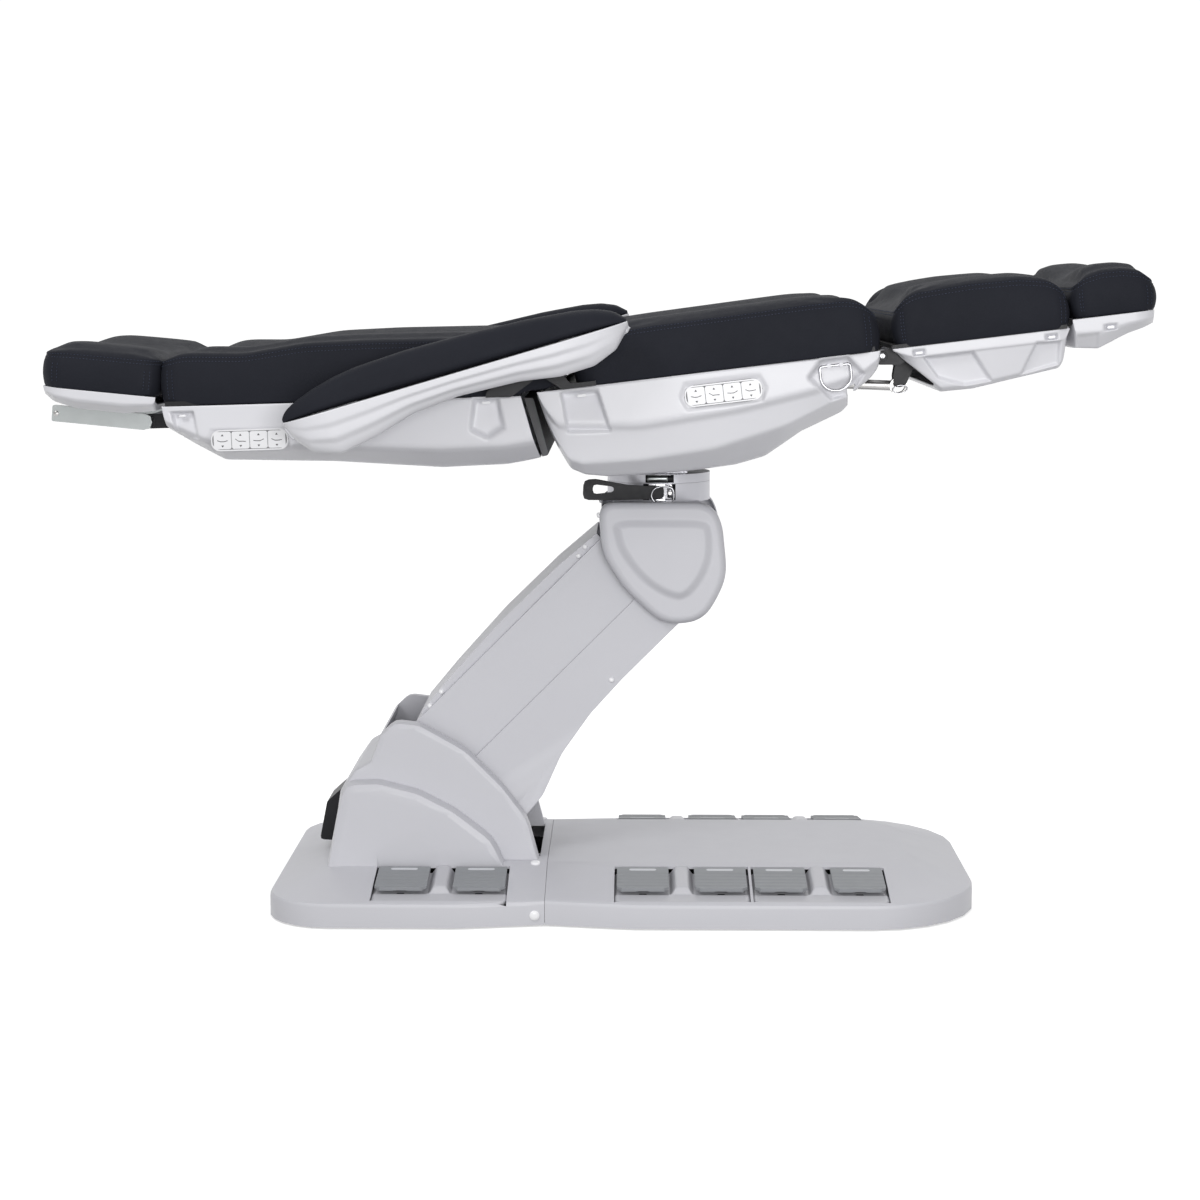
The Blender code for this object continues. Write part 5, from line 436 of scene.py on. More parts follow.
def round_plan(uv, start, stop, half_at, corner, bulge_low, bulge_high):
    """Places on a rounded plan outline for perimeter points of the unit square."""
    middle, reach = (start + stop) / 2, (stop - start) / 2
    s = middle + uv[:, 0] * reach
    half = half_at(s)
    y = uv[:, 1] * half
    ds = np.abs(s - middle) - (reach - corner)
    dy = np.abs(y) - (half - corner)
    inside = (ds > 0) & (dy > 0)
    angle = np.arctan2(dy, ds)
    s = np.where(inside, middle + np.sign(uv[:, 0]) * (reach - corner + corner * np.cos(angle)), s)
    y = np.where(inside, np.sign(uv[:, 1]) * (half - corner + corner * np.sin(angle)), y)
    end = (s - middle) / reach
    swell = 1.0 - (y / half_at(np.array([middle]))[0]) ** 2
    s = s + swell * np.where(end > 0, bulge_high * end ** 4, -bulge_low * end ** 4)
    return np.stack((s, y), axis=1)


def loop_normals(loop):
    ahead = np.roll(loop, -1, axis=0) - np.roll(loop, 1, axis=0)
    normal = np.stack((ahead[:, 1], -ahead[:, 0]), axis=1)
    return normal / np.linalg.norm(normal, axis=1)[:, None]


CUSHION_CELL = 0.008
TUCK = 0.0012
INSIDE_GAP = 0.0022
ROLL_ROWS = 5
CROWN_FALL = 0.16
RIDGE_SHARE = 0.70


def half_width(points):
    """The half width along a cushion, from one number or from points along it."""
    if isinstance(points, float):
        return lambda s: np.full(np.shape(s), points)
    return lambda s: curve_through(points, s)


def cushion_mesh(spec):
    """Rows of a closed cushion: side rings, a rolled edge and a contoured top on one grid.

    Gives the places, the faces, the index of the seam ring's first point and the loop's length.
    The top rises over its rolled edge to a ridge at each side and falls to a shallow valley between them.
    """
    start, stop = spec["span"]
    half_at = half_width(spec["half"])
    middle = (start + stop) / 2
    count_s = max(int((stop - start) / CUSHION_CELL), 8)
    count_y = max(int(2 * half_at(np.array([middle]))[0] / CUSHION_CELL), 8)
    outline = round_plan(plan_loop(count_s, count_y), start, stop, half_at, spec["corner"], *spec["bulge"])
    normal = loop_normals(outline)
    total = len(outline)
    roll, base, roll_rise = spec["roll"], spec["base"], spec["roll_rise"]
    ridge, valley = spec["crown"]
    wall = curve_through(spec["wall"], outline[:, 0])
    rows = max(int(np.mean(wall) / CUSHION_CELL), 4)
    skirt = spec["skirt"] * step((spec["skirt_end"] - outline[:, 0]) / 0.02)
    inside = outline - normal * (TUCK + INSIDE_GAP)
    rings = [(inside, np.full(total, base)), (inside, base - skirt)]
    for k in range(rows + 1):
        t = k / rows
        swell = spec["swell"] * math.sin(math.pi * t) - TUCK * (1.0 - t) ** 4
        rings.append((outline + normal * swell, base - skirt * (1.0 - t) + wall * t))
    seam = (len(rings) - 1) * total
    for k in range(1, ROLL_ROWS + 1):
        turn = math.pi / 2 * k / ROLL_ROWS
        rings.append((outline - normal * roll * (1.0 - math.cos(turn)),
                      base + wall + roll * roll_rise * math.sin(turn)))
    verts = [np.column_stack((ring[:, 0], ring[:, 1], h)) for ring, h in rings]
    faces = []
    for r in range(len(rings) - 1):
        a = r * total + np.arange(total)
        b = r * total + (np.arange(total) + 1) % total
        faces += np.stack((a, b, b + total, a + total), axis=1).tolist()

    # Each inner point of the grid lies on a line from the middle to a place on the rim
    i, j = np.indices((count_s + 1, count_y + 1))
    inner = (i > 0) & (i < count_s) & (j > 0) & (j < count_y)
    rim_index = np.select([j == 0, i == count_s, j == count_y],
                          [i, count_s + j, 2 * count_s + count_y - i], total - j)
    u = np.linspace(-1.0, 1.0, count_s + 1)[i[inner]]
    v = np.linspace(-1.0, 1.0, count_y + 1)[j[inner]]
    m = np.maximum(np.abs(u), np.abs(v))
    u, v = u / np.maximum(m, 1e-9), v / np.maximum(m, 1e-9)
    t_s, t_y = (u + 1.0) / 2 * count_s, (v + 1.0) / 2 * count_y
    on_side = np.abs(np.abs(v) - 1.0) < 1e-9
    rim_at = np.select([on_side & (v < 0), on_side, u > 0],
                       [t_s, count_s + count_y + (count_s - t_s), count_s + t_y],
                       2 * count_s + count_y + (count_y - t_y))
    low = np.floor(rim_at + 1e-9)
    share = rim_at - low
    low = low.astype(int) % total
    high = (low + 1) % total
    centre = np.array([middle, 0.0])

    def closed(number, height_at):
        """Closes a ring with a grid and gives its faces."""
        loop, heights = rings[number]
        rim_place = loop[low] * (1 - share)[:, None] + loop[high] * share[:, None]
        rim = heights[low] * (1 - share) + heights[high] * share
        place = centre + (rim_place - centre) * m[:, None]
        index = number * total + rim_index
        index[inner] = sum(len(block) for block in verts) + np.arange(len(m))
        verts.append(np.column_stack((place, height_at(place[:, 0], place[:, 1], rim))))
        return np.stack((index[:-1, :-1], index[1:, :-1], index[1:, 1:], index[:-1, 1:]), axis=-1).reshape(-1, 4)

    def top_height(s, y, rim):
        own = base + curve_through(spec["wall"], s) + roll * roll_rise
        near_rim = step((m - 0.80) / 0.20)
        valley_here = valley * step(1.0 - np.abs(y) / half_at(s) / RIDGE_SHARE)
        return own * (1.0 - near_rim) + rim * near_rim + step((1.0 - m) / CROWN_FALL) * (ridge - valley_here)

    faces += closed(len(rings) - 1, top_height).tolist()
    faces += closed(0, lambda s, y, rim: np.full(len(s), base))[:, ::-1].tolist()
    places = np.concatenate(verts)
    if "round_end" in spec:
        place, radius = spec["round_end"]
        away = places[:, (0, 2)] - place
        far = np.linalg.norm(away, axis=1)
        past = (away[:, 0] > 0.0) & (far > radius)
        places[np.ix_(past, (0, 2))] = place + away[past] * (radius / far[past])[:, None]
    return places, faces, seam, total


CLOTH_FRAMES = 16
CLOTH_SETTINGS = {
    "quality": 5, "mass": 0.4, "tension_stiffness": 18.0, "compression_stiffness": 18.0, "shear_stiffness": 8.0,
    "bending_stiffness": 1.2, "use_pressure": True, "uniform_pressure_force": 3.0, "vertex_group_mass": "pinned",
}


def points_of(thing, what="co"):
    return np.array([getattr(v, what) for v in thing.data.vertices])


def puff(thing, pinned, cap):
    """Swells the upholstery between its seams with a cloth simulation, and applies it."""
    rest = points_of(thing)
    group = thing.vertex_groups.new(name="pinned")
    group.add([int(i) for i in np.nonzero(pinned)[0]], 1.0, "REPLACE")
    cloth = thing.modifiers.new("cloth", "CLOTH")
    for key, value in CLOTH_SETTINGS.items():
        setattr(cloth.settings, key, value)
    cloth.settings.effector_weights.gravity = 0.0
    cloth.point_cache.frame_start = 1
    cloth.point_cache.frame_end = CLOTH_FRAMES
    scene = bpy.context.scene
    for number in range(1, CLOTH_FRAMES + 1):
        scene.frame_set(number)
    applied(thing)
    scene.frame_set(1)
    moved = points_of(thing) - rest
    length = np.linalg.norm(moved, axis=1)
    keep = cap * np.tanh(length / cap) / np.maximum(length, 1e-9)
    set_points(thing, rest + moved * keep[:, None])
    thing.vertex_groups.clear()
    thing.data.update()


def set_points(thing, places):
    thing.data.vertices.foreach_set("co", places.astype(np.float32).ravel())


STITCH_PITCH = 0.0055
STITCH_LENGTH = 0.0038
STITCH_WIDTH = 0.0011
STITCH_FACES = ((0, 1, 5), (1, 4, 5), (1, 6, 4), (1, 2, 6), (2, 3, 6), (3, 4, 6), (3, 5, 4), (3, 0, 5), (0, 3, 2, 1))


def stitches(name, line, normals, body):
    """A row of thread stitches lying along a line, each a small raised lozenge."""
    along = np.concatenate(([0.0], np.cumsum(np.linalg.norm(np.diff(line, axis=0), axis=1))))

    def at(t, rows):
        return np.array([np.interp(t, along, rows[:, c]) for c in range(3)])

    verts, faces = [], []
    for k in range(int(along[-1] / STITCH_PITCH)):
        a = k * STITCH_PITCH + (STITCH_PITCH - STITCH_LENGTH) / 2
        b = k * STITCH_PITCH + (STITCH_PITCH + STITCH_LENGTH) / 2
        start, end, up = at(a, line), at(b, line), at((a + b) / 2, normals)
        up /= np.linalg.norm(up)
        side = np.cross(up, end - start)
        side *= STITCH_WIDTH / 2 / max(np.linalg.norm(side), 1e-9)
        middle = (start + end) / 2
        sunk = up * STITCH_WIDTH * 0.3
        first = len(verts)
        verts += [start - sunk, middle - side, end - sunk, middle + side, middle + up * STITCH_WIDTH * 0.45,
                  start * 0.7 + middle * 0.3 + sunk, end * 0.7 + middle * 0.3 + sunk]
        faces += [[first + i for i in face] for face in STITCH_FACES]
    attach(new_object(name, verts, faces, THREAD), body)


# Upholstery

# What the cushions share, and each cushion: heights and widths along it are (place, value) points
USUAL_CUSHION = {"seams": (0, 1, 2, 3), "bulge": (0.0, 0.0), "skirt_end": 9.0, "roll_rise": 0.55, "swell": 0.004,
                 "cap": 0.004}
CUSHIONS = {
    "seat": {
        "body": "seat", "frame": SEAT_FRAME, "span": (0.0655, 0.5635), "corner": 0.034, "bulge": (0.0, 0.003),
        "half": ((0.0, 0.307), (0.20, 0.301), (0.42, 0.297), (0.565, 0.290)),
        "wall": ((0.06, 0.068), (0.20, 0.073), (0.45, 0.077), (0.515, 0.076), (0.545, 0.067), (0.567, 0.044)),
        "base": 0.0088, "skirt": 0.0083, "roll": 0.017, "crown": (0.003, 0.018), "seams": (1, 2),
    },
    "back": {
        "body": "back", "frame": BACK_FRAME, "span": (-0.590, 0.079), "corner": 0.030, "bulge": (0.004, 0.0),
        "half": ((-0.59, 0.288), (-0.50, 0.296), (-0.30, 0.303), (-0.05, 0.307), (0.08, 0.300)),
        "wall": ((-0.60, 0.058), (-0.55, 0.070), (-0.45, 0.066), (-0.35, 0.080), (-0.24, 0.082), (-0.05, 0.080),
                 (0.03, 0.060), (0.08, 0.044)),
        "base": 0.0088, "skirt": 0.0083, "skirt_end": 0.012, "round_end": (np.array(BACK_PIN), 0.0475),
        "roll": 0.016, "crown": (0.008, 0.014), "seams": (0, 3),
    },
    "headrest": {
        "body": "headrest", "frame": HEAD_FRAME, "span": (-0.188, -0.003), "corner": 0.032, "bulge": (0.030, 0.0),
        "half": 0.286, "wall": ((-0.22, 0.048), (-0.19, 0.052), (-0.15, 0.055), (0.0, 0.056)),
        "base": 0.0012, "skirt": 0.0009, "roll": 0.014, "roll_rise": 0.6, "crown": (0.009, 0.015),
    },
    "leg": {
        "body": "legrest", "frame": LEG_FRAME, "span": (0.0245, 0.3065), "corner": 0.024, "half": 0.276,
        "wall": ((0.022, 0.048), (0.038, 0.066), (0.062, 0.076), (0.15, 0.080), (0.23, 0.078), (0.275, 0.070),
                 (0.295, 0.059), (0.309, 0.040)),
        "base": 0.0172, "skirt": 0.0068, "roll": 0.015, "swell": 0.005, "crown": (0.003, 0.017), "cap": 0.005,
    },
    "foot": {
        "body": "footrest", "frame": LEG_FRAME, "span": (0.3175, 0.449), "corner": 0.026, "bulge": (0.0, 0.010),
        "half": 0.272,
        "wall": ((0.315, 0.046), (0.335, 0.060), (0.365, 0.067), (0.40, 0.066), (0.43, 0.059), (0.452, 0.043)),
        "base": 0.0238, "skirt": 0.0003, "roll": 0.015, "swell": 0.005, "crown": (0.007, 0.015), "cap": 0.005,
    },
}
THREAD_LIFT = 0.0003


def upholster(part, spec):
    """One cushion: its form, its simulated swell, its seams and its thread."""
    name, body, frame = f"{part}_upholstery", spec["body"], spec["frame"]
    verts, faces, seam, total = cushion_mesh(spec)
    thing = new_object(name, verts, faces, HIDE)
    pinned = np.zeros(len(verts), bool)
    pinned[:total] = True
    pinned[seam:seam + total] = True
    pinned[verts[:, 2] <= spec["base"] + 1e-6] = True
    columns = seam_columns(spec, verts[seam:seam + total])
    for column in columns:
        pinned[column:seam + 1:total] = True
    puff(thing, pinned, spec["cap"])
    places, normals = points_of(thing), points_of(thing, "normal")
    sew(places, normals, seam, total, columns)
    set_points(thing, places)
    thing.data.transform(frame)
    padded(thing, body, f"{part}_cushion")
    turn = np.array(frame.to_3x3())
    world = places @ turn.T + np.array(frame.translation)
    world_normals = normals @ turn.T
    row = seam + np.arange(total + 1) % total
    for number, shift in enumerate((-0.45, 0.45)):
        stitches(f"{name}_seam_{number}", *shifted_line(world, world_normals, row, total, shift), body)
    for column in columns:
        index = np.arange(column + total * 3, seam + 1, total)
        up = world_normals[index]
        for number, side in enumerate((-1, 1)):
            other = np.where((index % total + side) % total == 0, index, index + side)
            line = world[index] * 0.35 + world[other] * 0.65
            stitches(f"{name}_corner_{column}_{number}", line + up * THREAD_LIFT, up, body)


def seam_columns(spec, loop):
    """Loop positions of the upright seams: just beside each wanted corner."""
    start, stop = spec["span"]
    near, far = start + spec["corner"] * 0.5, stop - spec["corner"] * 0.5
    wanted = {0: (near, -1), 1: (far, -1), 2: (far, 1), 3: (near, 1)}
    found = []
    for corner in spec["seams"]:
        s, side = wanted[corner]
        distance = np.abs(loop[:, 0] - s) + np.where(np.sign(loop[:, 1]) == side, 0.0, 9.0)
        found.append(int(distance.argmin()))
    return found


def sew(places, normals, seam, total, columns):
    """Draws the seam lines in and raises the fabric beside them a little."""
    for ring, depth in ((-1, 0.0004), (0, -0.0012), (1, 0.0006)):
        row = seam + ring * total + np.arange(total)
        places[row] += normals[row] * depth
    pull = RNG.uniform(-1.0, 1.0, total)
    pull = np.convolve(np.concatenate((pull[-2:], pull, pull[:2])), np.ones(5) / 5, "valid")
    for ring, depth in ((-2, 0.0006), (-1, 0.0009), (1, 0.0009), (2, 0.0006)):
        row = seam + ring * total + np.arange(total)
        places[row] += normals[row] * (pull * depth)[:, None]
    for column in columns:
        for side, depth in ((0, -0.0013), (-1, 0.0005), (1, 0.0005)):
            index = np.arange(column, seam, total) + side
            places[index] += normals[index] * depth


def shifted_line(world, normals, row, total, shift):
    """A line beside the seam ring, a share of a row above or below it."""
    other = row + (total if shift > 0 else -total)
    share = abs(shift)
    line = world[row] * (1 - share) + world[other] * share
    up = normals[row] * (1 - share) + normals[other] * share
    return line + up * 0.0003, up


def crowded(start, length, count):
    """Places along a length, closer together towards both ends."""
    return start + length * (0.5 - 0.5 * np.cos(np.linspace(0.0, math.pi, count)))


def arm_frame(side):
    return ARM_FRAME @ Matrix.Translation((0.0, side * ARM_MIDDLE, 0.0))


ARM_TOP = ((0.0, 0.005), (0.004, 0.013), (0.014, 0.021), (0.030, 0.029), (0.062, 0.040), (0.100, 0.049),
           (0.137, 0.054), (0.220, 0.057), (0.310, 0.055), (0.420, 0.049), (0.496, 0.041), (0.530, 0.034),
           (0.556, 0.023), (0.572, 0.008))
PAD_GAP = 0.0006


def arm_pad(side, word):
    """Rounded pad on an arm: full at the rear, slimmer at the tip, with soft shoulders."""
    count, across = 110, 28
    s = crowded(0.002, 0.571, count)
    top = curve_through(ARM_TOP, s, 9) - PAD_GAP
    half = arm_half(s) - PAD_GAP
    verts = []
    for i in range(count):
        for k in range(across + 1):
            turn = math.pi * k / across
            y = -math.cos(turn)
            y = half[i] * math.copysign(abs(y) ** 0.72, y)
            verts.append((s[i], y, PAD_GAP + top[i] * math.sin(turn) ** 0.62))
    faces = []
    width = across + 1
    for a in range(0, (count - 1) * width, width):
        faces += [(a + k, a + k + width, a + k + width + 1, a + k + 1) for k in range(across)]
        faces.append((a + across, a + width + across, a + width, a))
    faces.append(tuple(range(width)))
    faces.append(tuple(reversed(range((count - 1) * width, count * width))))
    padded(new_object(f"arm_upholstery_{word}", verts, faces, HIDE, arm_frame(side)), f"armrest_{word}",
           f"armrest_pad_{word}")


def arm_half(s):
    """Half width of an arm: rounded in plan at both ends."""
    rear = np.sqrt(np.clip(1.0 - ((0.075 - s) / 0.082) ** 2, 0.0, 1.0))
    tip = np.sqrt(np.clip(1.0 - ((s - 0.50) / 0.084) ** 2, 0.0, 1.0))
    return ARM_HALF * np.where(s < 0.075, rear, np.where(s > 0.50, tip, 1.0))


# Mouldings

THICK_WALL = 0.0035
THIN_WALL = 0.003
# Depth of the keypads' recess and the width of its slope
KEYPAD_RECESS = (0.0025, 0.0035)
# The turntable's window in the seat's floor, counted from the tilt pin: rear end, front end and half width
WINDOW = (-0.140, 0.116, 0.116)
WINDOW_BELOW = -0.010
# The leg section's way in the seat's end: from this place, below this height, to this half width
LEG_WAY = (0.505, -0.012, 0.262)


def sheet(name, grid, material, matrix, thickness):
    """A dense open sheet through a grid of points, thickened inward."""
    rows, columns = grid.shape[:2]
    a = (np.arange(rows - 1)[:, None] * columns + np.arange(columns - 1)).ravel()
    faces = np.stack((a, a + 1, a + columns + 1, a + columns), axis=1).tolist()
    return thickened(new_object(name, grid.reshape(-1, 3), faces, material, matrix), thickness)


def cut_away(thing, gone):
    """Leaves out the points of a sheet for which gone says so."""
    bm = bmesh.new()
    bm.from_mesh(thing.data)
    bmesh.ops.delete(bm, geom=[v for v in bm.verts if gone(v.co)], context="VERTS")
    bm.to_mesh(thing.data)
    bm.free()


def eased(grid, times_s, times_y):
    """Rounds a grid's creases by averaging neighbours, with its borders kept."""
    grid = grid.copy()
    for axis, times in ((0, times_s), (1, times_y)):
        for _ in range(times):
            moved = np.moveaxis(grid, axis, 0)
            middle = (moved[:-2] + 2.0 * moved[1:-1] + moved[2:]) / 4.0
            moved[1:-1] = middle
    return grid


def polygon_distance(points, corners):
    """Signed distance of side-view points to a polygon, negative inside."""
    points = np.asarray(points, float)
    corners = np.asarray(corners, float)
    best = np.full(points.shape[:-1], 1e9)
    inside = np.zeros(points.shape[:-1], bool)
    for a, b in zip(corners, np.roll(corners, -1, axis=0)):
        edge = b - a
        w = points - a
        t = np.clip((w @ edge) / (edge @ edge), 0.0, 1.0)
        best = np.minimum(best, np.linalg.norm(w - t[..., None] * edge, axis=-1))
        crosses = (a[1] > points[..., 1]) != (b[1] > points[..., 1])
        x = a[0] + (points[..., 1] - a[1]) * edge[0] / (edge[1] if abs(edge[1]) > 1e-12 else 1e-12)
        inside ^= crosses & (points[..., 0] < x)
    return np.where(inside, -best, best)


# Pockets are pressed only where a sheet is further than this from its middle
WALLS_FROM = 0.2


def press(grid, corners, depth, ease, taper=0.0):
    """Presses a pocket of a side-view outline into both side walls of a sheet, shallower below by a taper."""
    distance = polygon_distance(grid[..., (0, 2)], corners)
    mask = step(-distance / ease + 0.5)
    if taper:
        low, high = min(c[1] for c in corners), max(c[1] for c in corners)
        mask = mask * (1.0 - taper * np.clip((high - grid[..., 2]) / (high - low), 0.0, 1.0))
    on_side = np.abs(grid[..., 1]) > WALLS_FROM
    grid[..., 1] -= np.sign(grid[..., 1]) * depth * mask * on_side


def section_rows(s, half, lines, floor):
    """A grid of section points: each line is (inset at s, height at s, samples to the next)."""
    wall = []
    for (inset_a, h_a, count), (inset_b, h_b, _) in zip(lines, lines[1:]):
        for k in range(count):
            t = k / count
            wall.append((inset_a * (1 - t) + inset_b * t, h_a * (1 - t) + h_b * t))
    inset, bottom, _ = lines[-1]
    wall.append((inset, bottom))
    y_end = half - inset
    rows = [(s, -(half - inset), h) for inset, h in wall]
    rows += [(s, y, bottom) for y in np.linspace(-y_end, y_end, floor + 2)[1:-1]]
    rows += [(s, half - inset, h) for inset, h in reversed(wall)]
    return np.array([np.broadcast_arrays(*row) for row in rows]).transpose(2, 0, 1)


SEAT_FLOOR = ((0.0, 0.006), (0.006, 0.042), (0.020, 0.091), (0.038, 0.134), (0.061, 0.147), (0.096, 0.155),
              (0.226, 0.163), (0.311, 0.163), (0.361, 0.155), (0.424, 0.119), (0.494, 0.096), (0.537, 0.057),
              (0.561, 0.028), (0.564, 0.006))
SEAT_RING_POCKET = ((0.040, -0.006), (0.098, -0.009), (0.112, -0.078), (0.042, -0.070))
SEAT_KEYPAD_FIELD = ((0.240, -0.0155), (0.364, -0.0155), (0.374, -0.037), (0.364, -0.0585), (0.240, -0.0585),
                     (0.230, -0.037))
SEAT_HOLLOW = ((0.443, -0.030), (0.466, -0.004), (0.510, -0.004), (0.533, -0.034), (0.508, -0.066), (0.478, -0.070))


def seat_shell():
    """Seat moulding: straight upper band, a soft crease, a leaning lower band and a dark underside."""
    s = np.linspace(0.0, SEAT_LENGTH, 230)
    depth = np.interp(s, *np.array(SEAT_FLOOR).T)
    half = curve_through(((0.0, 0.305), (0.28, 0.297), (0.42, 0.293), (0.564, 0.282)), s)
    upper = curve_through(((0.0, 0.052), (0.029, 0.059), (0.161, 0.076), (0.322, 0.068), (0.45, 0.052),
                           (0.564, 0.030)), s)
    upper = np.minimum(upper, depth * 0.52)
    lower = curve_through(((0.0, 0.122), (0.155, 0.131), (0.276, 0.127), (0.399, 0.103), (0.50, 0.066),
                           (0.564, 0.030)), s)
    lower = np.maximum(np.minimum(lower, depth * 0.86), upper + 0.004)
    lines = [
        (0.0, 0.0, 16),
        (0.0008, -upper + 0.003, 4),
        (0.009, -upper - 0.006, 16),
        (0.014 + (lower - upper) * 0.10, -lower, 12),
        (0.026 + (depth - lower) * 1.1, -depth, 1),
    ]
    grid = eased(section_rows(s, half, lines, 24), 2, 2)
    press(grid, SEAT_RING_POCKET, 0.024, 0.003, 0.62)
    press(grid, SEAT_KEYPAD_FIELD, *KEYPAD_RECESS)
    press(grid, SEAT_HOLLOW, 0.012, 0.008)
    thing = sheet("seat_moulding", grid, WHITE, SEAT_FRAME, THICK_WALL)
    axis = Vector(JOINTS["tilt"]["pos_m"])
    back = SEAT_FRAME.inverted()

    def in_opening(co):
        """In the turntable's window in the floor, or in the leg section's way in the end."""
        here = back @ co
        window = WINDOW[0] < co.x - axis.x < WINDOW[1] and abs(co.y) < WINDOW[2] and co.z < axis.z + WINDOW_BELOW
        return window or (here.x > LEG_WAY[0] and here.z < LEG_WAY[1] and abs(here.y) < LEG_WAY[2])

    cut_away(thing, in_opening)
    carried(thing, "seat", "white_moulding", "seat_cover")


BACK_FLOOR = ((-0.590, 0.004), (-0.589, 0.035), (-0.543, 0.066), (-0.497, 0.094), (-0.315, 0.102), (-0.136, 0.118),
              (-0.038, 0.116), (0.0, 0.106))
BACK_CREASE = ((-0.590, 0.030), (-0.50, 0.070), (-0.30, 0.076), (-0.10, 0.088), (0.0, 0.082))
BACK_KEYPAD_FIELD = ((-0.510, -0.040), (-0.384, -0.040), (-0.374, -0.0585), (-0.384, -0.0765), (-0.510, -0.0765),
                     (-0.520, -0.0585))
BACK_END_POCKET = ((-0.574, -0.010), (-0.538, -0.010), (-0.532, -0.056), (-0.566, -0.050))
BACK_HINGE_POCKET = ((-0.076, -0.004), (-0.038, -0.004), (-0.030, -0.050), (-0.056, -0.066), (-0.084, -0.052))


def back_shell():
    """Back moulding, waisted along its lower edge, with the keypads in a shallow recess."""
    share = np.linspace(0.0, 1.0, 240)
    s = -BACK_LENGTH * (1.0 - share)
    depth = np.interp(s, *np.array(BACK_FLOOR).T)
    half = BACK_HALF - BACK_HALF * 0.04 * (1.0 - share) ** 3
    upper = np.minimum(curve_through(BACK_CREASE, s), depth * 0.70)
    lines = [
        (0.0, 0.0, 20),
        (0.002, -upper + 0.003, 5),
        (0.012, -upper - 0.006, 14),
        (0.022 + (depth - upper) * 1.2, -depth, 1),
    ]
    grid = section_rows(s, half, lines, 24)
    foot = step((share - 0.90) / 0.10)[:, None]
    grid[..., 0] += foot * BACK_PIN[0] * 0.9 * (-grid[..., 2] / BACK_DEPTH)
    grid = eased(grid, 2, 2)
    press(grid, BACK_KEYPAD_FIELD, *KEYPAD_RECESS)
    press(grid, BACK_END_POCKET, 0.013, 0.005, 0.6)
    press(grid, BACK_HINGE_POCKET, 0.015, 0.007, 0.5)
    carried(sheet("back_moulding", grid, WHITE, BACK_FRAME, THICK_WALL), "back", "white_moulding", "back_cover")


ARM_FLOOR = ((0.0, 0.004), (0.010, 0.030), (0.034, 0.057), (0.078, 0.072), (0.141, 0.061), (0.207, 0.043),
             (0.283, 0.037), (0.383, 0.042), (0.448, 0.053), (0.505, 0.052), (0.545, 0.037), (0.576, 0.006))


def arm_shell(side, word):
    """Arm moulding with two long soft steps in its sides and a wavy lower edge."""
    s = crowded(0.002, 0.572, 190)
    depth = np.interp(s, *np.array(ARM_FLOOR).T)
    fade = step(s / 0.07) * step((0.56 - s) / 0.12)
    lines = []
    for t in np.linspace(0.0, 1.0, 30):
        steps = fade * (0.0035 * step((t - 0.26) / 0.12) + 0.005 * step((t - 0.60) / 0.16))
        lines.append((0.002 * t + 0.011 * t ** 6 + steps + 0.010 * t * (1.0 - fade), -depth * t, 1))
    grid = eased(section_rows(s, arm_half(s), lines, 8), 3, 1)
    carried(sheet(f"armrest_moulding_{word}", grid, WHITE, arm_frame(side), THIN_WALL), f"armrest_{word}",
            "white_moulding", f"armrest_shell_{word}")


def slot_outline(s, h, half=0.0095, height=0.0042):
    return ((s - half, h - height), (s + half, h - height), (s + half, h + height), (s - half, h + height))


HOOK_SLOT = (0.009, 0.003)
LEG_FLOOR = ((0.016, 0.003), (0.030, 0.022), (0.089, 0.080), (0.142, 0.081), (0.286, 0.064), (0.295, 0.053),
             (0.306, 0.004))
LEG_HOLLOW = ((0.066, -0.010), (0.146, -0.010), (0.172, -0.060), (0.128, -0.062), (0.086, -0.045))
LEG_END_HOLLOW = ((0.250, -0.008), (0.288, -0.010), (0.284, -0.046), (0.222, -0.056))


def leg_shell():
    """Leg moulding: a straight band under the cushion, slots for hooks, a raised field and hollows beside it."""
    s = np.linspace(0.016, 0.306, 150)
    depth = np.interp(s, *np.array(LEG_FLOOR).T)
    half = LEG_HALF - 0.006 * step((s - 0.28) / 0.026)
    band = np.minimum(0.017, depth * 0.4)
    lines = [(0.0, 0.010, 8), (0.0005, 0.010 - band, 3), (0.003, 0.008 - band, 22), (0.014, 0.018 - depth, 6),
             (0.026, 0.010 - depth, 1)]
    grid = eased(section_rows(s, half, lines, 26), 1, 1)
    press(grid, LEG_HOLLOW, 0.013, 0.006, 0.3)
    press(grid, LEG_END_HOLLOW, 0.010, 0.006, 0.3)
    for place in (0.058, 0.275):
        press(grid, slot_outline(place, -0.001), *HOOK_SLOT)
    thing = sheet("leg_moulding", grid, WHITE, LEG_FRAME, THIN_WALL)
    back = LEG_FRAME.inverted()
    cut_away(thing, lambda co: (back @ co).x < 0.078 and abs(co.y) < 0.256)
    carried(thing, "legrest", "white_moulding", "leg_cover")


def bowed(grid, share, out, half):
    """Curves the end rows of a sheet outward in plan."""
    grid[..., 0] += out * share[:, None] * (1.0 - np.clip(grid[..., 1] / half, -1.0, 1.0) ** 2)


def rounded_off(share, start, reach):
    """How far an end is rounded off in plan, from 0 at start to 1 a reach further."""
    return 1.0 - np.sqrt(np.clip(1.0 - ((share - start) / reach).clip(0.0) ** 2, 0.0, 1.0))


FOOT_DEPTHS = ((0.0, 0.03, 0.30, 0.66, 0.86, 0.985, 1.0), (0.05, 0.88, 0.98, 0.62, 0.50, 0.40, 0.05))
FOOT_HOLLOW = ((0.318, -0.004), (0.352, -0.004), (0.352, -0.030), (0.318, -0.034))
RUNNER = ((0.0, 0.0), (0.0082, 0.0), (0.009, 0.0008), (0.009, 0.215), (0.0, 0.215))


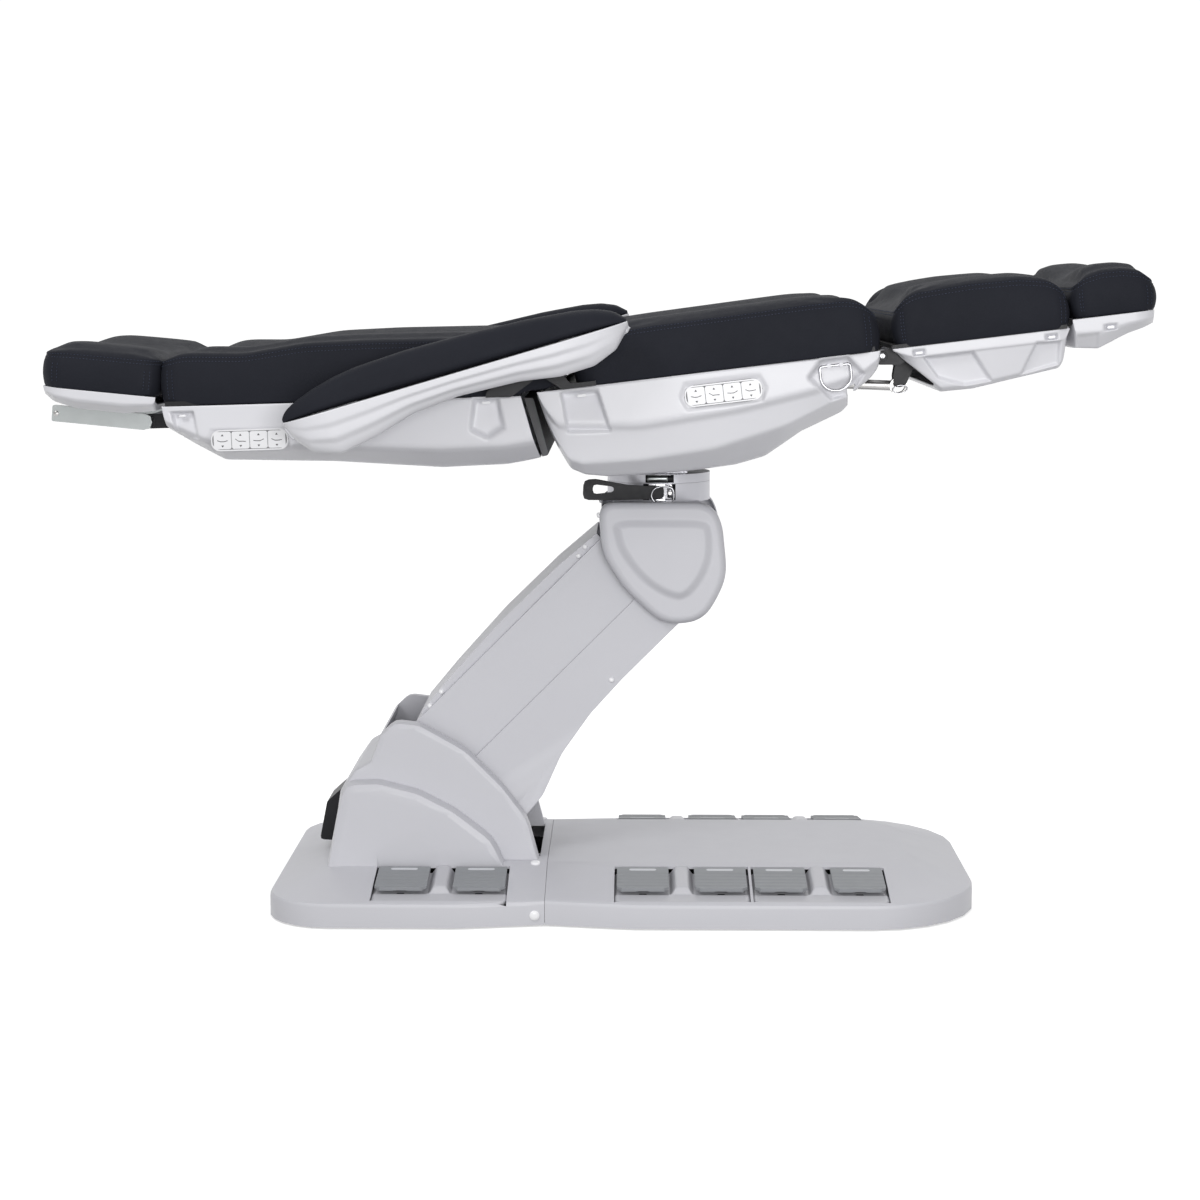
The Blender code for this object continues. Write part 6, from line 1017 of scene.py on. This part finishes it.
def foot_shell():
    """Foot moulding with its curved end, a slot over a raised tongue, and the two steel runners."""
    share = crowded(0.005, 0.995, 80)
    s = 0.3105 + 0.137 * share
    depth = 0.054 * np.interp(share, *FOOT_DEPTHS)
    half = LEG_HALF - 0.034 * rounded_off(share, 0.74, 0.262)
    lines = [(0.0, 0.023, 10), (0.001, 0.023 - depth * 0.45, 4), (0.004, 0.022 - depth * 0.55, 12),
             (0.022, 0.023 - depth, 1)]
    grid = section_rows(s, half, lines, 26)
    bowed(grid, share, 0.014, LEG_HALF)
    grid = eased(grid, 1, 1)
    press(grid, FOOT_HOLLOW, 0.005, 0.006)
    press(grid, slot_outline(0.372, 0.004), *HOOK_SLOT)
    carried(sheet("foot_moulding", grid, WHITE, LEG_FRAME, THIN_WALL), "footrest", "white_moulding", "foot_cover")
    for side, word in SIDES:
        here = LEG_FRAME @ Matrix.Translation((0.0995, side * 0.110, -0.020)) @ Matrix.Rotation(math.pi / 2, 4, "Y")
        carried(turned(f"foot_runner_{word}", RUNNER, here, STEEL), "footrest", "zinc_steel", "foot_cover")


HEADREST_DEPTHS = ((0.0, 0.04, 0.30, 0.70, 0.90, 0.985, 1.0), (0.05, 0.72, 0.98, 0.96, 0.74, 0.42, 0.05))
HEADREST_HALF = 0.285
GUIDE_SIZE = (0.032, 0.026, 0.014)


def headrest_shell():
    """Shallow headrest moulding with its curved outer end and the four guides of the bars."""
    out = crowded(0.02, 0.98, 80)[::-1]
    s = -0.190 * out
    depth = 0.034 * np.interp(out, *HEADREST_DEPTHS)
    half = HEADREST_HALF - 0.040 * rounded_off(out, 0.78, 0.225)
    lines = [(0.0, 0.0, 8), (0.001, -depth * 0.45, 4), (0.005, -depth * 0.62, 12), (0.030, -depth, 1)]
    grid = section_rows(s, half, lines, 26)
    bowed(grid, out, -0.030, HEADREST_HALF)
    carried(sheet("headrest_moulding", eased(grid, 1, 1), WHITE, HEAD_FRAME, THIN_WALL), "headrest",
            "white_moulding", "headrest_cover")
    for side, word in SIDES:
        for number, place in enumerate((-0.080, -0.125)):
            here = HEAD_FRAME @ Matrix.Translation((place, side * 0.136, -0.0315))
            carried(block(f"headrest_guide_{word}_{number}", GUIDE_SIZE, WHITE, here), "headrest",
                    "white_moulding", "headrest_cover")


# Small parts


def circle(count):
    """The cosine and sine of even turns."""
    return [(math.cos(math.tau * k / count), math.sin(math.tau * k / count)) for k in range(count)]


def band(bm, low, high):
    """Faces between two rings of vertices, either of which may be one point."""
    for k in range(len(low)):
        after = (k + 1) % len(low)
        corners = list(dict.fromkeys((low[k], low[after], high[after], high[k])))
        if len(corners) > 2:
            bm.faces.new(corners)


TURNED_ANGLE = 40.0


def turned(name, profile, matrix, material, count=32):
    """A turned piece: a (radius, height) profile round the Z axis of a frame."""
    bm = bmesh.new()
    rings = []
    for radius, z in profile:
        if radius < 1e-6:
            rings.append([bm.verts.new((0.0, 0.0, z))] * count)
        else:
            rings.append([bm.verts.new((radius * x, radius * y, z)) for x, y in circle(count)])
    for low, high in zip(rings, rings[1:]):
        band(bm, low, high)
    thing = from_bmesh(name, bm, material, matrix)
    thing.data.set_sharp_from_angle(angle=math.radians(TURNED_ANGLE))
    return thing


def block(name, size, material, matrix, edge=0.0012):
    """A small moulded block with rounded edges."""
    bm = bmesh.new()
    bmesh.ops.create_cube(bm, size=1.0)
    bmesh.ops.scale(bm, vec=size, verts=bm.verts)
    bmesh.ops.bevel(bm, geom=bm.edges, offset=min(edge, min(size) * 0.3), segments=2, affect="EDGES")
    return from_bmesh(name, bm, material, matrix)


def plate(name, outline, thickness, material, matrix, edge=0.0):
    """A flat piece of an outline in a frame's XY plane, raised along its Z axis."""
    bm = bmesh.new()
    bottom = [bm.verts.new((x, y, -0.0004)) for x, y in outline]
    face = bm.faces.new(bottom)
    out = bmesh.ops.extrude_face_region(bm, geom=[face])
    top = [v for v in out["geom"] if isinstance(v, bmesh.types.BMVert)]
    bmesh.ops.translate(bm, vec=(0.0, 0.0, thickness + 0.0004), verts=top)
    if edge:
        rim = [e for e in bm.edges if e.verts[0] in top and e.verts[1] in top]
        bmesh.ops.bevel(bm, geom=rim, offset=edge, segments=2, affect="EDGES")
    return from_bmesh(name, bm, material, matrix, smooth=False)


def rounded_box(width, height, radius, x=0.0, steps=6):
    """The outline of a rectangle with round corners, its middle at x on the X axis."""
    points = []
    for k, (cx, cy) in enumerate(((1, 1), (-1, 1), (-1, -1), (1, -1))):
        for i in range(steps + 1):
            turn = math.pi / 2 * (k + i / steps)
            points.append((x + cx * (width / 2 - radius) + radius * math.cos(turn),
                           cy * (height / 2 - radius) + radius * math.sin(turn)))
    return points


def facing(frame, side, s, h, y):
    """A frame on a side wall seen from outside: X along the wall, Y up, Z outward."""
    turn = Matrix(((-side, 0.0, 0.0), (0.0, 0.0, side), (0.0, 1.0, 0.0))).to_4x4()
    return frame @ Matrix.Translation((s, y, h)) @ turn


KEY_STEP = 0.0297
KEY_SIZE = (0.0288, 0.0285, 0.0035)
KEY_RISE = 0.0009
MARK_RISE = 0.00105
FIGURE_HALF = 0.0085
FIGURE_LIFTS = (0.0, 0.0020, -0.0012, 0.0008)
KEYPAD_RIM = ((0.127, 0.035, 0.0), (0.1265, 0.0345, 0.0010), (0.1225, 0.0305, 0.0010), (0.122, 0.030, 0.0))


def keypad_face(where, word, side, frame):
    """Rim, four keys with triangles and a lying figure, on a keypad's membrane."""
    name = f"{where}_keypad_{word}"
    low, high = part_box(name)
    middle = frame.inverted() @ ((Vector(low) + Vector(high)) / 2)
    here = facing(frame, side, middle.x, middle.z, low[1] if side < 0 else high[1])

    def on_face(piece):
        carried(piece, where, "dark_grey_plastic")

    rim = bmesh.new()
    rings = [[rim.verts.new((x, y, z)) for x, y in rounded_box(width, height, height * 0.42)]
             for width, height, z in KEYPAD_RIM]
    for low_ring, high_ring in zip(rings, rings[1:] + rings[:1]):
        band(rim, low_ring, high_ring)
    on_face(from_bmesh(f"{name}_rim", rim, KEY, here))
    for number, lift in enumerate(FIGURE_LIFTS):
        x = (number - 1.5) * KEY_STEP
        on_face(plate(f"{name}_key_{number}", rounded_box(*KEY_SIZE, x), KEY_RISE, KEY, here, 0.0005))
        marks = [((x - 0.0022, 0.0072), (x + 0.0022, 0.0072), (x, 0.0106)),
                 ((x - 0.0022, -0.0080), (x, -0.0114), (x + 0.0022, -0.0080)),
                 ((x - FIGURE_HALF, 0.0008 + lift), (x - 0.003, -0.0012), (x + 0.0025, -0.0012),
                  (x + FIGURE_HALF, 0.0004 - lift), (x + FIGURE_HALF, -0.0008 - lift), (x + 0.0025, -0.0024),
                  (x - 0.003, -0.0024), (x - FIGURE_HALF, -0.0004 + lift))]
        for k, mark in enumerate(marks):
            on_face(plate(f"{name}_mark_{number}_{k}", mark, MARK_RISE, INK, here))


# Body, frame, place along, height, half width and length of each hook
WALL_HOOKS = (
    ("seat", SEAT_FRAME, 0.072, -0.014, 0.2965, 0.015), ("back", BACK_FRAME, -0.057, -0.009, 0.3005, 0.014),
    ("back", BACK_FRAME, -0.556, -0.016, 0.2895, 0.012), ("legrest", LEG_FRAME, 0.058, -0.001, 0.2712, 0.012),
    ("legrest", LEG_FRAME, 0.275, -0.001, 0.2708, 0.012), ("footrest", LEG_FRAME, 0.372, 0.004, 0.2704, 0.012),
)


def wall_hooks(side, word):
    """Small bright hooks in the pockets of the seat, back, leg and foot mouldings."""
    for number, (body, frame, s, h, y, width) in enumerate(WALL_HOOKS):
        here = facing(frame, side, s, h, side * y)
        carried(block(f"{body}_hook_{word}_{number}", (width, 0.0042, 0.006), CAP, here), body, "white_moulding")


def rounded_loop(corners, times=2):
    """A closed outline with its corners cut back."""
    points = np.array(corners)
    for _ in range(times):
        after = np.roll(points, -1, axis=0)
        points = np.stack((points * 0.75 + after * 0.25, points * 0.25 + after * 0.75), axis=1).reshape(-1, 2)
    return points


def evened(outline, count, blur):
    """A closed outline at even spacing, with its corners rounded by a running mean."""
    ends = np.vstack((outline, outline[:1]))
    along = np.concatenate(([0.0], np.cumsum(np.linalg.norm(np.diff(ends, axis=0), axis=1))))
    at = np.linspace(0.0, along[-1], count, endpoint=False)
    points = np.stack([np.interp(at, along, ends[:, k]) for k in (0, 1)], axis=1)
    return sum(np.roll(points, k, axis=0) for k in range(-blur, blur + 1)) / (2 * blur + 1)


HEAD_PANEL = ((0.018, 0.671), (0.100, 0.671), (0.180, 0.671), (0.194, 0.656), (0.194, 0.590), (0.152, 0.528),
              (0.112, 0.534), (0.068, 0.564), (0.034, 0.608), (0.024, 0.634))
HEAD_ROUND = 0.014
HEAD_WALL = 0.0025
HEAD_RINGS = 72
FIELD_RISE = 0.0075
FIELD_SLOPE = 0.017


def head_moulding(side, word):
    """A head cover: smooth in outline, round at its edge, with a raised field that has soft slopes."""
    node_name = f"head_cover_{word}"
    low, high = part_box(node_name)
    face, wall = (low[1], high[1]) if side < 0 else (high[1], low[1])
    flat = [(v.co.x, v.co.z) for v in NODES[node_name].data.vertices]
    outline = evened(np.array([flat[k] for k in convex_hull_2d(flat)]), 200, 6)
    field = rounded_loop(HEAD_PANEL)
    centre = outline.mean(axis=0)
    rows = [np.insert(outline, 1, wall, axis=1)]
    for share in np.linspace(0.0, 0.985, HEAD_RINGS) ** 1.4:
        flat = centre + (outline - centre) * (1.0 - share)
        inside = np.minimum(-polygon_distance(flat, outline), HEAD_ROUND).clip(0.0)
        sunk = HEAD_ROUND - np.sqrt(HEAD_ROUND ** 2 - (HEAD_ROUND - inside) ** 2)
        raised = FIELD_RISE * step(-polygon_distance(flat, field) / FIELD_SLOPE)
        rows.append(np.insert(flat, 1, face + side * (raised - sunk), axis=1))
    count = len(outline)
    ring = np.arange(count)
    after = (ring + 1) % count
    faces = [quad for i in range(0, HEAD_RINGS * count, count)
             for quad in np.stack((i + ring, i + after, i + count + after, i + count + ring), axis=1).tolist()]
    faces.append((HEAD_RINGS * count + ring).tolist())
    if side > 0:
        faces = [face_round[::-1] for face_round in faces]
    thing = new_object(f"head_moulding_{word}", np.concatenate(rows), faces, GREY)
    carried(thickened(thing, HEAD_WALL), "head", "grey_moulding", node_name)


PAN_HEAD = ((0.0, -0.001), (0.0045, -0.001), (0.0045, 0.0012), (0.0036, 0.0030), (0.0018, 0.0038), (0.0, 0.0040))
CAP_SCREW = ((0.0, -0.002), (0.0085, -0.002), (0.0085, 0.0016), (0.0072, 0.0030), (0.0040, 0.0038), (0.0, 0.0040))
# Link, body, X and Z of each pan head on the arm
ARM_SCREWS = (
    ("upper_link", "upper_arm", -0.026, 0.618), ("upper_link", "upper_arm", -0.037, 0.602),
    ("upper_link", "upper_arm", -0.276, 0.364), ("upper_link", "upper_arm", -0.296, 0.339),
    ("lower_link", "lower_arm", 0.020, 0.388),
)


def on_surface(node_name, start, aim):
    """Where a line from start towards aim first meets a node, with the frame that stands on it there."""
    mesh = NODES[node_name].data
    tree = BVHTree.FromPolygons([v.co for v in mesh.vertices], [p.vertices for p in mesh.polygons])
    start = Vector(start)
    place, normal, _, _ = tree.ray_cast(start, Vector(aim) - start)
    return Matrix.Translation(place) @ normal.to_track_quat("Z", "Y").to_matrix().to_4x4()


def screws(side, word):
    """White pan heads along the arm, one on the head cover, and the caps beside the joint of the base."""
    for number, (node_name, body, x, z) in enumerate(ARM_SCREWS):
        here = on_surface(node_name, (x, side * 0.4, z), (x, 0.0, z))
        carried(turned(f"arm_screw_{word}_{number}", PAN_HEAD, here, CAP, 20), body, "white_moulding")
    here = on_surface(f"head_cover_{word}", (-0.3, side * 0.135, 0.676), (0.0, side * 0.135, 0.676))
    carried(turned(f"head_screw_{word}", PAN_HEAD, here, CAP, 20), "head", "white_moulding")
    for number, (start, aim) in enumerate((((-0.1105, side * 0.172, 0.4), (-0.1105, side * 0.172, 0.0)),
                                           ((-0.107, side * 0.5, 0.020), (-0.107, 0.0, 0.020)))):
        carried(turned(f"base_cap_{word}_{number}", CAP_SCREW, on_surface("base_cover", start, aim), CAP), "base",
                "white_moulding")


def tube(name, path, radius, material, closed=False, count=12):
    """A round wire along a path of points."""
    path = [Vector(p) for p in path]
    bm = bmesh.new()
    rings = []
    for k, place in enumerate(path):
        ahead = (path[(k + 1) % len(path)] if closed or k + 1 < len(path) else place) - (
            path[k - 1] if closed or k else place)
        across = ahead.cross(Vector((0.0, 1.0, 0.0))).normalized()
        rise = across.cross(ahead).normalized()
        rings.append([bm.verts.new(place + radius * (across * x + rise * y)) for x, y in circle(count)])
    for low, high in zip(rings, rings[1:] + (rings[:1] if closed else [])):
        band(bm, low, high)
    if not closed:
        bm.faces.new(rings[0])
        bm.faces.new(rings[-1])
    return from_bmesh(name, bm, material)


RING_WIRE = 0.0022
STAPLE_SIZE = (0.007, 0.013, 0.0065)


def d_ring(side, word):
    """A round-bottomed ring of polished wire in the seat's side pocket, with its two staples."""
    back = SEAT_FRAME.inverted()
    places = np.array([back @ v.co for v in NODES[f"d_ring_{word}"].data.vertices])
    low, high = places.min(axis=0), places.max(axis=0)
    middle, y = (low[0] + high[0]) / 2, (low[1] + high[1]) / 2
    wide = (high[0] - low[0]) / 2 - RING_WIRE
    top, bottom = high[2] - RING_WIRE, low[2] + RING_WIRE
    knee = bottom + wide * 0.92
    path = [(middle + wide * math.cos(a), y, knee + (knee - bottom) * math.sin(a))
            for a in np.linspace(0.0, -math.pi, 40)]
    path += [(middle - wide, y, top - 0.004), (middle - wide + 0.0012, y, top - 0.0012),
             (middle - wide + 0.004, y, top), (middle, y, top), (middle + wide - 0.004, y, top),
             (middle + wide - 0.0012, y, top - 0.0012), (middle + wide, y, top - 0.004)]
    ring = tube(f"d_ring_wire_{word}", [SEAT_FRAME @ Vector(p) for p in path], RING_WIRE, CHROME, closed=True)
    carried(ring, f"d_ring_{word}", "chrome", f"d_ring_{word}")
    for number, shift in enumerate((-0.4, 0.4)):
        here = SEAT_FRAME @ Matrix.Translation((middle + wide * shift, y - side * 0.003, top))
        carried(block(f"d_ring_staple_{word}_{number}", STAPLE_SIZE, WHITE, here), "seat", "white_moulding")


def arc_plate(name, start, stop, low, high, radius, material):
    """A thin plate bent round the swivel axis, between two angles counted from the near side."""
    axis = JOINTS["swivel"]["pos_m"]
    grid = [[(axis[0] + radius * math.sin(a), axis[1] - radius * math.cos(a), z) for z in (low, high)]
            for a in np.radians(np.linspace(start, stop, 15))]
    return sheet(name, np.array(grid), material, Matrix(), 0.0006)


LATCH_LOOP = ((0.086, 0.7070), (0.095, 0.7230), (0.120, 0.7230), (0.1265, 0.7170), (0.1265, 0.6990), (0.120, 0.6940),
              (0.095, 0.6940))
BARREL = ((0.0, -0.0085), (0.0040, -0.0085), (0.0044, -0.0080), (0.0044, 0.0080), (0.0040, 0.0085), (0.0, 0.0085))
LATCH_NUT = ((0.0, 0.0), (0.0042, 0.0), (0.0042, 0.0062), (0.0034, 0.0070), (0.0, 0.0070))
SPLIT_RADIUS = 0.0907


def brake_latch():
    """Painted shade of the split between the two rings as thin black sheets on their front, its zinc plate, and the
    wire loop and barrel of the toggle latch.
    """
    low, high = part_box("brake_clamp")
    top = JOINTS["swivel"]["pos_m"][2]
    for name, start, stop, bottom, up_to, body in (
            ("upper", -15.0, 16.0, high[2] + 0.0008, top - 0.0006, "turntable"),
            ("lower_left", -17.5, -11.5, low[2], high[2] - 0.0012, "head"),
            ("lower_right", 13.5, 18.0, low[2], high[2] - 0.0012, "head")):
        # Painted shade: these black sheets stand in for the shadow inside the split, not for a black part
        split = arc_plate(f"split_{name}", start, stop, bottom, up_to, SPLIT_RADIUS, BLACK)
        carried(split, body, "black_steel")
    carried(arc_plate("split_plate", -12.5, 9.0, high[2] + 0.0020, top - 0.0012, SPLIT_RADIUS + 0.0007, ZINC),
            "turntable", "zinc_steel")
    front = low[1] - 0.0022
    loop = [(x, front, z) for x, z in rounded_loop(LATCH_LOOP)]
    carried(tube("latch_loop", loop, 0.0013, CHROME, closed=True), "head", "chrome")
    middle = Matrix.Translation((0.1200, front + 0.0035, (low[2] + high[2]) / 2))
    carried(turned("latch_barrel", BARREL, middle, CHROME, 24), "head", "chrome")
    bolt = middle @ Matrix.Rotation(math.pi / 2, 4, "X")
    carried(turned("latch_nut", LATCH_NUT, bolt, STEEL, 6), "head", "zinc_steel")


LEG_WASHER = ((0.0, -0.001), (0.0108, -0.001), (0.0108, 0.0010), (0.0102, 0.0014), (0.0, 0.0014))
LEG_NUT = ((0.0, 0.001), (0.0082, 0.001), (0.0082, 0.0062), (0.0072, 0.0070), (0.0044, 0.0070), (0.0040, 0.0082),
           (0.0, 0.0086))
RIVET = ((0.0, -0.001), (0.0046, -0.001), (0.0046, 0.0010), (0.0028, 0.0022), (0.0, 0.0024))


def outward(frame, side, s, y, h):
    """A frame on a section's side whose Z axis points outward."""
    return frame @ Matrix.Translation((s, side * y, h)) @ Matrix.Rotation(-side * math.pi / 2, 4, "X")


def pin_ends(side, word):
    """Washer and nut of the leg hinge, and the rivet of the headrest's bar."""
    here = outward(LEG_FRAME, side, 0.0, 0.2458, 0.0)
    carried(turned(f"leg_washer_{word}", LEG_WASHER, here, CHROME), "legrest", "zinc_steel")
    carried(turned(f"leg_nut_{word}", LEG_NUT, here, CHROME, 6), "legrest", "zinc_steel")
    here = outward(HEAD_FRAME, side, -0.197, 0.142, HEAD_PIN[1])
    carried(turned(f"rail_rivet_{word}", RIVET, here, STEEL, 20), "headrest_rail", "zinc_steel")


def spring_clip():
    """The spring clip through the end of the leg section's push pin."""
    path = [LEG_FRAME @ Vector((0.0264 + 0.012 * math.sin(t), -0.2222 + 0.0015 * math.sin(t * 0.5),
                                -0.0485 - 0.004 - 0.0065 * (1 - math.cos(t))))
            for t in np.linspace(-0.4, math.tau * 0.9, 28)]
    carried(tube("spring_clip", path, 0.0011, CHROME), "legrest", "chrome")


TRAY_ACROSS = 0.226
TRAY_INNER = -0.00735
TRAY_OUTER = 0.12665
TRAY_CORNER = 0.020
TRAY_TOP = -0.0032
TRAY_SKIRT = -0.0195
PEDAL_LONG = 0.092
PEDAL_WIDE = 0.088
PEDAL_PITCH = 0.132
PEDAL_SLOPE = math.radians(8.4)
SWITCH_SIZE = (0.008, 0.014, 0.0050)
LIP_SIZE = (0.012, 0.029, 0.0036)
BOWL_FLOOR = -0.0168
BOWL_DEPTH = 0.0136
RIM_DROP = 0.0025
TRAY_LAMP = ((0.0, -0.001), (0.0026, -0.001), (0.0026, 0.0004), (0.0, 0.0012))


def pedal_frame(name, side):
    """A frame at the middle of a pedal's hinge edge: X outward along the pedal, Z square to its face."""
    low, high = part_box(name)
    along = Vector((0.0, side * math.cos(PEDAL_SLOPE), -math.sin(PEDAL_SLOPE)))
    up = Vector((0.0, side * math.sin(PEDAL_SLOPE), math.cos(PEDAL_SLOPE)))
    frame = Matrix((along, up.cross(along), up)).transposed().to_4x4()
    frame.translation = ((low[0] + high[0]) / 2, high[1] if side < 0 else low[1], high[2])
    return frame


def pedal_marks(side, word, number):
    """A pale strip at a pedal's inner end, its microswitch and its split lip."""
    name = f"pedal_{word}_{number}"
    here = pedal_frame(name, side)
    strip = here @ Matrix.Translation((0.011, 0.0, 0.0)) @ Matrix.Rotation(math.pi / 2, 4, "Z")
    carried(plate(f"{name}_strip", rounded_box(0.046, 0.0085, 0.004), 0.0003, PALE_INK, strip), name, "pedal_plastic")
    switch = here @ Matrix.Translation((0.0885, 0.0, -0.0154))
    carried(block(f"{name}_switch", SWITCH_SIZE, BLACK, switch), "base", "black_steel")
    for end, place in (("a", -0.0235), ("b", 0.0235)):
        lip = here @ Matrix.Translation((0.0845, place, -0.0066))
        carried(block(f"{name}_lip_{end}", LIP_SIZE, PEDAL, lip), name, "pedal_plastic")


def tray_form(side, word, number):
    """A tray as moulded: a proud outer wall, a bowl round each pedal, and a bridge with a small lamp."""
    other = pedal_frame(f"pedal_{word}_{2 * number}", side)
    lamp = other @ Matrix.Translation((0.024, side * PEDAL_PITCH / 2, TRAY_TOP))
    carried(turned(f"tray_lamp_{word}_{number}", TRAY_LAMP, lamp, INK, 16), "base", "dark_grey_plastic")
    here = pedal_frame(f"pedal_{word}_{2 * number - 1}", side)
    here.translation = (here.translation + other.translation) / 2
    u, v = np.meshgrid(np.linspace(TRAY_INNER, TRAY_OUTER, 84), np.linspace(-TRAY_ACROSS / 2, TRAY_ACROSS / 2, 136),
                       indexing="ij")
    height = TRAY_TOP - 0.0100 * step((u - 0.080) / 0.014)
    for middle in (-PEDAL_PITCH / 2, PEDAL_PITCH / 2):
        across = np.maximum(np.abs(v - middle) - PEDAL_WIDE / 2 + 0.006, 0.0)
        along = np.maximum(np.maximum(u - PEDAL_LONG + 0.008, -0.004 - u), 0.0)
        away = np.hypot(across, along)
        bowl = BOWL_FLOOR + BOWL_DEPTH * step((away - 0.008) / np.where(along > across, 0.006, 0.013))
        height = np.minimum(height, bowl)
    past_u = np.maximum(u - (TRAY_OUTER - TRAY_CORNER), 0.0)
    past_v = np.maximum(np.abs(v) - (TRAY_ACROSS / 2 - TRAY_CORNER), 0.0)
    reach = np.hypot(past_u, past_v)
    squeeze = np.where((past_u > 0) & (past_v > 0), np.maximum(past_u, past_v) / np.maximum(reach, 1e-9), 1.0)
    u = u - past_u * (1.0 - squeeze)
    v = v - np.sign(v) * past_v * (1.0 - squeeze)
    edge = np.minimum(TRAY_OUTER - u, TRAY_ACROSS / 2 - np.abs(v))
    grid = np.stack((u, v, height - RIM_DROP * step(1.0 - edge / 0.004)), axis=-1)
    flat, skirt = (1, 1, 0), (0, 0, TRAY_SKIRT)
    grid = np.concatenate((grid[:, :1] * flat + skirt, grid, grid[:, -1:] * flat + skirt), axis=1)
    grid = np.concatenate((grid, grid[-1:] * flat + skirt), axis=0)
    carried(sheet(f"pedal_tray_form_{word}_{number}", grid, TRAY, here, 0.002), "base", "white_moulding",
            f"pedal_tray_{word}_{number}")


def main():
    camera()
    studio()
    for name, thing in NODES.items():
        dress_node(name, thing)
    for part, spec in CUSHIONS.items():
        upholster(part, {**USUAL_CUSHION, **spec})
    seat_shell()
    back_shell()
    leg_shell()
    foot_shell()
    headrest_shell()
    for side, word in SIDES:
        arm_pad(side, word)
        arm_shell(side, word)
        head_moulding(side, word)
        keypad_face("seat", word, side, SEAT_FRAME)
        keypad_face("back", word, side, BACK_FRAME)
        wall_hooks(side, word)
        screws(side, word)
        d_ring(side, word)
        pin_ends(side, word)
        for number in range(1, 7):
            pedal_marks(side, word, number)
        for number in range(1, 4):
            tray_form(side, word, number)
    brake_latch()
    spring_clip()


main()
